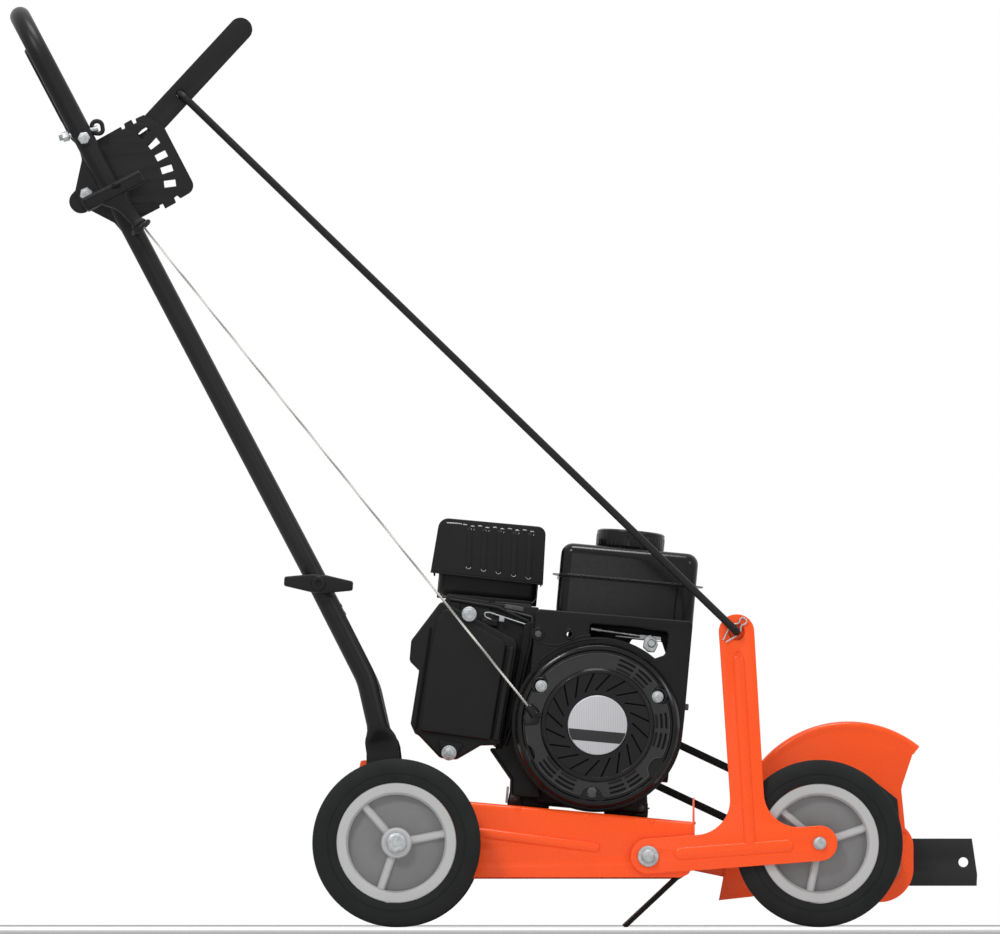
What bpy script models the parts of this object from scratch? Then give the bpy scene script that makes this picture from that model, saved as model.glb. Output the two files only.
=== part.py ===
"""Walk-behind lawn edger.

Metres, +X forward, +Y to the machine's left, +Z up, ground at z = 0.
Sizes below are in millimetres. X is counted from the rear axle until the last
step, which puts the origin under the middle of the object's box.
"""
import math

import bmesh
import bpy
from mathutils import Matrix, Vector

MM = 0.001

# Fits
GAP = 0.3
RUN = 0.5

# Wheels
WHEEL_R = 89.0
WHEEL_FACETS = 40
TYRE_W = 36.0
TREAD_W = 25.0
SHOULDER_R = 82.0
RIM_R = 63.0
RIM_WALL = 11.0
DISC_OUT = 9.0
DISC_T = 6.0
BOSS_R = 16.4
SPOKE_W = 6.0
SPOKE_OUT = 4.0
REAR_SPOKE_TURN = 11.0
FRONT_SPOKE_TURN = 19.0
REAR_WHEEL_OUT = 37.5
FRONT_WHEEL_IN = 17.5
FRONT_WHEEL_X = 447.5

# Axles and bolts
AXLE_R = 6.0
AXLE_CAP_R = 10.5
AXLE_CAP_T = 5.0
ARM_BOLT_R = 6.0
ARM_BOLT_HEAD_R = 11.2
ARM_BOLT_HEAD_T = 6.0
FRONT_BOLT_HEAD_R = 6.6
FRONT_BOLT_HEAD_T = 5.0

# Deck, an inverted channel that slopes down to the front
DECK_HALF_W = 123.5
REAR_TRACK = 2 * (DECK_HALF_W + REAR_WHEEL_OUT)
FRONT_WHEEL_Y = -(DECK_HALF_W - FRONT_WHEEL_IN)
DECK_T = 3.0
DECK_REAR_X = -45.0
DECK_FRONT_X = 315.5
DECK_BOTTOM_Z = 52.7
DECK_TOP_FRONT_Z = 111.5
TILT = math.radians(5.2)
DECK_CORNER_R = 14.0
LIP_TOP_Z = 137.0
LIP_TAB_W = 26.0
EAR_FRONT_X = 77.0
EAR_TOP_Z = 178.0
EAR_TOP_X0 = -38.0
EAR_TOP_X1 = -14.0
BEAD_W = 9.5
BEAD_OUT = 2.2
DECK_BEAD = (88.0, 100.0, 210.0, 84.5)
DECK_WINDOW_X0 = 130.0
DECK_WINDOW_X1 = 270.0
DECK_WINDOW_HALF_W = 28.0

# Front arm, a bell crank
ARM_PIVOT = (265.9, 75.0)
ARM_T = 4.0
ARM_OFF = 2.0
ARM_HALF_W = 18.7
ARM_TOP_HALF_W = 18.9
ARM_FOOT_HALF_W = 17.8
ARM_FOOT_X = 374.0
ARM_TOP = (359.9, 312.5)
ARM_FILLET = 37.0
ARM_BEAD_W = 10.6

# Depth lever, quadrant and link rod
LEVER_PIVOT = (-332.7, 782.1)
LEVER_ANGLE = math.radians(47.4)
LEVER_LEN = 242.0
LEVER_TAIL = 22.0
LEVER_W = 25.0
LEVER_T = 5.0
LEVER_IN = 20.5
ROD_ARM_R = 147.3
ROD_R = 4.0
ROD_PIVOT_PLAY_R = 8.4
QUAD_T = 3.0
SLOT_R = 89.7
SLOT_L = 12.4
SLOT_W = 7.4
SLOT_COUNT = 5
SLOT_STEP = math.radians(10.0)
QUAD_BOLT_AF = 11.8
CLIP_R = 1.2
CLIP_HEAD = (ARM_TOP[0] + 11.6, ARM_TOP[1] + 10.9)
CLIP_FOOT = (ARM_TOP[0] - 8.0, ARM_TOP[1] - 8.3)

# Handle
TUBE_R = 11.0
FLAT_W = 34.5
FLAT_T = 4.0
LOWER_Y = DECK_HALF_W + FLAT_T / 2 + 0.5
UPPER_Y = LOWER_Y - 2 * TUBE_R - 1.0
HANDLE_TOP = (-407.2, 978.0)
KNOB_AT = (-83.0, 363.1)
UPPER_PAST_KNOB = 27.0
LOWER_PAST_KNOB = 22.0
HANDLE_BEND_R = 60.0
LOWER_BEND = (-32.0, 262.0)
LOWER_END = (-17.0, 196.0)
FLAT_BOTTOM_Z = 104.0
HANDLE_BOLT_FROM_TOP = 156.2
KNOB_SPAN = 73.0
KNOB_MID_H = 19.0
KNOB_END_H = 9.6
KNOB_T = 11.0
KNOB_TURN = math.radians(4.0)
LEFT_KNOB_TURN = math.radians(62.2)
FOOT_BOLT_AT = (-15.6, 150.0)
FOOT_BOLT_R = 3.0

# Operator bail
BAIL_R = 3.15
BAIL_Y = UPPER_Y - 19.0
BAIL_OFF = 10.4
BAIL_FROM_TOP = 40.1

# Starter rope, guide eye and grip
ROPE_R = 1.5
ROPE_Y = -131.0
EYE_AT = (-272.4, 743.0)
EYE_R = 9.5
EYE_WIRE_R = 2.6
OUTLET = (-72.3, 2.7)
OUTLET_Y = -127.5
GRIP_BAR = 70.0
GRIP_BAR_T = 13.0
GRIP_BAR_DEPTH = 20.0
GRIP_NECK_L = 40.0
GRIP_TURN = math.radians(-12.0)

# Blade, spindle and guard
SPINDLE = (514.6, 70.7)
BLADE_R = 114.4
BLADE_W = 51.5
BLADE_T = 3.2
BLADE_Y = 108.0
BLADE_HOLE_R = 5.3
BLADE_HOLE_FROM_TIP = 15.0
BLADE_END_RAKE = 5.6
SPINDLE_R = 8.0
HOUSING_R = 24.0
HOUSING_FLANGE_R = 29.5
LOBE_R = 43.6
PLATE_Y = 78.0
PLATE_T = 3.0
PULLEY_R = 28.0
PULLEY_W = 15.0
PULLEY_Y = 92.5
BELT_T = 8.0
BELT_W = 10.0
GUARD_C = (487.8, 99.2)
GUARD_R = 124.2
GUARD_T = 2.5
GUARD_RIM_DEPTH = 42.0
GUARD_EDGE = 4.5

# Rear flap
FLAP_TOP = (298.0, 52.0)
FLAP_FOOT = (243.6, 1.2)
FLAP_T = 4.0
FLAP_Y0 = -60.0
FLAP_Y1 = 118.0

# Engine, in its own tilted frame
ENGINE_AT = (216.0, 218.1)
CRANK_LOCAL = (-3.2, -4.7)
SHAFT_R = 9.5
FOOT_Z = -96.6
BASE_Z = -92.0
RECOIL_R = 87.8
RECOIL_FACE_Y = -132.0
RECOIL_SEAT_Y = -112.0
RECOIL_DISC_R = 58.5
RECOIL_SLOT_R = 45.6
RECOIL_SLOT_L = 23.0
RECOIL_SLOTS = 20
RECOIL_SLOT_W = 3.0
RECOIL_SLOT_START = math.radians(15.9)
RECOIL_SLOT_TURN = math.radians(-36.0)
BADGE_R = 31.5
SHROUD_BACK_Y = -54.0
SHROUD_WALL = 3.0
WING_Y = -72.0
WING_TOP_X = -91.0
WING_LOW_X = -101.8
TANK_X0 = -57.5
TANK_X1 = 89.9
TANK_Z0 = 98.0
TANK_Z1 = 190.0
TANK_SEAM_Z = 154.8
TANK_SEAM_OUT = 7.3
TANK_SEAM_T = 1.6
TANK_Y0 = -48.0
TANK_Y1 = 68.0
TANK_CORNER = 13.0
CAP_X = 15.8
CAP_Y = 8.0
CAP_R = 37.0
CAP_H = 19.0


def clear_scene():
    for obj in list(bpy.data.objects):
        bpy.data.objects.remove(obj, do_unlink=True)


def material(name, colour, roughness, metallic=0.0):
    mat = bpy.data.materials.new(name)
    mat.use_nodes = True
    shader = mat.node_tree.nodes["Principled BSDF"]
    shader.inputs["Base Color"].default_value = (*colour, 1.0)
    shader.inputs["Roughness"].default_value = roughness
    shader.inputs["Metallic"].default_value = metallic
    mat.diffuse_color = (*colour, 1.0)
    return mat


# Outlines in the X-Z plane

def along(p, d, t):
    return (p[0] + d[0] * t, p[1] + d[1] * t)


def unit(p, q):
    length = math.hypot(q[0] - p[0], q[1] - p[1])
    return ((q[0] - p[0]) / length, (q[1] - p[1]) / length)


def left_of(d):
    return (-d[1], d[0])


def meet(p, d, q, e):
    det = d[0] * e[1] - d[1] * e[0]
    t = ((q[0] - p[0]) * e[1] - (q[1] - p[1]) * e[0]) / det
    return along(p, d, t)


def circle(c, r, n=24, start=0.0):
    return [(c[0] + r * math.cos(start + 2 * math.pi * i / n),
             c[1] + r * math.sin(start + 2 * math.pi * i / n)) for i in range(n)]


def arc(c, r, a0, a1, n):
    return [(c[0] + r * math.cos(a0 + (a1 - a0) * i / n),
             c[1] + r * math.sin(a0 + (a1 - a0) * i / n)) for i in range(n + 1)]


def rounded(corners, steps=6, closed=True):
    """Outline through corners (x, z, radius), each turned by an arc."""
    out = []
    count = len(corners)
    for i, corner in enumerate(corners):
        p = (corner[0], corner[1])
        r = corner[2] if len(corner) > 2 else 0.0
        if r <= 0.0 or (not closed and i in (0, count - 1)):
            out.append(p)
            continue
        before = corners[i - 1]
        after = corners[(i + 1) % count]
        d0 = unit(p, before)
        d1 = unit(p, after)
        half = math.acos(max(-1.0, min(1.0, d0[0] * d1[0] + d0[1] * d1[1]))) / 2
        reach = r / math.tan(half)
        limit = 0.499 * min(math.dist(p, before[:2]), math.dist(p, after[:2]))
        if reach > limit:
            reach = limit
            r = reach * math.tan(half)
        mid = unit((0, 0), (d0[0] + d1[0], d0[1] + d1[1]))
        c = along(p, mid, r / math.sin(half))
        start = along(p, d0, reach)
        end = along(p, d1, reach)
        a0 = math.atan2(start[1] - c[1], start[0] - c[0])
        a1 = math.atan2(end[1] - c[1], end[0] - c[0])
        turn = (a1 - a0 + math.pi) % (2 * math.pi) - math.pi
        out += arc(c, r, a0, a0 + turn, steps)
    return out


def slot(c, length, width, angle, steps=6):
    d = (math.cos(angle), math.sin(angle))
    n = left_of(d)
    a = along(along(c, d, -length / 2), n, -width / 2)
    b = along(along(c, d, length / 2), n, -width / 2)
    e = along(along(c, d, length / 2), n, width / 2)
    f = along(along(c, d, -length / 2), n, width / 2)
    r = width * 0.499 if steps else 0.0
    return rounded([(*a, r), (*b, r), (*e, r), (*f, r)], max(steps, 1))


# Solids

def finish(obj, mat, parent, angle=35.0):
    obj.data.materials.clear()
    obj.data.materials.append(mat)
    obj.data.shade_smooth()
    obj.data.set_sharp_from_angle(angle=math.radians(angle))
    if parent is not None:
        obj.parent = parent
    return obj


def mesh_object(name, bm):
    bmesh.ops.remove_doubles(bm, verts=bm.verts, dist=1e-7)
    bmesh.ops.recalc_face_normals(bm, faces=bm.faces)
    mesh = bpy.data.meshes.new(name)
    bm.to_mesh(mesh)
    bm.free()
    obj = bpy.data.objects.new(name, mesh)
    bpy.context.scene.collection.objects.link(obj)
    return obj


def baked(obj):
    graph = bpy.context.evaluated_depsgraph_get()
    mesh = bpy.data.meshes.new_from_object(obj.evaluated_get(graph))
    return mesh


def plate(name, outlines, y0, y1):
    """Flat piece between y0 and y1; the first outline is outer, the rest are holes."""
    curve = bpy.data.curves.new(name, "CURVE")
    curve.dimensions = "2D"
    curve.fill_mode = "BOTH"
    curve.extrude = abs(y1 - y0) / 2 * MM
    for outline in outlines:
        spline = curve.splines.new("POLY")
        spline.points.add(len(outline) - 1)
        for point, (x, z) in zip(spline.points, outline):
            point.co = (x * MM, z * MM, 0.0, 1.0)
        spline.use_cyclic_u = True
    flat = bpy.data.objects.new(name, curve)
    bpy.context.scene.collection.objects.link(flat)
    bpy.context.view_layer.update()
    mesh = baked(flat)
    bpy.data.objects.remove(flat, do_unlink=True)
    bpy.data.curves.remove(curve)
    bm = bmesh.new()
    bm.from_mesh(mesh)
    bpy.data.meshes.remove(mesh)
    turn = Matrix.Translation((0.0, (y0 + y1) / 2 * MM, 0.0)) @ Matrix.Rotation(math.radians(90), 4, "X")
    bmesh.ops.transform(bm, matrix=turn, verts=bm.verts)
    return mesh_object(name, bm)


def lathe(name, profile, steps=32, ring=False, at=(0.0, 0.0), start=0.0):
    """Solid turned about a Y axis through (x, z); the profile is (y, radius) pairs."""
    bm = bmesh.new()
    spin0 = Matrix.Rotation(-start, 4, "Y")
    verts = [bm.verts.new(spin0 @ Vector((r * MM, y * MM, 0.0))) for y, r in profile]
    edges = [bm.edges.new((verts[i], verts[i + 1])) for i in range(len(verts) - 1)]
    if ring:
        edges.append(bm.edges.new((verts[-1], verts[0])))
    bmesh.ops.spin(bm, geom=verts + edges, cent=(0, 0, 0), axis=(0, 1, 0),
                   angle=2 * math.pi, steps=steps, use_merge=True)
    bmesh.ops.remove_doubles(bm, verts=bm.verts, dist=1e-6)
    bmesh.ops.translate(bm, verts=bm.verts, vec=(at[0] * MM, 0.0, at[1] * MM))
    return mesh_object(name, bm)


def turned(name, profile, base, axis, steps=24):
    """Solid turned about any axis; the profile is (distance along, radius) pairs in mm."""
    obj = lathe(name, [(h, r) for h, r in profile], steps)
    quat = Vector((0, 1, 0)).rotation_difference(Vector(axis).normalized())
    obj.data.transform(Matrix.Translation(Vector(base) * MM) @ quat.to_matrix().to_4x4())
    return obj


def block(name, x0, x1, y0, y1, z0, z1):
    bm = bmesh.new()
    bmesh.ops.create_cube(bm, size=1.0)
    size = Matrix.Diagonal(((x1 - x0) * MM, (y1 - y0) * MM, (z1 - z0) * MM, 1.0))
    mid = Matrix.Translation(((x0 + x1) / 2 * MM, (y0 + y1) / 2 * MM, (z0 + z1) / 2 * MM))
    bmesh.ops.transform(bm, matrix=mid @ size, verts=bm.verts)
    return mesh_object(name, bm)


def tube(name, points, radius, sides=3, closed=False):
    """Round bar along a polyline of (x, y, z) points in mm."""
    curve = bpy.data.curves.new(name, "CURVE")
    curve.dimensions = "3D"
    curve.bevel_depth = radius * MM
    curve.bevel_resolution = sides
    curve.use_fill_caps = not closed
    spline = curve.splines.new("POLY")
    spline.points.add(len(points) - 1)
    for point, co in zip(spline.points, points):
        point.co = (co[0] * MM, co[1] * MM, co[2] * MM, 1.0)
    spline.use_cyclic_u = closed
    bent = bpy.data.objects.new(name, curve)
    bpy.context.scene.collection.objects.link(bent)
    bpy.context.view_layer.update()
    mesh = baked(bent)
    bpy.data.objects.remove(bent, do_unlink=True)
    bpy.data.curves.remove(curve)
    bm = bmesh.new()
    bm.from_mesh(mesh)
    bpy.data.meshes.remove(mesh)
    return mesh_object(name, bm)


def bent_path(corners, steps=6):
    """Points of a bar whose corners (x, y, z, radius) are turned by arcs."""
    out = []
    for i, corner in enumerate(corners):
        p = Vector(corner[:3])
        r = corner[3] if len(corner) > 3 else 0.0
        if r <= 0.0 or i in (0, len(corners) - 1):
            out.append(p)
            continue
        d0 = (Vector(corners[i - 1][:3]) - p).normalized()
        d1 = (Vector(corners[i + 1][:3]) - p).normalized()
        half = d0.angle(d1) / 2
        c = p + (d0 + d1).normalized() * (r / math.sin(half))
        a = p + d0 * (r / math.tan(half)) - c
        b = p + d1 * (r / math.tan(half)) - c
        sweep = a.angle(b)
        for k in range(steps + 1):
            t = k / steps
            out.append(c + (a * math.sin((1 - t) * sweep) + b * math.sin(t * sweep)) / math.sin(sweep))
    return [tuple(p) for p in out]


def combine(target, others, operation="UNION"):
    for other in others:
        cut = target.modifiers.new("cut", "BOOLEAN")
        cut.operation = operation
        cut.solver = "EXACT"
        cut.object = other
        bpy.context.view_layer.update()
        mesh = baked(target)
        target.modifiers.clear()
        old = target.data
        target.data = mesh
        bpy.data.meshes.remove(old)
        bpy.data.objects.remove(other, do_unlink=True)
    bm = bmesh.new()
    bm.from_mesh(target.data)
    bmesh.ops.remove_doubles(bm, verts=bm.verts, dist=2e-6)
    bmesh.ops.dissolve_degenerate(bm, edges=bm.edges, dist=2e-6)
    bm.to_mesh(target.data)
    bm.free()
    return target


def softened(obj, width, segments=2, angle=40.0):
    bevel = obj.modifiers.new("edges", "BEVEL")
    bevel.width = width * MM
    bevel.segments = segments
    bevel.limit_method = "ANGLE"
    bevel.angle_limit = math.radians(angle)
    bpy.context.view_layer.update()
    mesh = baked(obj)
    obj.modifiers.clear()
    old = obj.data
    obj.data = mesh
    bpy.data.meshes.remove(old)
    return obj


def empty(name, location, parent=None, rotation=(0.0, 0.0, 0.0)):
    node = bpy.data.objects.new(name, None)
    node.empty_display_size = 0.03
    bpy.context.scene.collection.objects.link(node)
    node.parent = parent
    node.location = [v * MM for v in location]
    node.rotation_euler = rotation
    return node


clear_scene()

ORANGE = material("orange paint", (0.93, 0.102, 0.018), 0.32)
BLACK = material("black paint", (0.027, 0.027, 0.027), 0.38)
PLASTIC = material("black plastic", (0.024, 0.024, 0.024), 0.45)
RUBBER = material("tyre rubber", (0.022, 0.022, 0.023), 0.7)
GREY = material("grey hub plastic", (0.42, 0.42, 0.42), 0.45)
STEEL = material("zinc plated steel", (0.55, 0.57, 0.58), 0.3, 0.9)
CAST = material("cast aluminium", (0.30, 0.30, 0.31), 0.5, 0.7)
DARK = material("heat black paint", (0.015, 0.015, 0.015), 0.6)
ROPE = material("starter rope", (0.55, 0.55, 0.56), 0.8)

# Derived places
AXLE_Z = WHEEL_R * math.cos(math.pi / WHEEL_FACETS)
FRONT_AXLE = (FRONT_WHEEL_X, AXLE_Z)
REAR_Y = REAR_TRACK / 2
HANDLE_DIR = unit(HANDLE_TOP, KNOB_AT)
ARM_Y1 = -(DECK_HALF_W + ARM_OFF)
ARM_Y0 = ARM_Y1 - ARM_T
QUAD_Y0 = -UPPER_Y + TUBE_R + RUN
LEVER_Y = -(UPPER_Y - LEVER_IN)
QUAD_Y1 = QUAD_Y0 + QUAD_T
ROD_HOLE = along(LEVER_PIVOT, (math.cos(LEVER_ANGLE), math.sin(LEVER_ANGLE)), ROD_ARM_R)
X_MIN = HANDLE_TOP[0] - TUBE_R
X_MAX = SPINDLE[0] + BLADE_R
ORIGIN_X = -(X_MIN + X_MAX) / 2


def deck_top(x):
    return DECK_TOP_FRONT_Z + (DECK_FRONT_X - x) * math.tan(TILT)


def from_engine(x, z):
    """Machine (x, z) of a point given in the engine's tilted frame."""
    return (ENGINE_AT[0] + x * math.cos(TILT) + z * math.sin(TILT),
            ENGINE_AT[1] - x * math.sin(TILT) + z * math.cos(TILT))


CRANK = from_engine(*CRANK_LOCAL)


root = empty("edger", (ORIGIN_X, 0.0, 0.0))
engine = empty("engine", (ENGINE_AT[0], 0.0, ENGINE_AT[1]), root, (0.0, TILT, 0.0))


# Wheels: a turned tyre on a turned hub with three raised ribs

def wheel(prefix, side, x, y, z, turn, parent):
    half = TYRE_W / 2
    facet = math.pi / WHEEL_FACETS
    tyre = lathe(prefix + "_tyre", [
        (-half + 1.5, RIM_R + GAP), (-half, RIM_R + 4.0), (-half, SHOULDER_R - 6.0),
        (-half + 1.5, SHOULDER_R), (-TREAD_W / 2, WHEEL_R), (TREAD_W / 2, WHEEL_R),
        (half - 1.5, SHOULDER_R), (half, SHOULDER_R - 6.0), (half, RIM_R + 4.0),
        (half - 1.5, RIM_R + GAP)], WHEEL_FACETS, True, start=facet)
    rim = half - 1.0
    face = -DISC_OUT
    back = face + DISC_T
    hub = lathe(prefix + "_hub", [
        (-half - 0.5, AXLE_R + GAP), (-half - 0.5, BOSS_R), (face, BOSS_R),
        (face, RIM_R - RIM_WALL), (-rim, RIM_R - RIM_WALL + 1.5), (-rim, RIM_R),
        (rim, RIM_R), (rim, RIM_R - RIM_WALL + 1.5), (back, RIM_R - RIM_WALL),
        (back, BOSS_R), (half + 0.5, BOSS_R), (half + 0.5, AXLE_R + GAP)], 28, True, start=math.pi / 28)
    ribs = []
    for i in range(3):
        rib = block("rib", BOSS_R - 3.0, RIM_R - RIM_WALL + 3.0, face - SPOKE_OUT, face + 1.0,
                    -SPOKE_W / 2, SPOKE_W / 2)
        rib.data.transform(Matrix.Rotation(-math.radians(turn + 120.0 * i), 4, "Y"))
        ribs.append(rib)
    combine(hub, ribs)
    pivot = empty(prefix, (x, y, z), parent)
    for obj, mat in ((tyre, RUBBER), (hub, GREY)):
        if side > 0:
            obj.data.transform(Matrix.Scale(-1, 4, (0, 1, 0)))
            obj.data.flip_normals()
        finish(obj, mat, pivot)
    return pivot


wheel("wheel_rear_right", -1, 0.0, -REAR_Y, AXLE_Z, REAR_SPOKE_TURN, root)
wheel("wheel_rear_left", 1, 0.0, REAR_Y, AXLE_Z, REAR_SPOKE_TURN, root)

axle_end = REAR_Y + TYRE_W / 2 + 1.0
axle = lathe("rear_axle", [
    (-axle_end - AXLE_CAP_T, 0.0), (-axle_end - AXLE_CAP_T, AXLE_CAP_R - 3.0),
    (-axle_end - AXLE_CAP_T + 2.5, AXLE_CAP_R), (-axle_end, AXLE_CAP_R), (-axle_end, AXLE_R),
    (axle_end, AXLE_R), (axle_end, AXLE_CAP_R), (axle_end + AXLE_CAP_T - 2.5, AXLE_CAP_R),
    (axle_end + AXLE_CAP_T, AXLE_CAP_R - 3.0), (axle_end + AXLE_CAP_T, 0.0)], 20, at=(0.0, AXLE_Z))
finish(axle, STEEL, root)


# Deck

def bead(name, x0, z0, x1, z1, width, y_face, out):
    """Pressed rib with a rounded crest, standing out of a side face toward -Y."""
    mid = ((x0 + x1) / 2, (z0 + z1) / 2)
    length = math.dist((x0, z0), (x1, z1)) + width
    angle = math.atan2(z1 - z0, x1 - x0)
    low = slot(mid, length, width, angle, 3)
    high = slot(mid, length - width * 0.5, width * 0.5, angle, 3)
    bm = bmesh.new()
    rings = []
    for outline, y in ((low, y_face + 1.0), (low, y_face), (high, y_face - out)):
        rings.append([bm.verts.new((x * MM, y * MM, z * MM)) for x, z in outline])
    for a, b in zip(rings, rings[1:]):
        for i in range(len(a)):
            j = (i + 1) % len(a)
            bm.faces.new((a[i], a[j], b[j], b[i]))
    bm.faces.new(rings[0])
    bm.faces.new(rings[-1])
    return mesh_object(name, bm)


def deck_side(name, y0, y1):
    outline = rounded([
        (DECK_REAR_X, DECK_BOTTOM_Z, 6.0),
        (DECK_FRONT_X - DECK_T, DECK_BOTTOM_Z, DECK_CORNER_R),
        (DECK_FRONT_X - DECK_T, deck_top(DECK_FRONT_X - DECK_T), 0.0),
        (EAR_FRONT_X, deck_top(EAR_FRONT_X), 4.0),
        (EAR_FRONT_X - 4.0, deck_top(EAR_FRONT_X) + 3.5, 2.0),
        (EAR_TOP_X1, EAR_TOP_Z - 2.0, 8.0),
        (EAR_TOP_X0, EAR_TOP_Z - 6.0, 8.0),
        (DECK_REAR_X, 140.0, 10.0)], 4)
    holes = [circle((0.0, AXLE_Z), AXLE_R + GAP, 20), circle(FOOT_BOLT_AT, FOOT_BOLT_R + GAP, 12)]
    if y0 < 0:
        holes.append(circle(ARM_PIVOT, ARM_BOLT_R + GAP, 20))
    return plate(name, [outline] + holes, y0, y1)


deck = deck_side("deck_frame", -DECK_HALF_W, -DECK_HALF_W + DECK_T)
left = deck_side("left", DECK_HALF_W - DECK_T, DECK_HALF_W)
top = block("top", EAR_FRONT_X - 20.0, DECK_FRONT_X - 1.0, -DECK_HALF_W + 1.0, DECK_HALF_W - 1.0,
            0.0, DECK_T)
for v in top.data.vertices:
    v.co.z += (deck_top(v.co.x / MM) - DECK_T) * MM
lip = block("lip", DECK_FRONT_X - DECK_T, DECK_FRONT_X, -DECK_HALF_W + 1.0, DECK_HALF_W - 1.0,
            DECK_BOTTOM_Z + DECK_CORNER_R + 4.0, DECK_TOP_FRONT_Z - 0.4)
tab = block("tab", DECK_FRONT_X - DECK_T, DECK_FRONT_X, -DECK_HALF_W + 1.0, -DECK_HALF_W + LIP_TAB_W,
            DECK_TOP_FRONT_Z - 12.0, LIP_TOP_Z)
back_z = deck_top(EAR_FRONT_X)
step = block("step", DECK_REAR_X + 1.0, DECK_REAR_X + 1.0 + DECK_T, -DECK_HALF_W + 1.0, DECK_HALF_W - 1.0,
             DECK_BOTTOM_Z + 8.0, 132.0)
shelf = block("shelf", DECK_REAR_X + 1.0, EAR_FRONT_X - 12.0, -DECK_HALF_W + 1.0, DECK_HALF_W - 1.0,
              back_z - DECK_T - 1.2, back_z - 1.2)
combine(deck, [left, top, lip, tab, step, shelf])
combine(deck, [bead("bead", *DECK_BEAD, BEAD_W, -DECK_HALF_W, BEAD_OUT)])
window = block("window", DECK_WINDOW_X0, DECK_WINDOW_X1, -DECK_WINDOW_HALF_W, DECK_WINDOW_HALF_W,
               80.0, 160.0)
combine(deck, [window], "DIFFERENCE")
finish(deck, ORANGE, root)

arm_bolt_in = -DECK_HALF_W + DECK_T + GAP
arm_bolt = lathe("arm_pivot_bolt", [
    (ARM_Y0 - GAP - ARM_BOLT_HEAD_T, 0.0), (ARM_Y0 - GAP - ARM_BOLT_HEAD_T, 5.0),
    (ARM_Y0 - GAP - ARM_BOLT_HEAD_T + 1.5, 6.4), (ARM_Y0 - GAP - 2.0, 6.6),
    (ARM_Y0 - GAP - 2.0, ARM_BOLT_HEAD_R), (ARM_Y0 - GAP, ARM_BOLT_HEAD_R),
    (ARM_Y0 - GAP, ARM_BOLT_R), (ARM_Y1 + GAP, ARM_BOLT_R), (ARM_Y1 + GAP, ARM_BOLT_HEAD_R - 1.0),
    (-DECK_HALF_W - GAP, ARM_BOLT_HEAD_R - 1.0), (-DECK_HALF_W - GAP, ARM_BOLT_R),
    (arm_bolt_in, ARM_BOLT_R), (arm_bolt_in, ARM_BOLT_HEAD_R - 1.0),
    (arm_bolt_in + 7.0, ARM_BOLT_HEAD_R - 1.0), (arm_bolt_in + 7.0, 0.0)], 16, at=ARM_PIVOT)
finish(arm_bolt, STEEL, root)


# Front arm with its pressed beads, wheel and clip

def arm_outline():
    u = unit(ARM_PIVOT, FRONT_AXLE)
    n = left_of(u)
    foot = meet(ARM_PIVOT, u, (ARM_FOOT_X, 0.0), (0.0, 1.0))
    up = unit(foot, ARM_TOP)
    w = left_of(up)
    top_edge = along(ARM_PIVOT, n, ARM_HALF_W)
    left_dir = unit(along(foot, w, ARM_FOOT_HALF_W), along(ARM_TOP, w, ARM_TOP_HALF_W))
    right_dir = unit(along(foot, w, -ARM_FOOT_HALF_W), along(ARM_TOP, w, -ARM_TOP_HALF_W))
    inner_left = meet(top_edge, u, along(foot, w, ARM_FOOT_HALF_W), left_dir)
    inner_right = meet(top_edge, u, along(foot, w, -ARM_FOOT_HALF_W), right_dir)
    end = 0.97
    pts = []
    pts.append((*along(along(ARM_PIVOT, u, -ARM_HALF_W), n, ARM_HALF_W), ARM_HALF_W * end))
    pts.append((*inner_left, ARM_FILLET))
    pts.append((*along(along(ARM_TOP, up, ARM_TOP_HALF_W), w, ARM_TOP_HALF_W), ARM_TOP_HALF_W * end))
    pts.append((*along(along(ARM_TOP, up, ARM_TOP_HALF_W), w, -ARM_TOP_HALF_W), ARM_TOP_HALF_W * end))
    pts.append((*inner_right, ARM_FILLET))
    pts.append((*along(along(FRONT_AXLE, u, ARM_HALF_W), n, ARM_HALF_W), ARM_HALF_W * end))
    pts.append((*along(along(FRONT_AXLE, u, ARM_HALF_W), n, -ARM_HALF_W), ARM_HALF_W * end))
    pts.append((*along(along(ARM_PIVOT, u, -ARM_HALF_W), n, -ARM_HALF_W), ARM_HALF_W * end))
    return rounded(pts, 6), foot, u, up


def moved(points, origin):
    return [(x - origin[0], z - origin[1]) for x, z in points]


outline, foot, u, up = arm_outline()
arm_pivot = empty("front_arm_pivot", (ARM_PIVOT[0], 0.0, ARM_PIVOT[1]), root)
arm = plate("front_arm", [
    moved(outline, ARM_PIVOT),
    moved(circle(ARM_PIVOT, ARM_BOLT_R + GAP, 20), ARM_PIVOT),
    moved(circle(FRONT_AXLE, AXLE_R + GAP, 20), ARM_PIVOT),
    moved(circle(ARM_TOP, ROD_PIVOT_PLAY_R, 24), ARM_PIVOT)], ARM_Y0, ARM_Y1)
b0 = moved([along(ARM_PIVOT, u, 33.0)], ARM_PIVOT)[0]
b1 = moved([along(foot, u, -12.0)], ARM_PIVOT)[0]
b2 = moved([along(foot, u, 12.0)], ARM_PIVOT)[0]
b3 = moved([along(FRONT_AXLE, u, -28.0)], ARM_PIVOT)[0]
b4 = moved([along(foot, up, 12.0)], ARM_PIVOT)[0]
b5 = moved([along(ARM_TOP, up, -26.0)], ARM_PIVOT)[0]
combine(arm, [bead("b", *b0, *b1, ARM_BEAD_W, ARM_Y0, BEAD_OUT - 0.6),
              bead("b", *b2, *b3, ARM_BEAD_W, ARM_Y0, BEAD_OUT - 0.6),
              bead("b", *b4, *b5, ARM_BEAD_W, ARM_Y0, BEAD_OUT - 0.6)])
finish(arm, ORANGE, arm_pivot)

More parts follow.
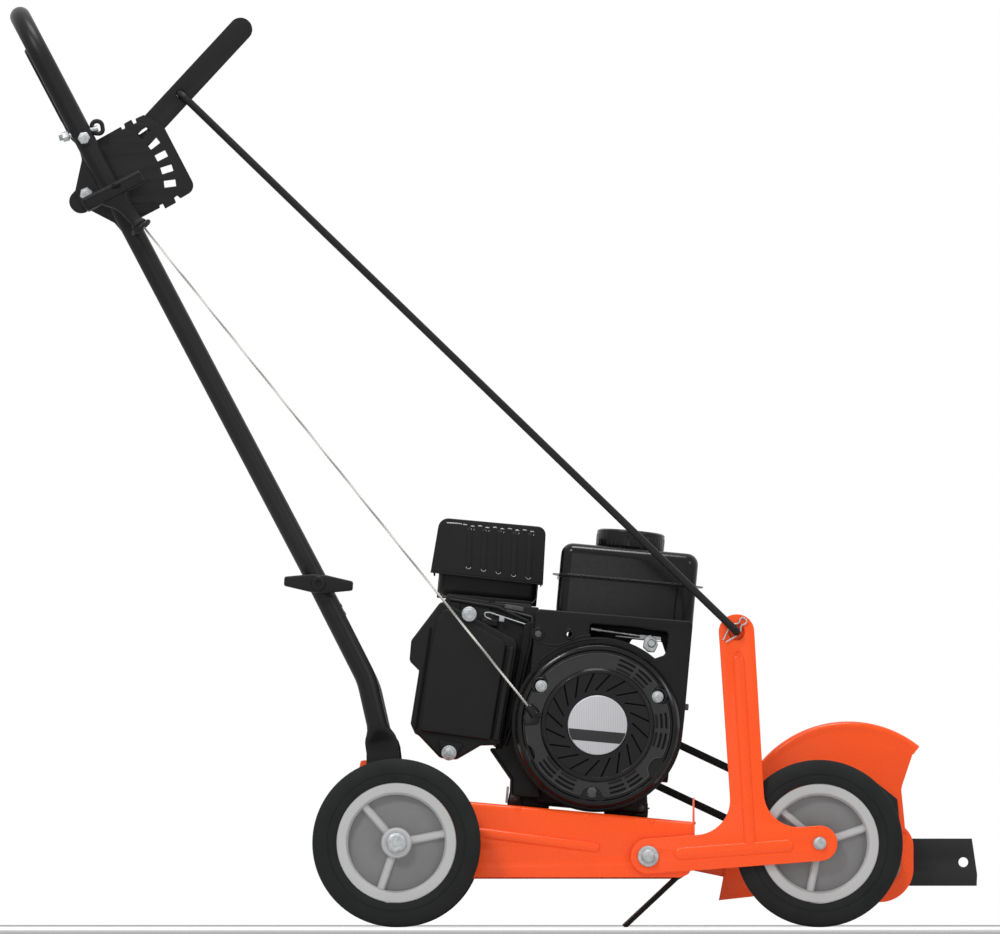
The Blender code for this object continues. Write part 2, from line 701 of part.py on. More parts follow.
front_at = (FRONT_AXLE[0] - ARM_PIVOT[0], FRONT_AXLE[1] - ARM_PIVOT[1])
front_in = FRONT_WHEEL_Y + TYRE_W / 2 + 1.0
front_bolt = lathe("front_axle_bolt", [
    (ARM_Y0 - GAP - FRONT_BOLT_HEAD_T, 0.0), (ARM_Y0 - GAP - FRONT_BOLT_HEAD_T, FRONT_BOLT_HEAD_R - 1.5),
    (ARM_Y0 - GAP - FRONT_BOLT_HEAD_T + 1.5, FRONT_BOLT_HEAD_R), (ARM_Y0 - GAP, FRONT_BOLT_HEAD_R),
    (ARM_Y0 - GAP, AXLE_R), (front_in, AXLE_R), (front_in, AXLE_CAP_R),
    (front_in + 6.0, AXLE_CAP_R), (front_in + 6.0, AXLE_R), (front_in + 9.0, AXLE_R),
    (front_in + 9.0, 0.0)], 20, at=front_at)
finish(front_bolt, STEEL, arm_pivot)
wheel("wheel_front", -1, front_at[0], FRONT_WHEEL_Y, front_at[1], FRONT_SPOKE_TURN, arm_pivot)


# Depth lever

lever_pivot = empty("depth_lever_pivot", (LEVER_PIVOT[0], 0.0, LEVER_PIVOT[1]), root)
ld = (math.cos(LEVER_ANGLE), math.sin(LEVER_ANGLE))
ln = left_of(ld)


def lever_at(t, off=0.0):
    return (ld[0] * t + ln[0] * off, ld[1] * t + ln[1] * off)


lever_outline = rounded([
    (*lever_at(-LEVER_TAIL, -LEVER_W / 2), LEVER_W * 0.49),
    (*lever_at(LEVER_LEN + LEVER_W / 2, -LEVER_W / 2), LEVER_W * 0.49),
    (*lever_at(LEVER_LEN + LEVER_W / 2, LEVER_W / 2), LEVER_W * 0.49),
    (*lever_at(-LEVER_TAIL, LEVER_W / 2), LEVER_W * 0.49)], 6)
lever_y0 = LEVER_Y - LEVER_T / 2
lever_y1 = LEVER_Y + LEVER_T / 2
lever = plate("depth_lever", [
    lever_outline, circle((0.0, 0.0), 5.0, 20), circle(lever_at(ROD_ARM_R), ROD_R + GAP, 20),
    slot(lever_at(SLOT_R + 1.0, 3.0), SLOT_L - 1.0, 3.0, LEVER_ANGLE + math.radians(-14.0), 4)],
    lever_y0, lever_y1)
pawl = block("pawl", SLOT_R - SLOT_L / 2 + 1.0, SLOT_R + SLOT_L / 2 - 1.0,
             QUAD_Y1 + GAP, lever_y0 + 1.0, -SLOT_W / 2 - 1.0, -1.6)
pawl.data.transform(Matrix.Rotation(-LEVER_ANGLE, 4, "Y"))
combine(lever, [pawl])
finish(lever, BLACK, lever_pivot)

# Link rod, hinged on the lever, its lower end bent in through the play hole of the arm
rod_y_arm = ARM_Y0 - 9.0
rod_y_lever = QUAD_Y0 - 2.5
rod_from = lever_at(ROD_ARM_R)
rod_pivot = empty("link_rod_pivot", (rod_from[0], 0.0, rod_from[1]), lever_pivot)
far = (ARM_TOP[0] - ROD_HOLE[0], ARM_TOP[1] - ROD_HOLE[1])
rod = tube("link_rod", bent_path([
    (0.0, lever_y1 + 6.0, 0.0), (0.0, rod_y_lever, 0.0, 8.0),
    (far[0], rod_y_arm, far[1], 6.0), (far[0], ARM_Y1 + 6.0, far[1])], 5), ROD_R, 3)
washer = lathe("washer", [(ARM_Y1 + 0.9, 0.0), (ARM_Y1 + 0.9, 13.5), (ARM_Y1 + 2.5, 13.5),
                          (ARM_Y1 + 2.5, 0.0)], 20, at=far)
combine(rod, [washer])
finish(rod, BLACK, rod_pivot)

clip_u = unit(CLIP_HEAD, CLIP_FOOT)
clip_w = left_of(clip_u)
clip_y = ARM_Y0 - CLIP_R - 0.7


def clip_at(t, off, radius=0.0):
    x, z = along(along(CLIP_HEAD, clip_u, t), clip_w, off)
    return (x - ROD_HOLE[0], clip_y, z - ROD_HOLE[1], radius)


clip_hold = ROD_R + CLIP_R + GAP
clip_mid = math.dist(CLIP_HEAD, ARM_TOP)
clip = tube("hairpin_clip", bent_path([
    clip_at(27.0, -2.4), clip_at(clip_mid + 4.0, -clip_hold, 4.0), clip_at(clip_mid - 4.0, -clip_hold, 4.0),
    clip_at(4.0, -2.2, 4.0), clip_at(-4.0, -4.0, 2.2), clip_at(-4.0, 4.0, 2.2), clip_at(4.0, 2.2, 4.0),
    clip_at(clip_mid - 4.0, clip_hold, 4.0), clip_at(clip_mid + 4.0, clip_hold, 4.0),
    clip_at(27.0, 2.4)], 3), CLIP_R, 1)
finish(clip, STEEL, rod_pivot)

bolt_af = QUAD_BOLT_AF / 2 / math.cos(math.pi / 6)
lever_bolt = lathe("lever_pivot_bolt", [
    (QUAD_Y0 - GAP - 6.0, 0.0), (QUAD_Y0 - GAP - 6.0, bolt_af), (QUAD_Y0 - GAP, bolt_af),
    (QUAD_Y0 - GAP, 4.4),
    (lever_y1 + GAP, 4.4), (lever_y1 + GAP, bolt_af + 1.5), (lever_y1 + GAP + 4.0, bolt_af + 1.5),
    (lever_y1 + GAP + 4.0, 0.0)], 6, at=LEVER_PIVOT, start=0.4)
finish(lever_bolt, STEEL, root)


# Handle: two crushed lower legs, a U loop bolted inside them

def handle_at(s, off=0.0, y=0.0):
    """Point s down the leg from the bight, off toward the rear, at y."""
    n = (HANDLE_DIR[1], -HANDLE_DIR[0])
    x = HANDLE_TOP[0] + HANDLE_DIR[0] * s + n[0] * off
    return (x, y, HANDLE_TOP[1] + HANDLE_DIR[1] * s + n[1] * off)


def pin(name, x, z, r, y0, y1, steps=16):
    return lathe(name, [(y0, 0.0), (y0, r), (y1, r), (y1, 0.0)], steps, at=(x, z))


knob_s = math.dist(HANDLE_TOP, KNOB_AT)
leg_end = handle_at(knob_s + UPPER_PAST_KNOB)
loop = tube("upper_handle", bent_path([
    (leg_end[0], -UPPER_Y, leg_end[2]), (HANDLE_TOP[0], -UPPER_Y, HANDLE_TOP[1], HANDLE_BEND_R),
    (HANDLE_TOP[0], UPPER_Y, HANDLE_TOP[1], HANDLE_BEND_R), (leg_end[0], UPPER_Y, leg_end[2])], 6),
    TUBE_R, 4)
bolt_at = handle_at(HANDLE_BOLT_FROM_TOP)
eye_dir = (0.9676, 0.2529)
eye_mid = meet(HANDLE_TOP, HANDLE_DIR, (-319.5, 852.0), eye_dir)
eye_hole = turned("hole", [(-30.0, 0.0), (-30.0, 3.4), (30.0, 3.4), (30.0, 0.0)],
                  (eye_mid[0], -UPPER_Y, eye_mid[1]), (eye_dir[0], 0.0, eye_dir[1]), 12)
KNOB_STUD_R = 3.6
combine(loop, [pin("hole", *KNOB_AT, KNOB_STUD_R + 0.4, -140.0, 140.0),
               pin("hole", bolt_at[0], bolt_at[2], 3.4, -140.0, -60.0), eye_hole], "DIFFERENCE")
finish(loop, BLACK, root, 50.0)


def swept(name, stations, y, sides=16):
    """Bar in the plane y going from round to flat; stations are (x, z, half width, half depth, power)."""
    bm = bmesh.new()
    rings = []
    for i, (x, z, a, b, power) in enumerate(stations):
        p = stations[max(i - 1, 0)]
        q = stations[min(i + 1, len(stations) - 1)]
        n = left_of(unit((p[0], p[1]), (q[0], q[1])))
        ring = []
        for k in range(sides):
            t = 2 * math.pi * k / sides
            cx = math.copysign(abs(math.cos(t)) ** (2 / power), math.cos(t)) * a
            sy = math.copysign(abs(math.sin(t)) ** (2 / power), math.sin(t)) * b
            ring.append(bm.verts.new(((x + n[0] * cx) * MM, (y + sy) * MM, (z + n[1] * cx) * MM)))
        rings.append(ring)
    for r0, r1 in zip(rings, rings[1:]):
        for k in range(sides):
            j = (k + 1) % sides
            bm.faces.new((r0[k], r0[j], r1[j], r1[k]))
    bm.faces.new(rings[0])
    bm.faces.new(rings[-1])
    return mesh_object(name, bm)


def lower_leg(name, side):
    y = side * LOWER_Y
    start = handle_at(knob_s - LOWER_PAST_KNOB)
    bend = rounded([(start[0], start[2]), (*LOWER_BEND, 80.0), (*LOWER_END, 0.0)], 5, False)
    down = unit(LOWER_BEND, LOWER_END)
    stations = [(x, z, TUBE_R, TUBE_R, 2.0) for x, z in bend[:-1]]
    n0 = along(LOWER_END, down, -26.0)
    stations.append((*n0, TUBE_R, TUBE_R, 2.0))
    stations.append((*along(LOWER_END, down, -16.0), TUBE_R + 1.6, TUBE_R - 2.4, 2.3))
    stations.append((*along(LOWER_END, down, -6.0), FLAT_W / 2 - 2.0, 5.0, 3.0))
    stations.append((*along(LOWER_END, down, 4.0), FLAT_W / 2, FLAT_T / 2, 6.0))
    foot_x = LOWER_END[0] + down[0] * 8.0
    stations.append((foot_x, LOWER_END[1] + down[1] * 8.0, FLAT_W / 2, FLAT_T / 2, 6.0))
    stations.append((foot_x, FLAT_BOTTOM_Z + 14.0, FLAT_W / 2, FLAT_T / 2, 6.0))
    stations.append((foot_x, FLAT_BOTTOM_Z + 5.0, FLAT_W / 2 - 3.0, FLAT_T / 2, 6.0))
    stations.append((foot_x, FLAT_BOTTOM_Z, FLAT_W / 2 - 9.0, FLAT_T / 2, 6.0))
    leg = swept(name, stations, y)
    combine(leg, [pin("hole", *KNOB_AT, KNOB_STUD_R + 0.4, -150.0, 150.0),
                  pin("hole", *FOOT_BOLT_AT, FOOT_BOLT_R + GAP, -150.0, 150.0)], "DIFFERENCE")
    return finish(leg, BLACK, root, 50.0)


def foot_bolt(name, side):
    """Bolt and nut that clamp a crushed tube foot to the deck's ear."""
    out = LOWER_Y + FLAT_T / 2 + GAP
    inside = DECK_HALF_W - DECK_T - GAP
    bolt = lathe(name, [
        (-out - 5.0, 0.0), (-out - 5.0, 6.2), (-out - 1.2, 6.4), (-out - 1.2, 8.4), (-out, 8.4), (-out, FOOT_BOLT_R),
        (-inside, FOOT_BOLT_R), (-inside, 6.2), (-inside + 5.5, 6.2), (-inside + 5.5, FOOT_BOLT_R),
        (-inside + 8.0, FOOT_BOLT_R), (-inside + 8.0, 0.0)], 12, at=FOOT_BOLT_AT)
    if side > 0:
        bolt.data.transform(Matrix.Scale(-1, 4, (0, 1, 0)))
        bolt.data.flip_normals()
    return finish(bolt, STEEL, root)


foot_bolt("foot_bolt_right", -1)
foot_bolt("foot_bolt_left", 1)


lower_leg("lower_handle_right", -1)
lower_leg("lower_handle_left", 1)


def wing_knob(name, side):
    half = KNOB_SPAN / 2
    wing = plate(name, [rounded([
        (-half, -KNOB_END_H / 2, 2.5), (-KNOB_MID_H * 0.4, -KNOB_MID_H / 2, 8.0),
        (KNOB_MID_H * 0.4, -KNOB_MID_H / 2, 8.0), (half, -KNOB_END_H / 2, 2.5),
        (half, KNOB_END_H / 2, 2.5), (KNOB_MID_H * 0.4, KNOB_MID_H / 2, 8.0),
        (-KNOB_MID_H * 0.4, KNOB_MID_H / 2, 8.0), (-half, KNOB_END_H / 2, 2.5)], 3)],
        -LOWER_Y - TUBE_R - 2.0 - KNOB_T, -LOWER_Y - TUBE_R - 2.0)
    wing.data.transform(Matrix.Rotation(KNOB_TURN if side < 0 else LEFT_KNOB_TURN, 4, "Y"))
    seat = lathe("seat", [(-LOWER_Y - TUBE_R - 5.0, 0.0), (-LOWER_Y - TUBE_R - 5.0, 9.0),
                          (-LOWER_Y - TUBE_R - GAP, 9.0), (-LOWER_Y - TUBE_R - GAP, KNOB_STUD_R),
                          (-UPPER_Y + TUBE_R, KNOB_STUD_R), (-UPPER_Y + TUBE_R, 0.0)], 12)
    ring = lathe("ring", [(-LOWER_Y - TUBE_R - 4.0 - KNOB_T, 3.6), (-LOWER_Y - TUBE_R - 4.0 - KNOB_T, 7.4),
                          (-LOWER_Y - TUBE_R - KNOB_T, 7.8), (-LOWER_Y - TUBE_R - KNOB_T, 3.6)], 14, True)
    hole = pin("hole", 0.0, 0.0, 3.6, -LOWER_Y - TUBE_R - 10.0 - KNOB_T, -LOWER_Y - TUBE_R - KNOB_T + 3.0)
    combine(wing, [seat, ring])
    combine(wing, [hole], "DIFFERENCE")
    pivot = empty(name + "_pivot", (KNOB_AT[0], 0.0, KNOB_AT[1]), root)
    if side > 0:
        wing.data.transform(Matrix.Scale(-1, 4, (0, 1, 0)))
        wing.data.flip_normals()
    return finish(wing, PLASTIC, pivot)


wing_knob("wing_knob_right", -1)
wing_knob("wing_knob_left", 1)

# Bail
bail_pivot = empty("operator_bail_pivot", (bolt_at[0], 0.0, bolt_at[2]), root)


def bail_at(s, off, y):
    p = handle_at(s, off, y)
    return (p[0] - bolt_at[0], y, p[2] - bolt_at[2])


s0 = HANDLE_BOLT_FROM_TOP
bail = tube("operator_bail", bent_path([
    bail_at(s0, 0.0, QUAD_Y1 + GAP), (*bail_at(s0, 0.0, -BAIL_Y + 2.0), 4.0),
    (*bail_at(s0 - 30.0, BAIL_OFF, -BAIL_Y + 2.0), 14.0), (*bail_at(BAIL_FROM_TOP, BAIL_OFF, -BAIL_Y + 2.0), 9.0),
    (*bail_at(BAIL_FROM_TOP, BAIL_OFF, BAIL_Y), 9.0), (*bail_at(s0 - 30.0, BAIL_OFF, BAIL_Y), 14.0),
    (*bail_at(s0, 0.0, BAIL_Y), 4.0), bail_at(s0, 0.0, UPPER_Y - TUBE_R - GAP)], 3), BAIL_R, 2)
finish(bail, BLACK, bail_pivot)

# Quadrant plate with its row of slots
sl = []
for i in range(SLOT_COUNT):
    a = LEVER_ANGLE - SLOT_STEP * i
    sl.append(slot(along(LEVER_PIVOT, (math.cos(a), math.sin(a)), SLOT_R), SLOT_L, SLOT_W, a, 0))
quad_outline = rounded([
    (-346.0, 852.0, 6.0), (-326.0, 838.0, 0.0), (-296.1, 854.8, 2.0), (-295.1, 851.6, 0.0),
    (-291.9, 853.0, 0.0), (-293.1, 857.8, 0.0), (-285.4, 862.3, 0.0), (-282.7, 857.6, 0.0),
    (-279.7, 859.0, 0.0), (-280.9, 863.2, 0.0), (-272.0, 867.4, 2.0), (-250.5, 855.0, 6.0),
    (-216.6, 788.5, 24.0), (-232.5, 777.8, 0.0), (-236.0, 780.8, 0.0), (-239.2, 778.6, 0.0),
    (-237.2, 773.2, 0.0), (-248.8, 766.8, 0.0), (-251.4, 772.0, 0.0), (-254.8, 770.4, 0.0),
    (-254.5, 767.7, 0.0), (-288.0, 750.0, 8.0), (-284.5, 729.5, 5.0), (-303.0, 751.5, 6.0),
    (-340.5, 771.0, 12.0), (-345.0, 786.0, 6.0),
    (-338.0, 819.1, 8.0)], 4)
quad = plate("quadrant_plate", [quad_outline, circle(LEVER_PIVOT, 4.7, 20), circle((bolt_at[0], bolt_at[2]), 3.4, 16)] + sl,
             QUAD_Y0, QUAD_Y1)
finish(quad, BLACK, root)
head_y = -UPPER_Y - TUBE_R - GAP
quad_bolt = lathe("quadrant_bolt", [
    (head_y - 5.0, 0.0), (head_y - 5.0, bolt_af), (head_y, bolt_af), (head_y, 3.0),
    (QUAD_Y1 - 0.2, 3.0), (QUAD_Y1 - 0.2, 0.0)], 6, at=(bolt_at[0], bolt_at[2]), start=0.1)
finish(quad_bolt, STEEL, root)

# Eye bolt through the right leg
eye_c = (-316.2, 852.9)
ring_path = rounded([(eye_c[0] - 5.6, eye_c[1] - 7.6, 4.0), (eye_c[0] + 5.6, eye_c[1] - 7.6, 4.0),
                     (eye_c[0] + 5.6, eye_c[1] + 7.6, 4.0), (eye_c[0] - 5.6, eye_c[1] + 7.6, 4.0)], 3)
eye = tube("eye_bolt", [(x, -UPPER_Y, z) for x, z in ring_path], 2.0, 2, True)
shank = turned("shank", [(-22.5, 0.0), (-22.5, 3.0), (18.5, 3.0), (18.5, 0.0)],
               (eye_mid[0], -UPPER_Y, eye_mid[1]), (eye_dir[0], 0.0, eye_dir[1]), 12)
nut = turned("nut", [(-20.5, 0.0), (-20.5, 5.6), (-13.4, 5.6), (-13.4, 0.0)],
             (eye_mid[0], -UPPER_Y, eye_mid[1]), (eye_dir[0], 0.0, eye_dir[1]), 6)
combine(eye, [shank, nut])
finish(eye, STEEL, root)

# Rope guide eye beside the right leg, the rope and its grip
outlet_x, outlet_z = from_engine(*OUTLET)
pull = Vector((EYE_AT[0] - outlet_x, ROPE_Y - OUTLET_Y, EYE_AT[1] - outlet_z)).normalized()
side_v = Vector((0, 1, 0))
side_v = (side_v - pull * side_v.dot(pull)).normalized()
third = pull.cross(side_v)
eye_v = Vector((EYE_AT[0], ROPE_Y, EYE_AT[1]))
guide_ring = [tuple(eye_v + (side_v * math.cos(t) + third * math.sin(t)) * EYE_R)
              for t in [2 * math.pi * i / 16 for i in range(16)]]
guide = tube("rope_guide", guide_ring, EYE_WIRE_R, 1, True)
inner = eye_v + side_v * EYE_R
leg_x = HANDLE_TOP[0] + (HANDLE_TOP[1] - EYE_AT[1] + 5.0) * HANDLE_DIR[0] / -HANDLE_DIR[1]
seat_v = Vector((leg_x + 1.0, -UPPER_Y - TUBE_R - 0.6, EYE_AT[1] - 5.0))
stem_dir = (seat_v - inner).normalized()
stem = turned("stem", [(-1.0, 0.0), (-1.0, EYE_WIRE_R), ((seat_v - inner).length - 1.0, EYE_WIRE_R),
                       ((seat_v - inner).length - 1.0, 0.0)], tuple(inner), tuple(stem_dir), 10)
combine(guide, [stem])
finish(guide, BLACK, root)

outlet_v = Vector((outlet_x, OUTLET_Y, outlet_z)) + pull * 9.0
neck_v = eye_v + pull * (EYE_WIRE_R + GAP)
rope = turned("starter_rope", [(0.0, 0.0), (0.0, ROPE_R), ((neck_v - outlet_v).length - GAP, ROPE_R),
                               ((neck_v - outlet_v).length - GAP, 0.0)], tuple(outlet_v), tuple(pull), 8)
finish(rope, ROPE, root)

grip_pivot = empty("starter_grip_slide", tuple(neck_v), root)
grip_angle = math.atan2(pull.x, pull.z)
neck = bmesh.new()
rings = []
for h, w, d in ((0.0, 8.8, 8.6), (4.0, 6.6, 6.2), (GRIP_NECK_L * 0.6, 8.0, 6.4),
                (GRIP_NECK_L - 4.0, 13.0, 8.0), (GRIP_NECK_L + 4.0, 18.0, 8.6)):
    ring = []
    for k in range(16):
        t = 2 * math.pi * k / 16
        cx = math.copysign(abs(math.cos(t)) ** 0.7, math.cos(t)) * w
        sy = math.copysign(abs(math.sin(t)) ** 0.7, math.sin(t)) * d
        ring.append(neck.verts.new((cx * MM, sy * MM, h * MM)))
    rings.append(ring)
for r0, r1 in zip(rings, rings[1:]):
    for k in range(16):
        neck.faces.new((r0[k], r0[(k + 1) % 16], r1[(k + 1) % 16], r1[k]))
neck.faces.new(rings[0])
neck.faces.new(rings[-1])
grip = mesh_object("starter_grip", neck)
bar = block("bar", -GRIP_BAR / 2, GRIP_BAR / 2, -GRIP_BAR_DEPTH / 2, GRIP_BAR_DEPTH / 2, 0.0, GRIP_BAR_T)
softened(bar, 3.5, 3)
bar.data.transform(Matrix.Translation((0.0, 0.0, GRIP_NECK_L * MM)) @ Matrix.Rotation(-GRIP_TURN, 4, "Y"))
combine(grip, [bar])
combine(grip, [turned("hole", [(GRIP_NECK_L + 3.0, 0.0), (GRIP_NECK_L + 3.0, 5.5), (GRIP_NECK_L + 20.0, 5.5),
                               (GRIP_NECK_L + 20.0, 0.0)], (0, 0, 0), (0, 0, 1), 12)], "DIFFERENCE")
grip.data.transform(Matrix.Rotation(grip_angle, 4, "Y"))
finish(grip, PLASTIC, grip_pivot)


# Blade, spindle, pulleys and belt

def pulley(name, centre, parent):
    half = PULLEY_W / 2
    floor = PULLEY_R - BELT_T + 0.6
    belt_half = BELT_W / 2 + 0.4
    disc = lathe(name, [
        (-half, SPINDLE_R + GAP), (-half, PULLEY_R - 5.0), (-half + 0.8, PULLEY_R), (-belt_half, PULLEY_R),
        (-belt_half, floor), (belt_half, floor), (belt_half, PULLEY_R), (half - 0.8, PULLEY_R), (half, PULLEY_R - 5.0),
        (half, SPINDLE_R + GAP)], 26, True)
    disc.data.transform(Matrix.Translation((0, PULLEY_Y * MM, 0)))
    return finish(disc, STEEL, parent)


spindle_pivot = empty("spindle_pivot", (SPINDLE[0], 0.0, SPINDLE[1]), root)
w = BLADE_W / 2
half_blade = [(BLADE_R - 0.5, -w), (BLADE_R, -w * 0.5), (BLADE_R - BLADE_END_RAKE, w)]
blade_outline = half_blade + [(-x, -z) for x, z in half_blade]
holes = [circle((0.0, 0.0), SPINDLE_R + GAP, 20)]
for sgn in (-1, 1):
    holes.append(circle((sgn * (BLADE_R - BLADE_HOLE_FROM_TIP), 0.0), BLADE_HOLE_R, 16))
blade = plate("blade", [blade_outline] + holes, BLADE_Y - BLADE_T / 2, BLADE_Y + BLADE_T / 2)
finish(blade, BLACK, spindle_pivot)
pulley("driven_pulley", SPINDLE, spindle_pivot)
shaft_in = PLATE_Y - 22.0
spindle = lathe("spindle_shaft", [
    (shaft_in, 0.0), (shaft_in, SPINDLE_R), (PULLEY_Y + PULLEY_W / 2 + 0.8, SPINDLE_R),
    (PULLEY_Y + PULLEY_W / 2 + 0.8, 15.0), (BLADE_Y - BLADE_T / 2 - GAP, 15.0), (BLADE_Y - BLADE_T / 2 - GAP, SPINDLE_R),
    (BLADE_Y + BLADE_T / 2 + GAP, SPINDLE_R), (BLADE_Y + BLADE_T / 2 + GAP, 14.0), (BLADE_Y + BLADE_T / 2 + 2.8, 14.0),
    (BLADE_Y + BLADE_T / 2 + 2.8, 10.5), (BLADE_Y + BLADE_T / 2 + 11.0, 10.5), (BLADE_Y + BLADE_T / 2 + 11.0, 0.0)], 18)
finish(spindle, STEEL, spindle_pivot)
housing = lathe("spindle_housing", [
    (PLATE_Y - 20.0, SPINDLE_R + GAP), (PLATE_Y - 20.0, HOUSING_R - 3.0), (PLATE_Y - 18.0, HOUSING_R),
    (PLATE_Y - 7.0, HOUSING_R), (PLATE_Y - 5.0, HOUSING_FLANGE_R), (PLATE_Y - GAP, HOUSING_FLANGE_R),
    (PLATE_Y - GAP, HOUSING_R - 8.0), (PLATE_Y + PLATE_T + 2.0, HOUSING_R - 8.0),
    (PLATE_Y + PLATE_T + 2.0, SPINDLE_R + GAP)], 24, True, at=SPINDLE)
finish(housing, CAST, root)

mount_x = DECK_FRONT_X + GAP
side = plate("spindle_plate", [rounded([
    (mount_x, 62.0, 0.0), (mount_x, 93.0, 0.0), (SPINDLE[0] - 10.0, SPINDLE[1] + LOBE_R, 30.0),
    (SPINDLE[0] + LOBE_R, SPINDLE[1] + LOBE_R, LOBE_R * 0.98), (SPINDLE[0] + LOBE_R, SPINDLE[1] - LOBE_R, LOBE_R * 0.98),
    (SPINDLE[0] - 30.0, SPINDLE[1] - LOBE_R, 30.0)], 10), circle(SPINDLE, HOUSING_R - 8.0 + GAP, 28)], PLATE_Y, PLATE_Y + PLATE_T)
flange = block("flange", mount_x, mount_x + PLATE_T, PLATE_Y - 30.0, PLATE_Y + 1.0, 64.0, 92.0)
combine(side, [flange])
finish(side, ORANGE, root)

crank_pivot = empty("crankshaft_pivot", (CRANK_LOCAL[0], 0.0, CRANK_LOCAL[1]), engine)
pulley("drive_pulley", CRANK, crank_pivot)
crankshaft = lathe("crankshaft", [
    (-107.0, 0.0), (-107.0, SHAFT_R - 1.5), (PULLEY_Y + PULLEY_W / 2 + 6.0, SHAFT_R - 1.5),
    (PULLEY_Y + PULLEY_W / 2 + 7.0, SHAFT_R - 2.5), (PULLEY_Y + PULLEY_W / 2 + 7.0, 0.0)], 20)
finish(crankshaft, STEEL, crank_pivot)

belt_dir = unit(CRANK, SPINDLE)
belt_a = math.atan2(belt_dir[1], belt_dir[0])


def belt_line(r):
    return (arc(CRANK, r, belt_a + math.pi / 2, belt_a + 3 * math.pi / 2, 14)
            + arc(SPINDLE, r, belt_a - math.pi / 2, belt_a + math.pi / 2, 14))


belt_r = PULLEY_R + 1.2
belt = plate("drive_belt", [belt_line(belt_r), belt_line(belt_r - BELT_T)],
             PULLEY_Y - BELT_W / 2, PULLEY_Y + BELT_W / 2)
finish(belt, RUBBER, root)


# Blade guard: a pressed face with a turned rim

def sector(name, profile, c, a0, a1, steps):
    bm = bmesh.new()
    rings = []
    for i in range(steps + 1):
        a = a0 + (a1 - a0) * i / steps
        rings.append([bm.verts.new(((c[0] + r * math.cos(a)) * MM, y * MM, (c[1] + r * math.sin(a)) * MM))
                      for y, r in profile])
    for r0, r1 in zip(rings, rings[1:]):
        for k in range(len(profile)):
            j = (k + 1) % len(profile)
            bm.faces.new((r0[k], r0[j], r1[j], r1[k]))
    bm.faces.new(rings[0])
    bm.faces.new(rings[-1])
    return mesh_object(name, bm)


gy1 = PLATE_Y - GAP
gy0 = gy1 - GUARD_T
RIM_START = math.radians(138.0)
RIM_END = math.radians(51.4)
face_r = GUARD_R - 6.0
guard_outline = [(346.6, 29.1), (352.9, 61.7)]
guard_outline += [along(GUARD_C, (math.cos(math.radians(a)), math.sin(math.radians(a))), GUARD_R)
                  for a in (178, 168, 158, 148, 138.6)]
guard_outline += arc(GUARD_C, face_r, RIM_START, RIM_END + 0.012, 20)
guard_outline += [(546.1, 154.2), (545.0, 149.3), (549.4, 103.5), (545.4, 103.0), (536.0, 125.0)]
guard_outline += arc(SPINDLE, LOBE_R + 4.0, math.radians(65.0), math.radians(165.0), 8)
guard_outline += [(452.0, 60.0), (383.1, 33.1)]
guard = plate("blade_guard", [guard_outline], gy0, gy1)
rim = sector("rim", [
    (gy0, face_r - 8.0), (gy0, GUARD_R - GUARD_EDGE), (gy0 + 1.4, GUARD_R - 1.4), (gy0 + GUARD_EDGE, GUARD_R),
    (gy0 + GUARD_RIM_DEPTH, GUARD_R), (gy0 + GUARD_RIM_DEPTH, GUARD_R - GUARD_T),
    (gy0 + GUARD_EDGE + 1.0, GUARD_R - GUARD_T), (gy1, GUARD_R - GUARD_EDGE - 1.2), (gy1, face_r - 8.0)],
    GUARD_C, RIM_START, RIM_END, 20)
combine(guard, [rim])
finish(guard, ORANGE, root)

skirt = plate("guard_skirt", [[(500.0, 165.0), (505.0, 166.8), (540.4, 138.9), (543.6, 104.0), (512.0, 120.0), (498.0, 140.0)]],
              gy0 - GAP - 1.6, gy0 - GAP)
finish(skirt, RUBBER, root)

flap_d = unit(FLAP_TOP, FLAP_FOOT)
flap_n = left_of(flap_d)
fx = DECK_FRONT_X - DECK_T - GAP
flap = plate("rear_flap", [[
    (fx, 96.0), (fx - FLAP_T, 96.0), (fx - FLAP_T, 62.0), along(FLAP_TOP, flap_n, -FLAP_T / 2),
    along(FLAP_FOOT, flap_n, -FLAP_T / 2), (FLAP_FOOT[0] + 2.0, FLAP_FOOT[1]), along(FLAP_TOP, flap_n, FLAP_T / 2), (fx, 58.0)]],
    FLAP_Y0, FLAP_Y1)
finish(flap, RUBBER, root)


# Engine

def shroud_outline(inset):
    r = RECOIL_R + 1.2 - inset
    left_x = -79.0 + inset
    a = math.pi - math.acos(min(1.0, -(left_x - CRANK_LOCAL[0]) / r))
    foot = CRANK_LOCAL[1] + r * math.sin(a)
    return ([(89.4 - inset, 16.0)] + rounded([(89.4 - inset, 16.0), (89.4 - inset, 115.0 - inset, 6.0),
                                              (left_x, 113.2 - inset, 6.0), (left_x, foot)], 4, False)[1:-1]
            + arc(CRANK_LOCAL, r, a, 2 * math.pi - 0.05, 28))


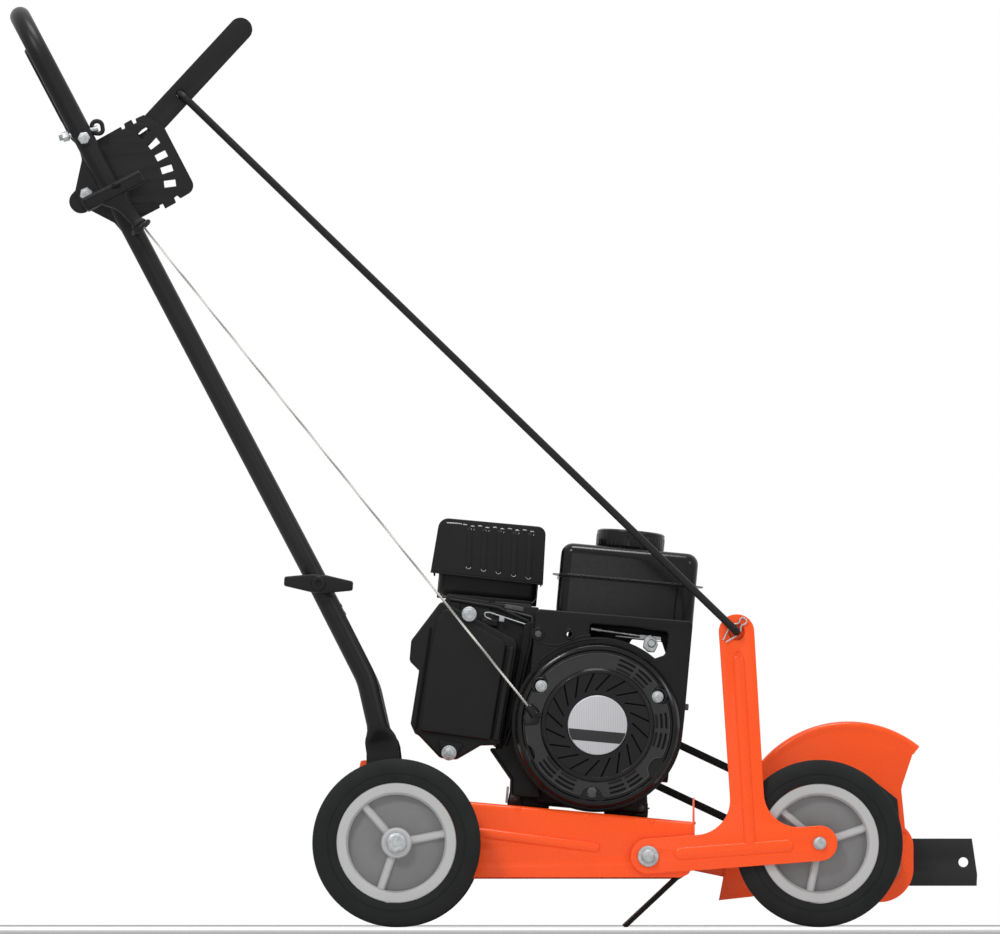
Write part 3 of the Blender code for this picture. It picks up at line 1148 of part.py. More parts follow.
shroud = plate("blower_housing", [shroud_outline(0.0)], RECOIL_SEAT_Y, SHROUD_BACK_Y)
cavity = plate("cavity", [shroud_outline(SHROUD_WALL)], RECOIL_SEAT_Y + SHROUD_WALL, SHROUD_BACK_Y + 5.0)
mouth = pin("mouth", *CRANK_LOCAL, 72.0, RECOIL_SEAT_Y - 4.0, RECOIL_SEAT_Y + SHROUD_WALL + 2.0, 36)
win = plate("win", [slot((23.0, 95.5), 86.0, 17.0, math.radians(2.0), 3)],
            RECOIL_SEAT_Y - 4.0, RECOIL_SEAT_Y + SHROUD_WALL + 2.0)
eyelet = pin("eyelet", -40.7, 92.8, 2.7, RECOIL_SEAT_Y - 4.0, RECOIL_SEAT_Y + SHROUD_WALL + 2.0, 12)
combine(shroud, [cavity, mouth, win, eyelet], "DIFFERENCE")
wing = plate("wing", [rounded([
    (-76.0, 101.0, 0.0), (-90.0, 99.5, 6.0), (WING_TOP_X, 80.0, 4.0), (WING_LOW_X, -36.5, 0.0), (-116.3, -38.0, 2.0),
    (-88.4, -71.5, 3.0), (-87.0, -86.0, 2.0), (-57.0, -86.0, 0.0)], 4)
    + arc(CRANK_LOCAL, RECOIL_R - 0.4, math.radians(229.0), math.radians(152.0), 14)], WING_Y, WING_Y + SHROUD_WALL)
combine(shroud, [wing])
finish(shroud, BLACK, engine)

ry = RECOIL_FACE_Y
sy = RECOIL_SEAT_Y - GAP
recoil = lathe("recoil_cover", [
    (ry, BADGE_R + 1.0), (ry, RECOIL_DISC_R - 2.0), (ry + 1.5, RECOIL_DISC_R), (ry + 5.0, RECOIL_DISC_R + 1.5),
    (ry + 6.5, RECOIL_R - 12.0), (ry + 9.0, RECOIL_R - 3.0), (sy - 3.0, RECOIL_R), (sy, RECOIL_R),
    (sy, RECOIL_R - 13.0), (ry + 9.5, RECOIL_R - 15.0), (ry + 8.0, RECOIL_DISC_R - 2.0),
    (ry + 3.0, RECOIL_DISC_R - 5.0), (ry + 3.0, BADGE_R - 6.0), (ry + 1.2, BADGE_R - 6.0),
    (ry + 1.2, BADGE_R + 1.0)], 44, True, at=CRANK_LOCAL)
cut = bmesh.new()
for i in range(RECOIL_SLOTS):
    a = RECOIL_SLOT_START + 2 * math.pi * i / RECOIL_SLOTS
    m = (Matrix.Translation((CRANK_LOCAL[0] * MM, 0, CRANK_LOCAL[1] * MM))
         @ Matrix.Rotation(-a, 4, "Y") @ Matrix.Translation((RECOIL_SLOT_R * MM, (ry + 2.0) * MM, 0))
         @ Matrix.Rotation(-RECOIL_SLOT_TURN, 4, "Y")
         @ Matrix.Diagonal((RECOIL_SLOT_L * MM, 12.0 * MM, RECOIL_SLOT_W * MM, 1.0)))
    bmesh.ops.create_cube(cut, size=1.0, matrix=m)
slots = mesh_object("slots", cut)
combine(recoil, [slots], "DIFFERENCE")
local_pull = Matrix.Rotation(-TILT, 3, "Y") @ pull
boss = turned("boss", [(-4.0, 0.0), (-4.0, 6.0), (8.4, 6.0), (8.4, 2.2), (5.0, 2.2), (5.0, 0.0)],
              (OUTLET[0], OUTLET_Y, OUTLET[1]), tuple(local_pull), 14)
combine(recoil, [boss])
finish(recoil, PLASTIC, engine)

badge = lathe("recoil_disc", [(ry - 0.8, 0.0), (ry - 0.8, BADGE_R - 1.5), (ry - 0.2, BADGE_R), (ry + 0.9, BADGE_R),
                              (ry + 0.9, 0.0)], 36, at=CRANK_LOCAL)
finish(badge, STEEL, engine)

flywheel = lathe("flywheel", [
    (-98.0, SHAFT_R - 1.2), (-98.0, 30.0), (-90.0, 34.0), (-90.0, 64.0), (-62.0, 64.0), (-62.0, 50.0), (-70.0, 46.0),
    (-70.0, SHAFT_R - 1.2)], 24, True)
fins = bmesh.new()
for i in range(12):
    m = (Matrix.Rotation(-2 * math.pi * i / 12, 4, "Y") @ Matrix.Translation((50.0 * MM, -95.5 * MM, 0))
         @ Matrix.Rotation(-0.35, 4, "Y") @ Matrix.Diagonal((24.0 * MM, 13.0 * MM, 2.4 * MM, 1.0)))
    bmesh.ops.create_cube(fins, size=1.0, matrix=m)
combine(flywheel, [mesh_object("fins", fins)])
finish(flywheel, CAST, crank_pivot)

case = plate("crankcase", [rounded([
    (-60.0, BASE_Z, 0.0), (57.0, BASE_Z, 0.0), (57.0, 30.0, 22.0),
    (30.0, 52.0, 14.0), (-30.0, 52.0, 14.0), (-60.0, 36.0, 14.0)], 5)], SHROUD_BACK_Y + GAP, 48.0)
feet = block("f", -90.5, -46.0, -46.0, 44.0, FOOT_Z, -87.0)
feet2 = block("f", 14.0, 60.0, -46.0, 44.0, FOOT_Z, -87.0)
post = block("p", -42.0, 24.0, -6.0, 44.0, 40.0, TANK_Z0 - GAP)
cover = lathe("cover", [(46.0, 0.0), (46.0, 50.0), (54.0, 47.0), (56.0, 24.0), (64.0, 20.0), (64.0, 0.0)], 32,
              at=CRANK_LOCAL)
combine(case, [feet, feet2, post, cover])
combine(case, [pin("bore", *CRANK_LOCAL, SHAFT_R - 1.5 + 0.4, -60.0, 70.0, 20)], "DIFFERENCE")
finish(case, CAST, engine)

# Finned cylinder lying back from the crankcase
cyl_a = math.radians(152.0)
cd = (math.cos(cyl_a), math.sin(cyl_a))
cn = left_of(cd)
comb = []
fin_count = 7
for i in range(fin_count):
    t = 64.0 + 9.0 * i
    comb += [(t, 30.0), (t, 42.0), (t + 4.0, 42.0), (t + 4.0, 30.0)]
comb = [(62.0, -30.0), (62.0, 30.0)] + comb + [
    (132.0, 30.0), (132.0, 36.0), (158.0, 34.0), (158.0, -34.0), (132.0, -36.0), (132.0, -30.0)]
low = []
for i in range(fin_count):
    t = 64.0 + 9.0 * (fin_count - 1 - i)
    low += [(t + 4.0, -30.0), (t + 4.0, -40.0), (t, -40.0), (t, -30.0)]
comb = comb + low
barrel = plate("cylinder", [[(cd[0] * t + cn[0] * -o, cd[1] * t + cn[1] * -o) for t, o in comb]], -34.0, 44.0)
keep = block("k", -200.0, -60.3, -60.0, 60.0, -80.0, 130.0)
combine(barrel, [keep], "INTERSECT")
combine(barrel, [block("port", -118.0, -100.0, 14.0, 40.0, 80.0, 118.0 - GAP)])
finish(barrel, CAST, engine)

# Muffler under its fluted shield
muff = block("muffler", -186.0, -80.0, -8.0, 60.0, 118.0, 196.0)
softened(muff, 8.0, 3)
finish(muff, DARK, engine)
shield = plate("muffler_shield", [rounded([(-195.5, 147.0, 0.0), (-191.0, 205.3, 11.0), (-76.2, 205.3, 9.0), (-74.0, 144.0, 0.0)], 5)],
               -22.0, 68.0)
inner_s = plate("i", [rounded([(-194.2, 120.0, 0.0), (-189.4, 203.5, 9.5), (-77.8, 203.5, 7.5), (-75.4, 120.0, 0.0)], 5)],
                -20.3, 66.3)
combine(shield, [inner_s], "DIFFERENCE")
for i in range(5):
    combine(shield, [bead("b", -153.6 + 16.1 * i, 153.5 - 1.0 * i, -156.0 + 16.1 * i, 196.0, 8.0, -22.0, 2.4)])
stay = block("stay", -140.0, -124.0, -21.0, -8.3, 184.0, 200.0)
combine(shield, [stay])
finish(shield, BLACK, engine)

# Fuel tank with its welded seam, and its cap
tank = block("fuel_tank", TANK_X0, TANK_X1, TANK_Y0, TANK_Y1, TANK_Z0, TANK_Z1)
softened(tank, TANK_CORNER, 3)
seam_x0, seam_x1 = TANK_X0 - TANK_SEAM_OUT, TANK_X1 + TANK_SEAM_OUT
seam_y0, seam_y1 = TANK_Y0 - TANK_SEAM_OUT, TANK_Y1 + TANK_SEAM_OUT
seam = plate("seam", [rounded([(seam_x0, seam_y0, 18.0), (seam_x1, seam_y0, 18.0),
                               (seam_x1, seam_y1, 18.0), (seam_x0, seam_y1, 18.0)], 5)],
             -TANK_SEAM_T / 2, TANK_SEAM_T / 2)
seam.data.transform(Matrix.Translation((0, 0, TANK_SEAM_Z * MM)) @ Matrix.Rotation(math.radians(-90), 4, "X"))
spout = turned("spout", [(TANK_Z1 - 3.0, 0.0), (TANK_Z1 - 3.0, 24.0), (TANK_Z1 + 8.0, 24.0), (TANK_Z1 + 8.0, 0.0)],
               (CAP_X, CAP_Y, 0.0), (0, 0, 1), 28)
combine(tank, [seam, spout])
finish(tank, PLASTIC, engine)

cap_pivot = empty("fuel_cap_pivot", (CAP_X, CAP_Y, TANK_Z1), engine)
cap = turned("fuel_cap", [
    (CAP_H + 2.4, 0.0), (CAP_H + 2.0, CAP_R * 0.5), (CAP_H, CAP_R - 3.0), (CAP_H - 3.0, CAP_R), (GAP, CAP_R),
    (GAP, 24.0 + RUN), (8.0 + GAP, 24.0 + RUN), (8.0 + GAP, 0.0)], (0, 0, 0), (0, 0, 1), 28)
finish(cap, PLASTIC, cap_pivot)

# Air filter and carburettor
FILTER_BOLT_AT = (-157.4, -47.6)
TOP_BOLT_AT = (-149.5, 101.3)
af = rounded([
    (-180.2, 113.7, 5.0), (-208.6, 68.2, 6.0), (-208.5, 46.8, 5.0), (-197.3, 37.4, 3.0), (-201.2, -20.1, 4.0),
    (-196.0, -29.5, 3.0), (-191.4, -31.6, 0.0), (-167.0, -53.0, 6.0), (-148.5, -53.0, 6.0), (-124.6, -36.0, 4.0),
    (-103.6, -33.6, 5.0), (-94.6, 77.5, 8.0)], 3)
cover_f = plate("air_filter_cover", [af], -98.0, -62.0)
softened(cover_f, 3.0, 1, 50.0)
hollow = plate("h", [[(-180.0, 100.0), (-200.0, 64.0), (-192.0, 40.0), (-194.0, -18.0), (-172.0, -36.0),
                      (-128.0, -27.0), (-120.0, 60.0)]], -93.0, -60.0)
combine(cover_f, [hollow, pin("hole", *FILTER_BOLT_AT, 3.4, -105.0, -60.0),
                  pin("notch", *TOP_BOLT_AT, 3.6, -105.0, -55.0)], "DIFFERENCE")
finish(cover_f, PLASTIC, engine)
base_f = plate("air_filter_base", [rounded([
    (-176.0, 96.0, 5.0), (-200.0, 66.0, 6.0), (-192.0, 40.0, 5.0), (-194.0, -16.0, 4.0), (-167.0, -53.0, 6.0),
    (-148.5, -53.0, 6.0), (-126.0, -30.0, 4.0), (-118.0, 60.0, 6.0)], 4)], -61.7, -50.0)
combine(base_f, [pin("hole", *FILTER_BOLT_AT, 3.4, -65.0, -45.0)], "DIFFERENCE")
finish(base_f, PLASTIC, engine)
knob_pivot = empty("filter_knob_pivot", (FILTER_BOLT_AT[0], 0.0, FILTER_BOLT_AT[1]), engine)
knob = lathe("filter_knob", [(-104.0, 0.0), (-104.0, 7.4), (-103.0, 8.0), (-98.3, 8.0), (-98.3, 3.0), (-52.0, 3.0),
                             (-52.0, 0.0)], 16)
finish(knob, STEEL, knob_pivot)

carb = block("carburettor", -150.0, -112.0, -49.6, -34.4, 20.0, 66.0)
throat = block("t", -158.0, -126.0, -49.6, -37.0, 60.0, 112.0)
disc_s = lathe("d", [(-104.0, 0.0), (-104.0, 7.4), (-103.0, 8.0), (-98.3, 8.0), (-98.3, 3.0), (-48.0, 3.0),
                     (-48.0, 0.0)], 20, at=TOP_BOLT_AT)
heat_plate = block("h", -178.0, -80.5, -49.6, -46.6, 86.0, 117.4)
combine(carb, [throat, disc_s, heat_plate])
finish(carb, CAST, engine)
gov = tube("governor_rod", bent_path([
    (-122.0, -51.2, 106.0), (-132.0, -51.2, 108.5, 3.0), (-134.0, -51.2, 113.5, 1.6),
    (-126.0, -51.2, 113.0, 3.0), (-82.0, -51.2, 106.5, 3.0), (-81.0, -51.2, 60.0)], 4), 1.3, 1)
finish(gov, STEEL, engine)
plug = turned("spark_plug", [(0.0, 0.0), (0.0, 7.0), (10.0, 7.0), (12.0, 5.0), (26.0, 5.0), (26.0, 9.0),
                             (50.0, 8.0), (52.0, 6.0), (52.0, 0.0)],
              (cd[0] * 158.4, 5.0, cd[1] * 158.4), (cd[0], 0.0, cd[1]), 16)
finish(plug, PLASTIC, engine)
oil = turned("oil_cap", [(0.0, 0.0), (0.0, 11.0), (14.0, 11.0), (14.0, 15.0), (22.0, 15.0), (22.0, 0.0)],
             (57.4, 20.0, -40.0), (1, 0, 0), 20)
finish(oil, PLASTIC, engine)
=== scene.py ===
"""Walk-behind lawn edger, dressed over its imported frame. Metres, +X forward, +Z up."""
import math

import bmesh
import bpy
from bpy.props import FloatProperty, FloatVectorProperty, IntProperty, PointerProperty
from mathutils import Matrix, Vector


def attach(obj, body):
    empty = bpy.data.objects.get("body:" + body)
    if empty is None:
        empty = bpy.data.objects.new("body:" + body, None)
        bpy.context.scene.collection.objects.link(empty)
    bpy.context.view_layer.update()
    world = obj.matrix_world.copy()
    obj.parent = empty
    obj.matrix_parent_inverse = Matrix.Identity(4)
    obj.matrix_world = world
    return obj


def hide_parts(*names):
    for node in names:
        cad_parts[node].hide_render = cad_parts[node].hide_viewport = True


bl_info = {
    "name": "Lawn edger",
    "version": (1, 0, 0),
    "blender": (4, 5, 0),
    "location": "View3D > Sidebar > Edger",
    "description": "Builds a walk-behind lawn edger, its finishes and its studio",
    "category": "Object",
}

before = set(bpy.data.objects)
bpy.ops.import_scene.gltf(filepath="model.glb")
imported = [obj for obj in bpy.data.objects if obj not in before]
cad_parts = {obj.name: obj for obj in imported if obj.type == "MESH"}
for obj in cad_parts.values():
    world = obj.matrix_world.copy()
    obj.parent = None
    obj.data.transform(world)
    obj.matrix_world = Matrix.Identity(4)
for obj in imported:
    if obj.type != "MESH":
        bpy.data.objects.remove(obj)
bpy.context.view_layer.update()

MM = 0.001
AXLE_X = -105.4
TILT = math.radians(5.2)
AXLE_Z = 89.0 * math.cos(math.pi / 40)
ENGINE_AT = (216.0, 218.1)
CRANK_LOCAL = (-3.2, -4.7)
SPINDLE = (514.6, 70.7)
ARM_PIVOT = (265.9, 75.0)
FRONT_AXLE = (447.5, AXLE_Z)
ARM_TOP = (359.9, 312.5)
LEVER_PIVOT = (-332.7, 782.1)
LEVER_ANGLE = math.radians(47.4)
HANDLE_TOP = (-407.2, 978.0)
KNOB_AT = (-83.0, 363.1)

REAR_WHEEL_Y = 161.0
FRONT_WHEEL_Y = -106.0
LEG_Y = 126.0
HANDLE_Y = 103.0
AXLE_AT = (0.0, AXLE_Z)
AXLE_HOLE_R = 6.3
PIVOT_PLAY_R = 8.4
MIRROR = Matrix.Scale(-1, 4, (0, 1, 0))


def shift(x, y, z):
    return Matrix.Translation((x * MM, y * MM, z * MM))


def spin(angle, axis="Y"):
    return Matrix.Rotation(angle, 4, axis)


# Place of the plain frame, counted from the rear axle in mm, and of the engine's own frame
PLAIN = shift(AXLE_X, 0.0, 0.0)
ENGINE = PLAIN @ shift(ENGINE_AT[0], 0.0, ENGINE_AT[1]) @ spin(TILT)
AT_CRANK = shift(CRANK_LOCAL[0], 0.0, CRANK_LOCAL[1])
ON_CRANK = ENGINE @ AT_CRANK


def from_engine(x, z):
    return (ENGINE_AT[0] + x * math.cos(TILT) + z * math.sin(TILT),
            ENGINE_AT[1] - x * math.sin(TILT) + z * math.cos(TILT))


CRANK = from_engine(*CRANK_LOCAL)


# Colours and materials

def linear(hex_colour):
    """Linear RGBA from an sRGB hex string."""
    out = []
    for i in (1, 3, 5):
        c = int(hex_colour[i:i + 2], 16) / 255
        out.append(c / 12.92 if c <= 0.04045 else ((c + 0.055) / 1.055) ** 2.4)
    return (*out, 1.0)


def node(mat, kind, settings=None, inputs=None, links=None):
    """Add one shader node, set its properties and sockets, and link others into it."""
    made = mat.node_tree.nodes.new(kind)
    for key, value in (settings or {}).items():
        setattr(made, key, value)
    for key, value in (inputs or {}).items():
        made.inputs[key].default_value = value
    for key, source in (links or {}).items():
        mat.node_tree.links.new(source, made.inputs[key])
    return made


def surface(name, base, roughness, metallic=0.0, specular=0.5, coat=0.0, grain_mm=1.0, bump_mm=0.0,
            tint=None, blotch_mm=60.0, rough_to=None, edge_wear_and_highlight=None, detail=4.0):
    """A Principled finish: colour drift between two tones, roughness drift, grain in the bump, and convex
    edges lightened partly as wear and partly as a painted highlight.
    """
    mat = bpy.data.materials.new(name)
    mat.use_nodes = True
    tree = mat.node_tree
    shader = tree.nodes["Principled BSDF"]
    shader.inputs["Metallic"].default_value = metallic
    shader.inputs["Specular IOR Level"].default_value = specular
    shader.inputs["Coat Weight"].default_value = coat
    shader.inputs["Coat Roughness"].default_value = 0.12
    where = node(mat, "ShaderNodeTexCoord").outputs["Object"]
    drift = node(mat, "ShaderNodeTexNoise", None, {"Scale": 1000.0 / blotch_mm, "Detail": 3.0},
                 {"Vector": where})
    fine = node(mat, "ShaderNodeTexNoise", None, {"Scale": 1000.0 / grain_mm, "Detail": detail},
                {"Vector": where})
    tone = node(mat, "ShaderNodeMapRange", None, {"From Min": 0.35, "From Max": 0.65},
                {"Value": drift.outputs["Fac"]})
    colour = node(mat, "ShaderNodeMix", {"data_type": "RGBA"}, {6: linear(base), 7: linear(tint or base)},
                  {0: tone.outputs[0]}).outputs[2]
    # Convex edges lightened by pointiness: partly edge wear, partly a painted highlight along every edge
    if edge_wear_and_highlight:
        edge = node(mat, "ShaderNodeNewGeometry").outputs["Pointiness"]
        edge_wear_and_highlight_mask = node(mat, "ShaderNodeMapRange", None, {"From Min": 0.56, "From Max": 0.72, "To Max": 0.55},
                   {"Value": edge})
        colour = node(mat, "ShaderNodeMix", {"data_type": "RGBA"}, {7: linear(edge_wear_and_highlight)},
                      {0: edge_wear_and_highlight_mask.outputs[0], 6: colour}).outputs[2]
    tree.links.new(colour, shader.inputs["Base Color"])
    rough = node(mat, "ShaderNodeMapRange", None,
                 {"From Min": 0.3, "From Max": 0.7, "To Min": roughness,
                  "To Max": rough_to or roughness + 0.08}, {"Value": fine.outputs["Fac"]})
    tree.links.new(rough.outputs[0], shader.inputs["Roughness"])
    if bump_mm:
        bump = node(mat, "ShaderNodeBump", None, {"Strength": 0.6, "Distance": bump_mm * MM},
                    {"Height": fine.outputs["Fac"]})
        tree.links.new(bump.outputs["Normal"], shader.inputs["Normal"])
    return mat


def banded(name, base, other, roughness, lay_mm, bump_mm, axis="Z", metallic=0.0, specular=0.5):
    """A finish with fine straight lines across it, as from brushing, twisting or laying."""
    mat = surface(name, base, roughness, metallic, specular, tint=other, grain_mm=0.6)
    tree = mat.node_tree
    shader = tree.nodes["Principled BSDF"]
    where = node(mat, "ShaderNodeTexCoord").outputs["Object"]
    lines = node(mat, "ShaderNodeTexWave", {"wave_type": "BANDS", "bands_direction": axis},
                 {"Scale": 1000.0 / lay_mm / 20.0 * math.pi, "Distortion": 0.6, "Detail": 1.0},
                 {"Vector": where})
    mix = node(mat, "ShaderNodeMix", {"data_type": "RGBA"}, {6: linear(base), 7: linear(other)},
               {0: lines.outputs["Fac"]})
    tree.links.new(mix.outputs[2], shader.inputs["Base Color"])
    bump = node(mat, "ShaderNodeBump", None, {"Strength": 0.7, "Distance": bump_mm * MM},
                {"Height": lines.outputs["Fac"]})
    tree.links.new(bump.outputs["Normal"], shader.inputs["Normal"])
    return mat


FINISH = {}


def make_finishes(looks):
    # Where a finish below gives an edge colour, it lies on convex edges through the pointiness mask: a
    # painted edge highlight that also stands for wear; on the blade it is the real ground edge
    # Polyester powder coat, sprayed and baked: even strong colour with a faint orange-peel skin
    FINISH["orange"] = surface("powder coat orange", looks.orange_hex, 0.24, specular=0.26, grain_mm=1.6,
                               bump_mm=0.015, tint="#F8531B", blotch_mm=140.0, edge_wear_and_highlight="#FF7A45")
    # The same coat in black on tube and plate: deep satin with one soft bright line along each bend
    FINISH["black coat"] = surface("powder coat black", "#181818", 0.34, specular=0.16, grain_mm=1.4,
                                   bump_mm=0.012, tint="#1B1B1B", blotch_mm=120.0, edge_wear_and_highlight="#333333")
    # Pressed steel engine covers, dipped and stoved: slightly flatter than the tubes
    FINISH["stoved steel"] = surface("stoved black steel", "#141414", 0.4, specular=0.13, grain_mm=1.0,
                                     bump_mm=0.012, tint="#171717", blotch_mm=90.0, edge_wear_and_highlight="#2B2B2B")
    # Moulded polypropylene from a polished tool: near-black with crisp lights on its rounded corners
    FINISH["gloss moulding"] = surface(
        "moulded black polypropylene", "#101010", 0.15, specular=0.2, grain_mm=4.0, bump_mm=0.004,
        tint="#121212", blotch_mm=80.0, edge_wear_and_highlight="#242424")
    # Glass-filled nylon from a spark-eroded tool: fine grain that breaks the highlight up
    FINISH["grained moulding"] = surface(
        "grained black nylon", "#151515", 0.42, specular=0.15, grain_mm=0.8, bump_mm=0.03, tint="#181818",
        blotch_mm=70.0, edge_wear_and_highlight="#2A2A2A")
    # High-temperature aluminium-silicone paint on the exhaust: flat neutral black
    FINISH["heat paint"] = surface(
        "high temperature black paint", "#151515", 0.38, specular=0.16, grain_mm=0.7, bump_mm=0.02,
        tint="#191919", blotch_mm=50.0, edge_wear_and_highlight="#343434")
    # Bright steel grey: painted highlights on the shield's flute ends and along its top hem, and the bare
    # steel of the governor rod end
    FINISH["bright steel and painted highlight"] = surface("bright steel with painted highlights", "#B9B9B9", 0.34, metallic=0.5, grain_mm=0.9,
                                    bump_mm=0.01, tint="#8E8E8E", blotch_mm=4.0)
    # Solid tyre compound, moulded and dusted in use: dead matt with a fine pore
    FINISH["tyre"] = surface("tyre rubber", "#1B1C1C", 0.8, specular=0.18, grain_mm=0.9, bump_mm=0.06,
                             tint="#1F2020", blotch_mm=30.0)
    # Moulded flap and skirt rubber, matt
    FINISH["rubber"] = surface("sheet rubber", "#1B1B1B", 0.68, specular=0.2, grain_mm=1.2, bump_mm=0.06,
                               tint="#202020", blotch_mm=40.0)
    # Unpainted grey polypropylene wheel centre, injection moulded: soft satin, paler at the edges
    FINISH["hub grey"] = surface(
        "moulded grey polypropylene", "#ADADAD", 0.44, specular=0.3, grain_mm=1.2, bump_mm=0.02,
        tint="#B3B3B3", blotch_mm=60.0, edge_wear_and_highlight="#CCCCCC")
    # The same grey polypropylene a shade darker on the dished disc between rim and boss: painted shade in the
    # recess
    FINISH["hub web painted shade"] = surface("grey polypropylene web darkened as painted shade", "#727272", 0.5, specular=0.25,
                                grain_mm=1.2, bump_mm=0.02, tint="#797979", blotch_mm=45.0)
    # Zinc plate on steel fasteners, barrel plated: mid grey with a cloudy sheen
    FINISH["zinc"] = surface("zinc plated steel", "#B2B5B6", 0.42, metallic=0.6, grain_mm=0.9,
                             bump_mm=0.02, tint="#969A9C", blotch_mm=5.0, rough_to=0.56, edge_wear_and_highlight="#D2D4D4")
    # Raised band of the starter cover, lightly frosted in the tool so that it reads a shade paler
    FINISH["satin moulding"] = surface(
        "frosted black polypropylene", "#1C1C1C", 0.3, specular=0.3, grain_mm=1.6, bump_mm=0.01,
        tint="#202020", blotch_mm=40.0, edge_wear_and_highlight="#3A3A3A")
    # Paler grey lines standing for light on the starter's edges: painted highlights round its raised band and
    # on the upper left of its inner rim
    FINISH["painted highlight moulding"] = surface("painted highlight moulding edge", "#4A4A4A", 0.3, specular=0.4,
                                      grain_mm=2.0, bump_mm=0.004, tint="#2A2A2A", blotch_mm=12.0)
    # Phosphated bolts and castings that read dark grey between the covers
    FINISH["dark bolt"] = surface("phosphated steel", "#3A3B3B", 0.45, metallic=0.4, grain_mm=0.8,
                                  bump_mm=0.02, tint="#4A4B4B", blotch_mm=4.0, edge_wear_and_highlight="#7C7C7C")
    # Die-cast aluminium alloy, shot blasted
    FINISH["cast"] = surface("die cast aluminium", "#77797A", 0.5, metallic=0.6, grain_mm=0.7,
                             bump_mm=0.08, tint="#6A6C6D", blotch_mm=25.0, rough_to=0.66)
    FINISH["dark cast"] = surface("painted die casting", "#171717", 0.52, specular=0.2, grain_mm=0.7,
                                  bump_mm=0.05, tint="#1D1D1D", blotch_mm=30.0, edge_wear_and_highlight="#303030")
    # Flat near-black taking no light: painted shadow in the starter's slots and vents, the tank's creases,
    # the filter cover's grooves and the grip's mouth; also the reel behind the slots and the knob studs
    FINISH["reel black and painted shadow"] = surface("acetal reel and painted shadow", "#090909", 0.6, specular=0.1, grain_mm=1.0,
                                   bump_mm=0.02, tint="#0C0C0C", blotch_mm=30.0)
    # Hardened steel blade under a thin black primer, ground bright along its edges
    FINISH["blade"] = surface("black primed steel", "#1B1B1B", 0.42, specular=0.24, grain_mm=1.1,
                              bump_mm=0.02, tint="#202020", blotch_mm=70.0, edge_wear_and_highlight="#4A4A4A")
    # Wrapped V-belt, woven cover filled with rubber; its 1.5 mm cloth lines are drawn as coarse as they show
    FINISH["belt"] = banded("wrapped belt rubber", "#0E0E0E", "#161616", 0.62, 2.2, 0.08, "DIAGONAL",
                            specular=0.15)
    # Braided polyester starter cord, 3 mm: light strands with a darker fleck
    FINISH["cord"] = banded("braided polyester cord", "#D4D4D1", "#8F8F8D", 0.7, 2.4, 0.25, "DIAGONAL",
                            specular=0.3)
    # Anodised aluminium disc, brushed across; the real 0.2 mm lines are drawn 1.2 mm apart so that they show
    FINISH["badge"] = banded("brushed anodised aluminium", "#B4B4B7", "#A8A8AC", 0.34, 1.2, 0.01, "X",
                             metallic=0.35)
    FINISH["badge band"] = surface("black anodised aluminium", "#1C1C1E", 0.36, metallic=0.3,
                                   grain_mm=0.8, bump_mm=0.01, tint="#222224", blotch_mm=20.0)
    # Turned and ground shafts
    FINISH["ground steel"] = banded("ground steel", "#A9ABAC", "#8D8F90", 0.3, 0.9, 0.02, "Z", metallic=0.9)


# Shapes. Every piece is drawn in mm in its own frame and then placed

def unit(p, q):
    length = math.hypot(q[0] - p[0], q[1] - p[1])
    return ((q[0] - p[0]) / length, (q[1] - p[1]) / length)


def along(p, d, t):
    return (p[0] + d[0] * t, p[1] + d[1] * t)


def left_of(d):
    return (-d[1], d[0])


def meet(p, d, q, e):
    det = d[0] * e[1] - d[1] * e[0]
    return along(p, d, ((q[0] - p[0]) * e[1] - (q[1] - p[1]) * e[0]) / det)


def circle(c, r, n=48, start=0.0):
    return [(c[0] + r * math.cos(start + 2 * math.pi * i / n),
             c[1] + r * math.sin(start + 2 * math.pi * i / n)) for i in range(n)]


def arc(c, r, a0, a1, n):
    return [(c[0] + r * math.cos(a0 + (a1 - a0) * i / n), c[1] + r * math.sin(a0 + (a1 - a0) * i / n))
            for i in range(n + 1)]


def rounded(corners, steps=8, closed=True):
    """Outline through corners (x, z, radius), each turned by an arc."""
    out = []
    count = len(corners)
    for i, corner in enumerate(corners):
        p = (corner[0], corner[1])
        r = corner[2] if len(corner) > 2 else 0.0
        if r <= 0.0 or (not closed and i in (0, count - 1)):
            out.append(p)
            continue
        before = corners[i - 1]
        after = corners[(i + 1) % count]
        d0 = unit(p, before)
        d1 = unit(p, after)
        half = math.acos(max(-1.0, min(1.0, d0[0] * d1[0] + d0[1] * d1[1]))) / 2
        reach = r / math.tan(half)
        limit = 0.499 * min(math.dist(p, before[:2]), math.dist(p, after[:2]))
        if reach > limit:
            reach = limit
            r = reach * math.tan(half)
        mid = unit((0, 0), (d0[0] + d1[0], d0[1] + d1[1]))
        c = along(p, mid, r / math.sin(half))
        start = along(p, d0, reach)
        end = along(p, d1, reach)
        a0 = math.atan2(start[1] - c[1], start[0] - c[0])
        a1 = math.atan2(end[1] - c[1], end[0] - c[0])
        turn = (a1 - a0 + math.pi) % (2 * math.pi) - math.pi
        out += arc(c, r, a0, a0 + turn, steps)
    return out


def slot(c, length, width, angle, round_off=0.499, steps=6):
    d = (math.cos(angle), math.sin(angle))
    n = left_of(d)
    ends = []
    for a, b in ((-1, -1), (1, -1), (1, 1), (-1, 1)):
        ends.append((*along(along(c, d, a * length / 2), n, b * width / 2), width * round_off))
    return rounded(ends, steps)


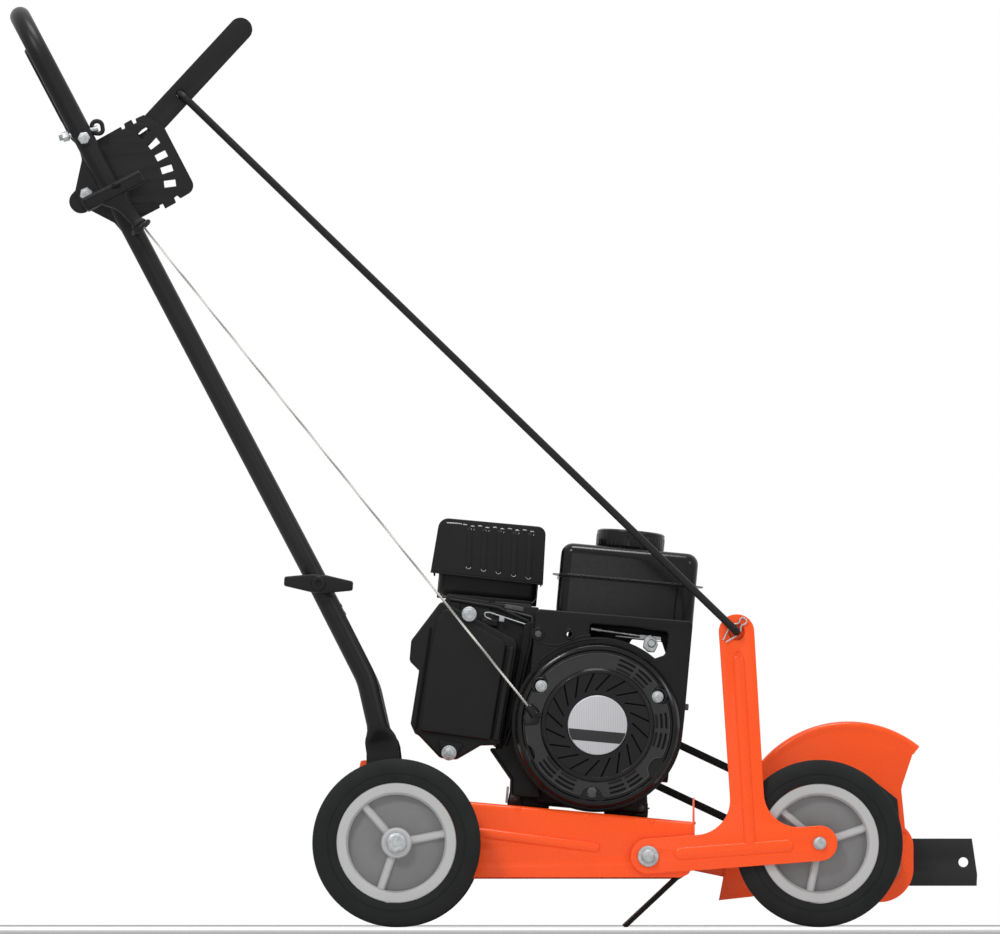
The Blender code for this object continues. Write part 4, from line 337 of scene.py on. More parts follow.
def piece(name, bm, place, finish, node=None, body="chassis", smooth=35.0):
    """Place mm geometry, give it its finish and body, and hide the imported solid that it replaces."""
    bmesh.ops.remove_doubles(bm, verts=bm.verts, dist=1e-7)
    bmesh.ops.recalc_face_normals(bm, faces=bm.faces)
    mesh = bpy.data.meshes.new(name)
    bm.to_mesh(mesh)
    bm.free()
    mesh.transform(place)
    obj = bpy.data.objects.new(name, mesh)
    bpy.context.scene.collection.objects.link(obj)
    mesh.shade_smooth()
    mesh.set_sharp_from_angle(angle=math.radians(smooth))
    mesh.materials.append(FINISH[finish])
    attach(obj, body)
    if node:
        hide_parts(node)


def from_curve(curve):
    flat = bpy.data.objects.new("outline", curve)
    bpy.context.scene.collection.objects.link(flat)
    bpy.context.view_layer.update()
    graph = bpy.context.evaluated_depsgraph_get()
    mesh = bpy.data.meshes.new_from_object(flat.evaluated_get(graph))
    bpy.data.objects.remove(flat, do_unlink=True)
    bpy.data.curves.remove(curve)
    bm = bmesh.new()
    bm.from_mesh(mesh)
    bpy.data.meshes.remove(mesh)
    return bm


def sheet(outlines, y0, y1, edge=0.6, steps=2):
    """Flat piece from y0 to y1 with rounded edges; the first outline is outer, the rest are holes."""
    curve = bpy.data.curves.new("outline", "CURVE")
    curve.dimensions = "2D"
    curve.fill_mode = "BOTH"
    edge = min(edge, abs(y1 - y0) * 0.49)
    curve.extrude = (abs(y1 - y0) / 2 - edge) * MM
    curve.bevel_depth = edge * MM
    curve.bevel_resolution = steps
    curve.offset = -edge * MM
    for outline in outlines:
        spline = curve.splines.new("POLY")
        spline.points.add(len(outline) - 1)
        for point, (x, z) in zip(spline.points, outline):
            point.co = (x * MM, z * MM, 0.0, 1.0)
        spline.use_cyclic_u = True
    bm = from_curve(curve)
    turn = shift(0.0, (y0 + y1) / 2, 0.0) @ spin(math.radians(90), "X")
    bmesh.ops.transform(bm, matrix=turn, verts=bm.verts)
    return bm


def lathe(profile, steps=64, ring=False, at=(0.0, 0.0), start=0.0):
    """Solid turned about a Y axis through (x, z); the profile is (y, radius) pairs."""
    bm = bmesh.new()
    spin0 = spin(-start)
    verts = [bm.verts.new(spin0 @ Vector((r * MM, y * MM, 0.0))) for y, r in profile]
    edges = [bm.edges.new((verts[i], verts[i + 1])) for i in range(len(verts) - 1)]
    if ring:
        edges.append(bm.edges.new((verts[-1], verts[0])))
    bmesh.ops.spin(bm, geom=verts + edges, cent=(0, 0, 0), axis=(0, 1, 0), angle=2 * math.pi, steps=steps,
                   use_merge=True)
    bmesh.ops.remove_doubles(bm, verts=bm.verts, dist=1e-6)
    bmesh.ops.translate(bm, verts=bm.verts, vec=(at[0] * MM, 0.0, at[1] * MM))
    return bm


def turned(profile, base, axis, steps=40):
    """Solid turned about any axis; the profile is (distance along, radius) pairs."""
    bm = lathe(profile, steps)
    quat = Vector((0, 1, 0)).rotation_difference(Vector(axis).normalized())
    bmesh.ops.transform(bm, matrix=Matrix.Translation(Vector(base) * MM) @ quat.to_matrix().to_4x4(),
                        verts=bm.verts)
    return bm


def softened(profile, radius=0.8, steps=3):
    """A lathe profile with its corners turned by small arcs."""
    corners = [(p[0], p[1], p[2] if len(p) > 2 else radius) for p in profile]
    return rounded(corners, steps, False)


def spun(profile, radius, segments, steps=64, ring=False, at=(0.0, 0.0), start=0.0):
    """Solid turned from a profile with softened corners."""
    return lathe(softened(profile, radius, segments), steps, ring, at, start)


def drum(y0, y1, radius, steps=64, at=(0.0, 0.0)):
    return lathe([(y0, 0.0), (y0, radius), (y1, radius), (y1, 0.0)], steps, at=at)


def block(x0, x1, y0, y1, z0, z1, edge=1.0, segments=3):
    bm = bmesh.new()
    bmesh.ops.create_cube(bm, size=1.0)
    size = Matrix.Diagonal(((x1 - x0) * MM, (y1 - y0) * MM, (z1 - z0) * MM, 1.0))
    mid = shift((x0 + x1) / 2, (y0 + y1) / 2, (z0 + z1) / 2)
    bmesh.ops.transform(bm, matrix=mid @ size, verts=bm.verts)
    if edge:
        bmesh.ops.bevel(bm, geom=list(bm.edges), offset=edge * MM, segments=segments, profile=0.5,
                        affect="EDGES")
    return bm


def bar(points, radius, sides=5, closed=False):
    """Round bar along (x, y, z) points."""
    curve = bpy.data.curves.new("bar", "CURVE")
    curve.dimensions = "3D"
    curve.bevel_depth = radius * MM
    curve.bevel_resolution = sides
    curve.use_fill_caps = not closed
    spline = curve.splines.new("POLY")
    spline.points.add(len(points) - 1)
    for point, co in zip(spline.points, points):
        point.co = (co[0] * MM, co[1] * MM, co[2] * MM, 1.0)
    spline.use_cyclic_u = closed
    return from_curve(curve)


def bent(corners, steps=10):
    """Points of a bar whose corners (x, y, z, radius) are turned by arcs."""
    out = []
    for i, corner in enumerate(corners):
        p = Vector(corner[:3])
        r = corner[3] if len(corner) > 3 else 0.0
        if r <= 0.0 or i in (0, len(corners) - 1):
            out.append(p)
            continue
        d0 = (Vector(corners[i - 1][:3]) - p).normalized()
        d1 = (Vector(corners[i + 1][:3]) - p).normalized()
        half = d0.angle(d1) / 2
        c = p + (d0 + d1).normalized() * (r / math.sin(half))
        a = p + d0 * (r / math.tan(half)) - c
        b = p + d1 * (r / math.tan(half)) - c
        sweep = a.angle(b)
        for k in range(steps + 1):
            t = k / steps
            out.append(c + (a * math.sin((1 - t) * sweep) + b * math.sin(t * sweep)) / math.sin(sweep))
    return [tuple(p) for p in out]


def skin(rings):
    """Closed solid through rings of (x, y, z) points."""
    bm = bmesh.new()
    made = [[bm.verts.new((x * MM, y * MM, z * MM)) for x, y, z in ring] for ring in rings]
    for a, b in zip(made, made[1:]):
        for i in range(len(a)):
            j = (i + 1) % len(a)
            bm.faces.new((a[i], a[j], b[j], b[i]))
    bm.faces.new(made[0])
    bm.faces.new(made[-1])
    return bm


def join(*parts):
    """Several bmeshes as one."""
    whole = bmesh.new()
    for part in parts:
        mesh = bpy.data.meshes.new("part")
        part.to_mesh(mesh)
        part.free()
        whole.from_mesh(mesh)
        bpy.data.meshes.remove(mesh)
    return whole


def moved(bm, matrix):
    bmesh.ops.transform(bm, matrix=matrix, verts=bm.verts)
    return bm


def both_sides(bm):
    """The shape and its mirror image on the machine's other side."""
    return join(bm, moved(bm.copy(), MIRROR))


def at_depth(points, y):
    """Outline points (x, z) as points of a bar at one y."""
    return [(x, y, z) for x, z in points]


def hex_bolt(across, height, washer=0.0, recess=False, turn=0.3):
    """Chamfered head on a Y axis at the origin, standing out toward -Y, with its washer."""
    r = across / 2 / math.cos(math.pi / 6)
    seat = -1.6 if washer else 0.0
    rings = []
    for y, k in ((seat, 1.0), (seat - height * 0.82, 1.0), (seat - height, 0.86)):
        rings.append([(r * k * math.cos(turn + math.pi / 3 * i), y,
                       r * k * math.sin(turn + math.pi / 3 * i)) for i in range(6)])
    bm = skin(rings)
    bmesh.ops.bevel(bm, geom=list(bm.edges), offset=0.25 * MM, segments=1, affect="EDGES")
    parts = [bm]
    if recess:
        top = seat - height
        parts.append(lathe([(top - 0.35, across * 0.22), (top - 0.05, across * 0.3),
                            (top + 0.4, across * 0.3), (top + 0.4, 0.0)], 24))
    if washer:
        parts.append(spun([(-1.7, 0.0), (-1.7, washer), (0.0, washer), (0.0, 0.0)], 0.4, 2, 32))
    return join(*parts)


def bolt_at(x, y, z, across, height, washer=0.0, recess=False, turn=0.3):
    return moved(hex_bolt(across, height, washer, recess, turn), shift(x, y, z))


# Pieces

class EDGER_PG_looks(bpy.types.PropertyGroup):
    """Sizes and colours that a user would change."""

    tread_segments: IntProperty(
        name="Tyre segments", description="Facets round each tyre", default=96, min=24)
    powder_orange: FloatVectorProperty(
        name="Powder coat", description="Colour of the painted steel", subtype="COLOR", size=3,
        default=(0.95, 0.088, 0.007))
    camera_distance: FloatProperty(
        name="Camera distance", description="Camera to the near wheel", default=8.0, unit="LENGTH")
    camera_height: FloatProperty(
        name="Camera height", description="Camera above the floor", default=0.004, unit="LENGTH")
    lens: FloatProperty(
        name="Focal length", description="Camera focal length in millimetres", default=273.0)

    @property
    def orange_hex(self):
        out = "#"
        for c in self.powder_orange:
            s = 12.92 * c if c <= 0.0031308 else 1.055 * c ** (1 / 2.4) - 0.055
            out += "%02X" % round(s * 255)
        return out


def looks():
    return bpy.context.scene.edger_looks


# Wheels

def tyre_profile():
    side = [(-16.4, 63.3), (-17.6, 65.5), (-18.0, 69.0), (-18.0, 71.2), (-17.4, 71.9), (-17.4, 73.0),
            (-18.0, 73.7), (-17.9, 77.0), (-17.3, 80.4), (-16.0, 83.4), (-14.2, 86.2), (-12.6, 87.9),
            (-11.0, 88.65), (-9.0, 88.7)]
    tread = [(-7.6, 88.7), (-7.0, 87.3), (-5.6, 87.3), (-5.0, 88.7), (-1.2, 88.72), (-0.7, 87.3),
             (0.7, 87.3), (1.2, 88.72), (5.0, 88.7), (5.6, 87.3), (7.0, 87.3), (7.6, 88.7)]
    return side + tread + [(-y, r) for y, r in reversed(side)]


def wheel_pieces(prefix, side, x, y, turn, body):
    """Solid tyre with a ribbed tread on a dished centre with three webs and a bored boss."""
    place = shift(x + AXLE_X, y, AXLE_Z)
    if side > 0:
        place = place @ MIRROR
    tyre = lathe(tyre_profile(), looks().tread_segments, True)
    piece(prefix + "_tyre_moulded", tyre, place, "tyre", prefix + "_tyre", body=body, smooth=34.0)
    rim = lathe(softened([
        (-16.2, 52.6, 0.6), (-17.2, 53.4, 0.8), (-17.2, 62.2, 0.9), (-16.2, 63.0, 0.3), (16.2, 63.0, 0.3),
        (17.2, 62.2, 0.9), (17.2, 53.4, 0.8), (16.2, 52.6, 0.6), (-1.0, 50.4, 0.5), (-3.0, 50.2, 0.6),
        (-9.4, 50.8, 0.6), (-16.2, 52.6, 0.3)], 0.5), 96, True)
    boss = lathe(softened([
        (-18.5, 6.4), (-18.5, 13.6, 0.8), (-17.6, 15.4, 0.8), (-9.0, 16.4, 0.5), (-8.0, 17.4, 1.0),
        (-3.2, 17.4, 0.5), (-3.0, 16.4, 0.4), (18.5, 15.4, 1.0), (18.5, 6.4)], 0.5), 48, True)
    webs = []
    for i in range(3):
        web = block(14.8, 51.8, -13.0, -8.2, -3.0, 3.0, 0.9, 3)
        root_fillet = block(14.0, 51.8, -9.6, -8.4, -4.2, 4.2, 0.5, 2)
        both = join(web, root_fillet)
        webs.append(moved(both, spin(-math.radians(turn + 120.0 * i))))
        back = block(14.8, 51.8, -3.2, 6.0, -2.2, 2.2, 0.8, 2)
        webs.append(moved(back, spin(-math.radians(turn + 60.0 + 120.0 * i))))
    piece(prefix + "_centre", join(rim, boss, *webs), place, "hub grey", prefix + "_hub", body=body,
          smooth=34.0)
    # Dished disc in the darker copy of the hub plastic: painted shade in the recess
    disc = lathe(softened([(-9.0, 14.0, 0.2), (-9.0, 33.0, 9.0), (-8.2, 51.4, 0.2), (-3.0, 51.4, 0.2),
                           (-3.0, 14.0, 0.2)], 0.4), 96, True)
    piece(prefix + "_web", disc, place, "hub web painted shade", body=body, smooth=34.0)


class EDGER_OT_wheels(bpy.types.Operator):
    """Three solid tyres on dished grey centres, with the caps of the rear axle"""

    bl_idname = "edger.wheels"
    bl_label = "Wheels"

    def execute(self, context):
        wheel_pieces("wheel_rear_right", -1, 0.0, -REAR_WHEEL_Y, 11.0, "wheel_rear_right")
        wheel_pieces("wheel_rear_left", 1, 0.0, REAR_WHEEL_Y, 11.0, "wheel_rear_left")
        wheel_pieces("wheel_front", -1, FRONT_AXLE[0], FRONT_WHEEL_Y, 19.0, "wheel_front")
        cap = spun([(-184.6, 0.0, 0.0), (-184.8, 7.6, 0.8), (-183.6, 10.2, 0.8), (-180.0, 10.6, 0.4),
                    (-180.0, 0.0, 0.0)], 0.8, 4, 48, at=AXLE_AT)
        centre = lathe([(-184.98, 0.0), (-184.98, 4.2), (-184.4, 4.8), (-184.4, 0.0)], 32, at=AXLE_AT)
        rod = drum(-181.0, 181.0, 6.0, 32, at=AXLE_AT)
        spacer = lathe([(-142.0, 6.4), (-142.0, 9.0), (-124.0, 9.0), (-124.0, 6.4)], 32, True, at=AXLE_AT)
        piece("rear_axle_plated", join(rod, both_sides(join(cap, centre, spacer))), PLAIN, "zinc",
              "rear_axle", smooth=30.0)
        return {"FINISHED"}


# Deck

def deck_top(x):
    return 111.5 + (315.5 - x) * math.tan(TILT)


def pressed_bead(p, q, width, y_face, out, steps=7):
    """Pressed rib with a round crest from p to q, standing out of a face toward -Y."""
    mid = ((p[0] + q[0]) / 2, (p[1] + q[1]) / 2)
    length = math.dist(p, q) + width
    angle = math.atan2(q[1] - p[1], q[0] - p[0])
    rings = []
    for k in range(steps):
        t = k / (steps - 1)
        shrink = (1 - math.cos(t * math.pi / 2)) * width * 0.8
        rise = out * math.sin(t * math.pi / 2) ** 1.2
        outline = slot(mid, length - shrink, width - shrink, angle, 0.499, 7)
        rings.append([(x, y_face + (0.4 if k == 0 else 0.0) - rise, z) for x, z in outline])
    return skin(rings)


def folded_channel():
    """The pressed deck's top with its rounded folds as one bent sheet."""
    quarter = [math.pi / 2 * (1 - k / 5) for k in range(6)]
    rings = []
    for x in (57.0, 77.0, 130.0, 190.0, 250.0, 300.0, 312.2):
        top = deck_top(x)
        faces = []
        for side_y, reach, height in ((123.2, 5.97, 6.0), (120.9, 3.2, 3.0)):
            for s in (-1, 1):
                fold = [(x, s * (117.5 + reach * math.sin(a)), top - 6.0 + height * math.cos(a))
                        for a in quarter]
                faces.append([(x, s * side_y, top - 11.0)] + fold)
        rings.append(faces[0] + faces[1][::-1] + faces[3] + faces[2][::-1])
    return skin(rings)


class EDGER_OT_deck(bpy.types.Operator):
    """Pressed sloping deck with its ears, front lip, beads and dimples"""

    bl_idname = "edger.deck"
    bl_label = "Deck"

    def execute(self, context):
        parts = []
        for y0, y1 in ((-123.5, -120.5), (120.5, 123.5)):
            outline = rounded([
                (-45.0, 52.7, 6.0), (312.5, 52.7, 14.0), (312.5, deck_top(312.5) - 5.4, 0.0),
                (77.0, deck_top(77.0) - 5.4, 0.0), (77.0, deck_top(77.0), 0.0),
                (73.0, deck_top(77.0) + 3.5, 2.0), (-14.0, 178.0, 4.0), (-38.6, 176.4, 2.5),
                (-45.0, 140.0, 10.0)], 8)
            holes = [circle(AXLE_AT, AXLE_HOLE_R), circle((-15.6, 150.0), 3.3, 24)]
            if y0 < 0:
                holes.append(circle(ARM_PIVOT, AXLE_HOLE_R))
            parts.append(sheet([outline] + holes, y0, y1, 0.5))
        parts.append(folded_channel())
        parts.append(sheet([[(312.5, 70.7), (315.5, 70.7), (315.5, 111.0), (312.5, 111.0)]], -122.5,
                           122.5, 0.4))
        parts.append(sheet([[(313.2, 99.5), (315.4, 99.5), (315.2, 137.0), (313.9, 137.0)]], -122.4,
                           -97.5, 0.3))
        parts.append(block(-44.0, -41.0, -122.5, 122.5, 60.7, 132.0, 0.5, 2))
        back_z = deck_top(77.0)
        parts.append(block(-44.0, 65.0, -122.5, 122.5, back_z - 4.2, back_z - 1.2, 0.5, 2))
        parts.append(both_sides(pressed_bead((88.0, 100.0), (210.0, 84.5), 10.5, -123.4, 3.0)))
        piece("deck_pressed", join(*parts), PLAIN, "orange", "deck_frame", smooth=34.0)
        marks = []
        for x, z in ((128.2, 125.5), (199.5, 118.6), (269.3, 112.8)):
            shape = rounded([(x - 4.6, z + 1.6, 1.2), (x + 4.6, z + 0.8, 1.2), (x + 0.2, z - 4.6, 1.6)], 4)
            marks.append(both_sides(sheet([shape], -124.0, -122.9, 0.5)))
        piece("deck_dimples", join(*marks), PLAIN, "orange", smooth=40.0)
        seams = []
        for y0, y1 in ((-96.0, -76.0), (92.0, 121.0)):
            points = [(315.7, y0 + (y1 - y0) * k / 14, 110.6 + 0.35 * math.sin(2.1 * k)) for k in range(15)]
            seams.append(bar(points, 1.6, 3))
        piece("deck_weld", join(*seams), PLAIN, "orange", smooth=60.0)
        return {"FINISHED"}


# Front arm, link and depth lever

def arm_outline():
    half, top_half = 18.7, 18.9
    u = unit(ARM_PIVOT, FRONT_AXLE)
    n = left_of(u)
    foot = meet(ARM_PIVOT, u, (374.0, 0.0), (0.0, 1.0))
    up = unit(foot, ARM_TOP)
    w = left_of(up)
    top_edge = along(ARM_PIVOT, n, half)
    left_dir = unit(along(foot, w, 17.8), along(ARM_TOP, w, top_half))
    right_dir = unit(along(foot, w, -17.8), along(ARM_TOP, w, -top_half))
    inner_left = meet(top_edge, u, along(foot, w, 17.8), left_dir)
    inner_right = meet(top_edge, u, along(foot, w, -17.8), right_dir)
    pts = [(*along(along(ARM_PIVOT, u, -half), n, half), 18.2), (*inner_left, 37.0),
           (*along(along(ARM_TOP, up, top_half), w, top_half), 18.4),
           (*along(along(ARM_TOP, up, top_half), w, -top_half), 18.4), (*inner_right, 37.0),
           (*along(along(FRONT_AXLE, u, half), n, half), 18.2),
           (*along(along(FRONT_AXLE, u, half), n, -half), 18.2),
           (*along(along(ARM_PIVOT, u, -half), n, -half), 18.2)]
    return rounded(pts, 12), foot, u, up


class EDGER_OT_front_arm(bpy.types.Operator):
    """Bell-crank arm with its pressed beads and bolts"""

    bl_idname = "edger.front_arm"
    bl_label = "Front arm"

    def execute(self, context):
        outline, foot, u, up = arm_outline()
        parts = [sheet([outline, circle(ARM_PIVOT, AXLE_HOLE_R), circle(FRONT_AXLE, AXLE_HOLE_R),
                        circle(ARM_TOP, PIVOT_PLAY_R)], -129.5, -125.5, 0.9, 3)]
        parts.append(pressed_bead(along(ARM_PIVOT, u, 34.0), along(FRONT_AXLE, u, -34.0), 13.4, -129.4, 2.3))
        parts.append(pressed_bead(along(foot, up, 4.0), along(ARM_TOP, up, -30.0), 12.4, -129.4, 2.2))
        thumb = along(ARM_TOP, up, -23.0)
        turns = [math.radians(20 + 16 * k) for k in range(11)]
        mark = [(thumb[0] + 2.6 * math.cos(t), thumb[1] + 2.2 * math.sin(t)) for t in turns]
        parts.append(bar(at_depth(mark, -129.9), 0.6, 4))
        piece("front_arm_pressed", join(*parts), PLAIN, "orange", "front_arm", body="front_arm", smooth=36.0)
        head = spun([(-137.4, 0.0, 0.0), (-137.2, 5.4, 1.6), (-136.0, 6.9, 0.8), (-132.4, 7.2, 0.3),
                     (-132.2, 10.8, 0.5), (-129.9, 11.3, 0.5), (-129.8, 0.0, 0.0)], 0.5, 4, 48,
                    at=ARM_PIVOT)
        stem = drum(-130.0, -112.0, 6.0, 32, at=ARM_PIVOT)
        spacer = drum(-125.2, -123.8, 10.2, 32, at=ARM_PIVOT)
        nut = bolt_at(ARM_PIVOT[0], -113.0, ARM_PIVOT[1], 17.0, 7.0)
        piece("arm_pivot_plated", join(head, stem, spacer, nut), PLAIN, "zinc", "arm_pivot_bolt", smooth=32.0)
        head = spun([(-134.8, 0.0, 0.0), (-134.4, 4.6, 0.6), (-133.8, 5.8, 0.4), (-130.0, 6.0, 0.4),
                     (-129.8, 0.0, 0.0)], 0.5, 4, 40, at=FRONT_AXLE)
        washer = spun([(-130.6, 0.0, 0.0), (-130.6, 6.9, 0.4), (-129.8, 6.9, 0.2), (-129.8, 0.0, 0.0)],
                      0.3, 2, 40, at=FRONT_AXLE)
        shaft = drum(-130.0, -78.0, 6.0, 32, at=FRONT_AXLE)
        nut = bolt_at(FRONT_AXLE[0], -80.2, FRONT_AXLE[1], 18.0, 6.6)
        piece("front_axle_plated", join(head, washer, shaft, nut), PLAIN, "zinc", "front_axle_bolt",
              body="front_arm", smooth=32.0)
        return {"FINISHED"}


ROD_HOLE = along(LEVER_PIVOT, (math.cos(LEVER_ANGLE), math.sin(LEVER_ANGLE)), 147.3)
CLIP_HEAD = (ARM_TOP[0] + 5.8, ARM_TOP[1] + 10.4)
CLIP_FOOT = (ARM_TOP[0] - 14.0, ARM_TOP[1] - 10.8)


class EDGER_OT_linkage(bpy.types.Operator):
    """Flat depth lever, its slotted quadrant, the long link rod and the hairpin clip"""

    bl_idname = "edger.linkage"
    bl_label = "Depth linkage"

    def execute(self, context):
        d = (math.cos(LEVER_ANGLE), math.sin(LEVER_ANGLE))
        n = left_of(d)

        def lever_at(t, off=0.0):
            return along(along(LEVER_PIVOT, d, t), n, off)

        outline = rounded([(*lever_at(-22.0, -12.5), 12.2), (*lever_at(254.5, -12.5), 12.2),
                           (*lever_at(254.5, 12.5), 12.2), (*lever_at(-22.0, 12.5), 12.2)], 14)
        bar_bm = sheet([outline, circle(LEVER_PIVOT, 5.0), circle(ROD_HOLE, 4.3, 32),
                        slot(lever_at(90.7, 3.0), 11.4, 3.0, LEVER_ANGLE - math.radians(14.0))], -85.0,
                       -80.0, 0.7, 3)
        pawl = block(84.5, 94.9, -88.2, -84.0, -4.7, -1.6, 0.4, 2)
        moved(pawl, shift(LEVER_PIVOT[0], 0.0, LEVER_PIVOT[1]) @ spin(-LEVER_ANGLE))
        piece("depth_lever_bar", join(bar_bm, pawl), PLAIN, "black coat", "depth_lever",
              body="depth_lever", smooth=40.0)

        slots = []
        for i in range(5):
            a = LEVER_ANGLE - math.radians(10.0) * i
            slots.append(slot(along(LEVER_PIVOT, (math.cos(a), math.sin(a)), 89.7), 12.4, 7.4, a, 0.07, 2))
        quad = rounded([
            (-346.0, 852.0, 6.0), (-326.0, 838.0, 0.0), (-296.1, 854.8, 1.0), (-295.1, 851.6, 0.4),
            (-291.9, 853.0, 0.4), (-293.1, 857.8, 0.4), (-285.4, 862.3, 0.6), (-282.7, 857.6, 0.4),
            (-279.7, 859.0, 0.4), (-280.9, 863.2, 0.4), (-272.0, 867.4, 2.0), (-250.5, 855.0, 6.0),
            (-215.4, 787.6, 36.0), (-232.5, 777.8, 0.6), (-236.0, 780.8, 0.4), (-239.2, 778.6, 0.4),
            (-237.2, 773.2, 0.6), (-248.8, 766.8, 0.6), (-251.4, 772.0, 0.4), (-254.8, 770.4, 0.4),
            (-254.5, 767.7, 0.4), (-288.0, 750.0, 8.0), (-284.5, 729.5, 5.0), (-303.0, 751.5, 6.0),
            (-340.5, 771.0, 12.0), (-345.0, 786.0, 6.0), (-338.0, 819.1, 8.0)], 6)
        at = handle_at(156.2)
        plate_bm = sheet([quad, circle(LEVER_PIVOT, 4.7, 32), circle((at[0], at[2]), 3.4, 24)] + slots,
                         -91.5, -88.5, 0.35, 2)
        piece("quadrant_stamped", plate_bm, PLAIN, "black coat", "quadrant_plate", smooth=40.0)

        rod_points = bent([(ROD_HOLE[0], -74.0, ROD_HOLE[1]), (ROD_HOLE[0], -94.0, ROD_HOLE[1], 8.0),
                           (ARM_TOP[0], -138.5, ARM_TOP[1], 6.5), (ARM_TOP[0], -119.5, ARM_TOP[1])], 12)
        disc = spun([(-124.6, 0.0, 0.0), (-124.6, 13.4, 0.4), (-123.1, 13.4, 0.4), (-123.1, 0.0, 0.0)],
                    0.3, 2, 40, at=ARM_TOP)
        piece("link_rod_bent", bar(rod_points, 4.0, 6), PLAIN, "black coat", "link_rod", body="link_rod",
              smooth=60.0)
        piece("rod_pivot_disc", disc, PLAIN, "orange", body="link_rod", smooth=34.0)
        cu = unit(CLIP_HEAD, CLIP_FOOT)
        cw = left_of(cu)
        mid = math.dist(CLIP_HEAD, ARM_TOP)

        def clip_at(t, off, radius=0.0):
            x, z = along(along(CLIP_HEAD, cu, t), cw, off)
            return (x, -131.4, z, radius)

        wire = bent([clip_at(27.4, -1.8), clip_at(mid + 4.0, -5.2, 4.0), clip_at(mid - 4.0, -5.2, 4.0),
                     clip_at(3.4, -1.4, 3.0), clip_at(-0.6, -3.6, 2.0), clip_at(-4.6, -3.6, 2.4),
                     clip_at(-4.6, 3.6, 2.4), clip_at(-0.6, 3.6, 2.0), clip_at(3.4, 1.4, 3.0),
                     clip_at(mid - 4.0, 5.2, 4.0), clip_at(mid + 4.0, 5.2, 4.0), clip_at(27.4, 1.8)], 6)
        piece("hairpin_wire", bar(wire, 0.9, 3), PLAIN, "zinc", "hairpin_clip", body="link_rod", smooth=60.0)
        push = spun([(-79.2, 4.2), (-79.2, 8.0, 0.4), (-78.6, 8.2, 0.3), (-78.2, 4.2)], 0.2, 2, 28, True,
                    at=ROD_HOLE)
        piece("rod_push_washer", push, PLAIN, "zinc", body="link_rod", smooth=40.0)

        nut = bolt_at(LEVER_PIVOT[0], -91.7, LEVER_PIVOT[1], 13.0, 5.6, 0.0, True, 0.4)
        stem = drum(-92.0, -76.0, 4.4, 24, at=LEVER_PIVOT)
        back = spun([(-79.6, 4.0), (-79.6, 8.6), (-75.6, 8.6), (-75.6, 4.0)], 0.6, 2, 6, True, at=LEVER_PIVOT)
        piece("lever_pivot_plated", join(nut, stem, back), PLAIN, "zinc", "lever_pivot_bolt", smooth=32.0)
        head = bolt_at(at[0], -114.3, at[2], 11.8, 4.8, 0.0, True, 0.1)
        stem = drum(-115.0, -88.7, 3.0, 20, at=(at[0], at[2]))
        piece("quadrant_plated", join(head, stem), PLAIN, "zinc", "quadrant_bolt", smooth=32.0)
        return {"FINISHED"}


# Handle

HANDLE_DIR = unit(HANDLE_TOP, KNOB_AT)


def handle_at(s, off=0.0, y=0.0):
    """Point s down the leg from the bight, off toward the rear, at y."""
    n = (HANDLE_DIR[1], -HANDLE_DIR[0])
    return (HANDLE_TOP[0] + HANDLE_DIR[0] * s + n[0] * off, y, HANDLE_TOP[1] + HANDLE_DIR[1] * s + n[1] * off)


def lower_leg(side):
    """Round tube whose foot is crushed flat and wide against the deck's ear."""
    end = (-17.0, 196.0)
    start = handle_at(math.dist(HANDLE_TOP, KNOB_AT) - 22.0)
    bend = rounded([(start[0], start[2]), (-32.0, 262.0, 80.0), (*end, 0.0)], 12, False)
    down = unit((-32.0, 262.0), end)
    x = end[0] + down[0] * 8.0
    stations = [(px, pz, 11.0, 11.0, 2.0) for px, pz in bend[:-1]]
    stations += [
        (*along(end, down, -20.0), 11.0, 11.0, 2.0), (*along(end, down, -15.0), 11.8, 9.9, 2.1),
        (*along(end, down, -11.0), 13.4, 8.2, 2.3), (*along(end, down, -7.0), 15.4, 6.0, 2.6),
        (*along(end, down, -3.0), 16.8, 3.8, 3.4), (*along(end, down, 2.0), 17.25, 2.0, 6.0),
        (x, end[1] - 12.0, 17.25, 2.0, 6.0), (x, 118.0, 17.25, 2.0, 6.0), (x, 112.0, 15.5, 2.0, 6.0),
        (x, 107.0, 11.5, 2.0, 6.0), (x, 104.0, 7.0, 2.0, 6.0)]
    rings = []
    for i, (px, pz, a, b, power) in enumerate(stations):
        p = stations[max(i - 1, 0)]
        q = stations[min(i + 1, len(stations) - 1)]
        n = left_of(unit((p[0], p[1]), (q[0], q[1])))
        ring = []
        for k in range(36):
            t = 2 * math.pi * k / 36
            cx = math.copysign(abs(math.cos(t)) ** (2 / power), math.cos(t)) * a
            sy = math.copysign(abs(math.sin(t)) ** (2 / power), math.sin(t)) * b
            ring.append((px + n[0] * cx, side * LEG_Y + sy, pz + n[1] * cx))
        rings.append(ring)
    return skin(rings)


def bail_points():
    def at(s, off, y, r=0.0):
        return (*handle_at(s, off, y), r)

    return bent([at(156.2, 0.0, -88.2), at(156.2, 0.0, -82.0, 4.0), at(126.2, 10.4, -82.0, 14.0),
                 at(40.1, 10.4, -82.0, 9.0), at(40.1, 10.4, 84.0, 9.0), at(126.2, 10.4, 84.0, 14.0),
                 at(156.2, 0.0, 84.0, 4.0), at(156.2, 0.0, 91.7)], 8)


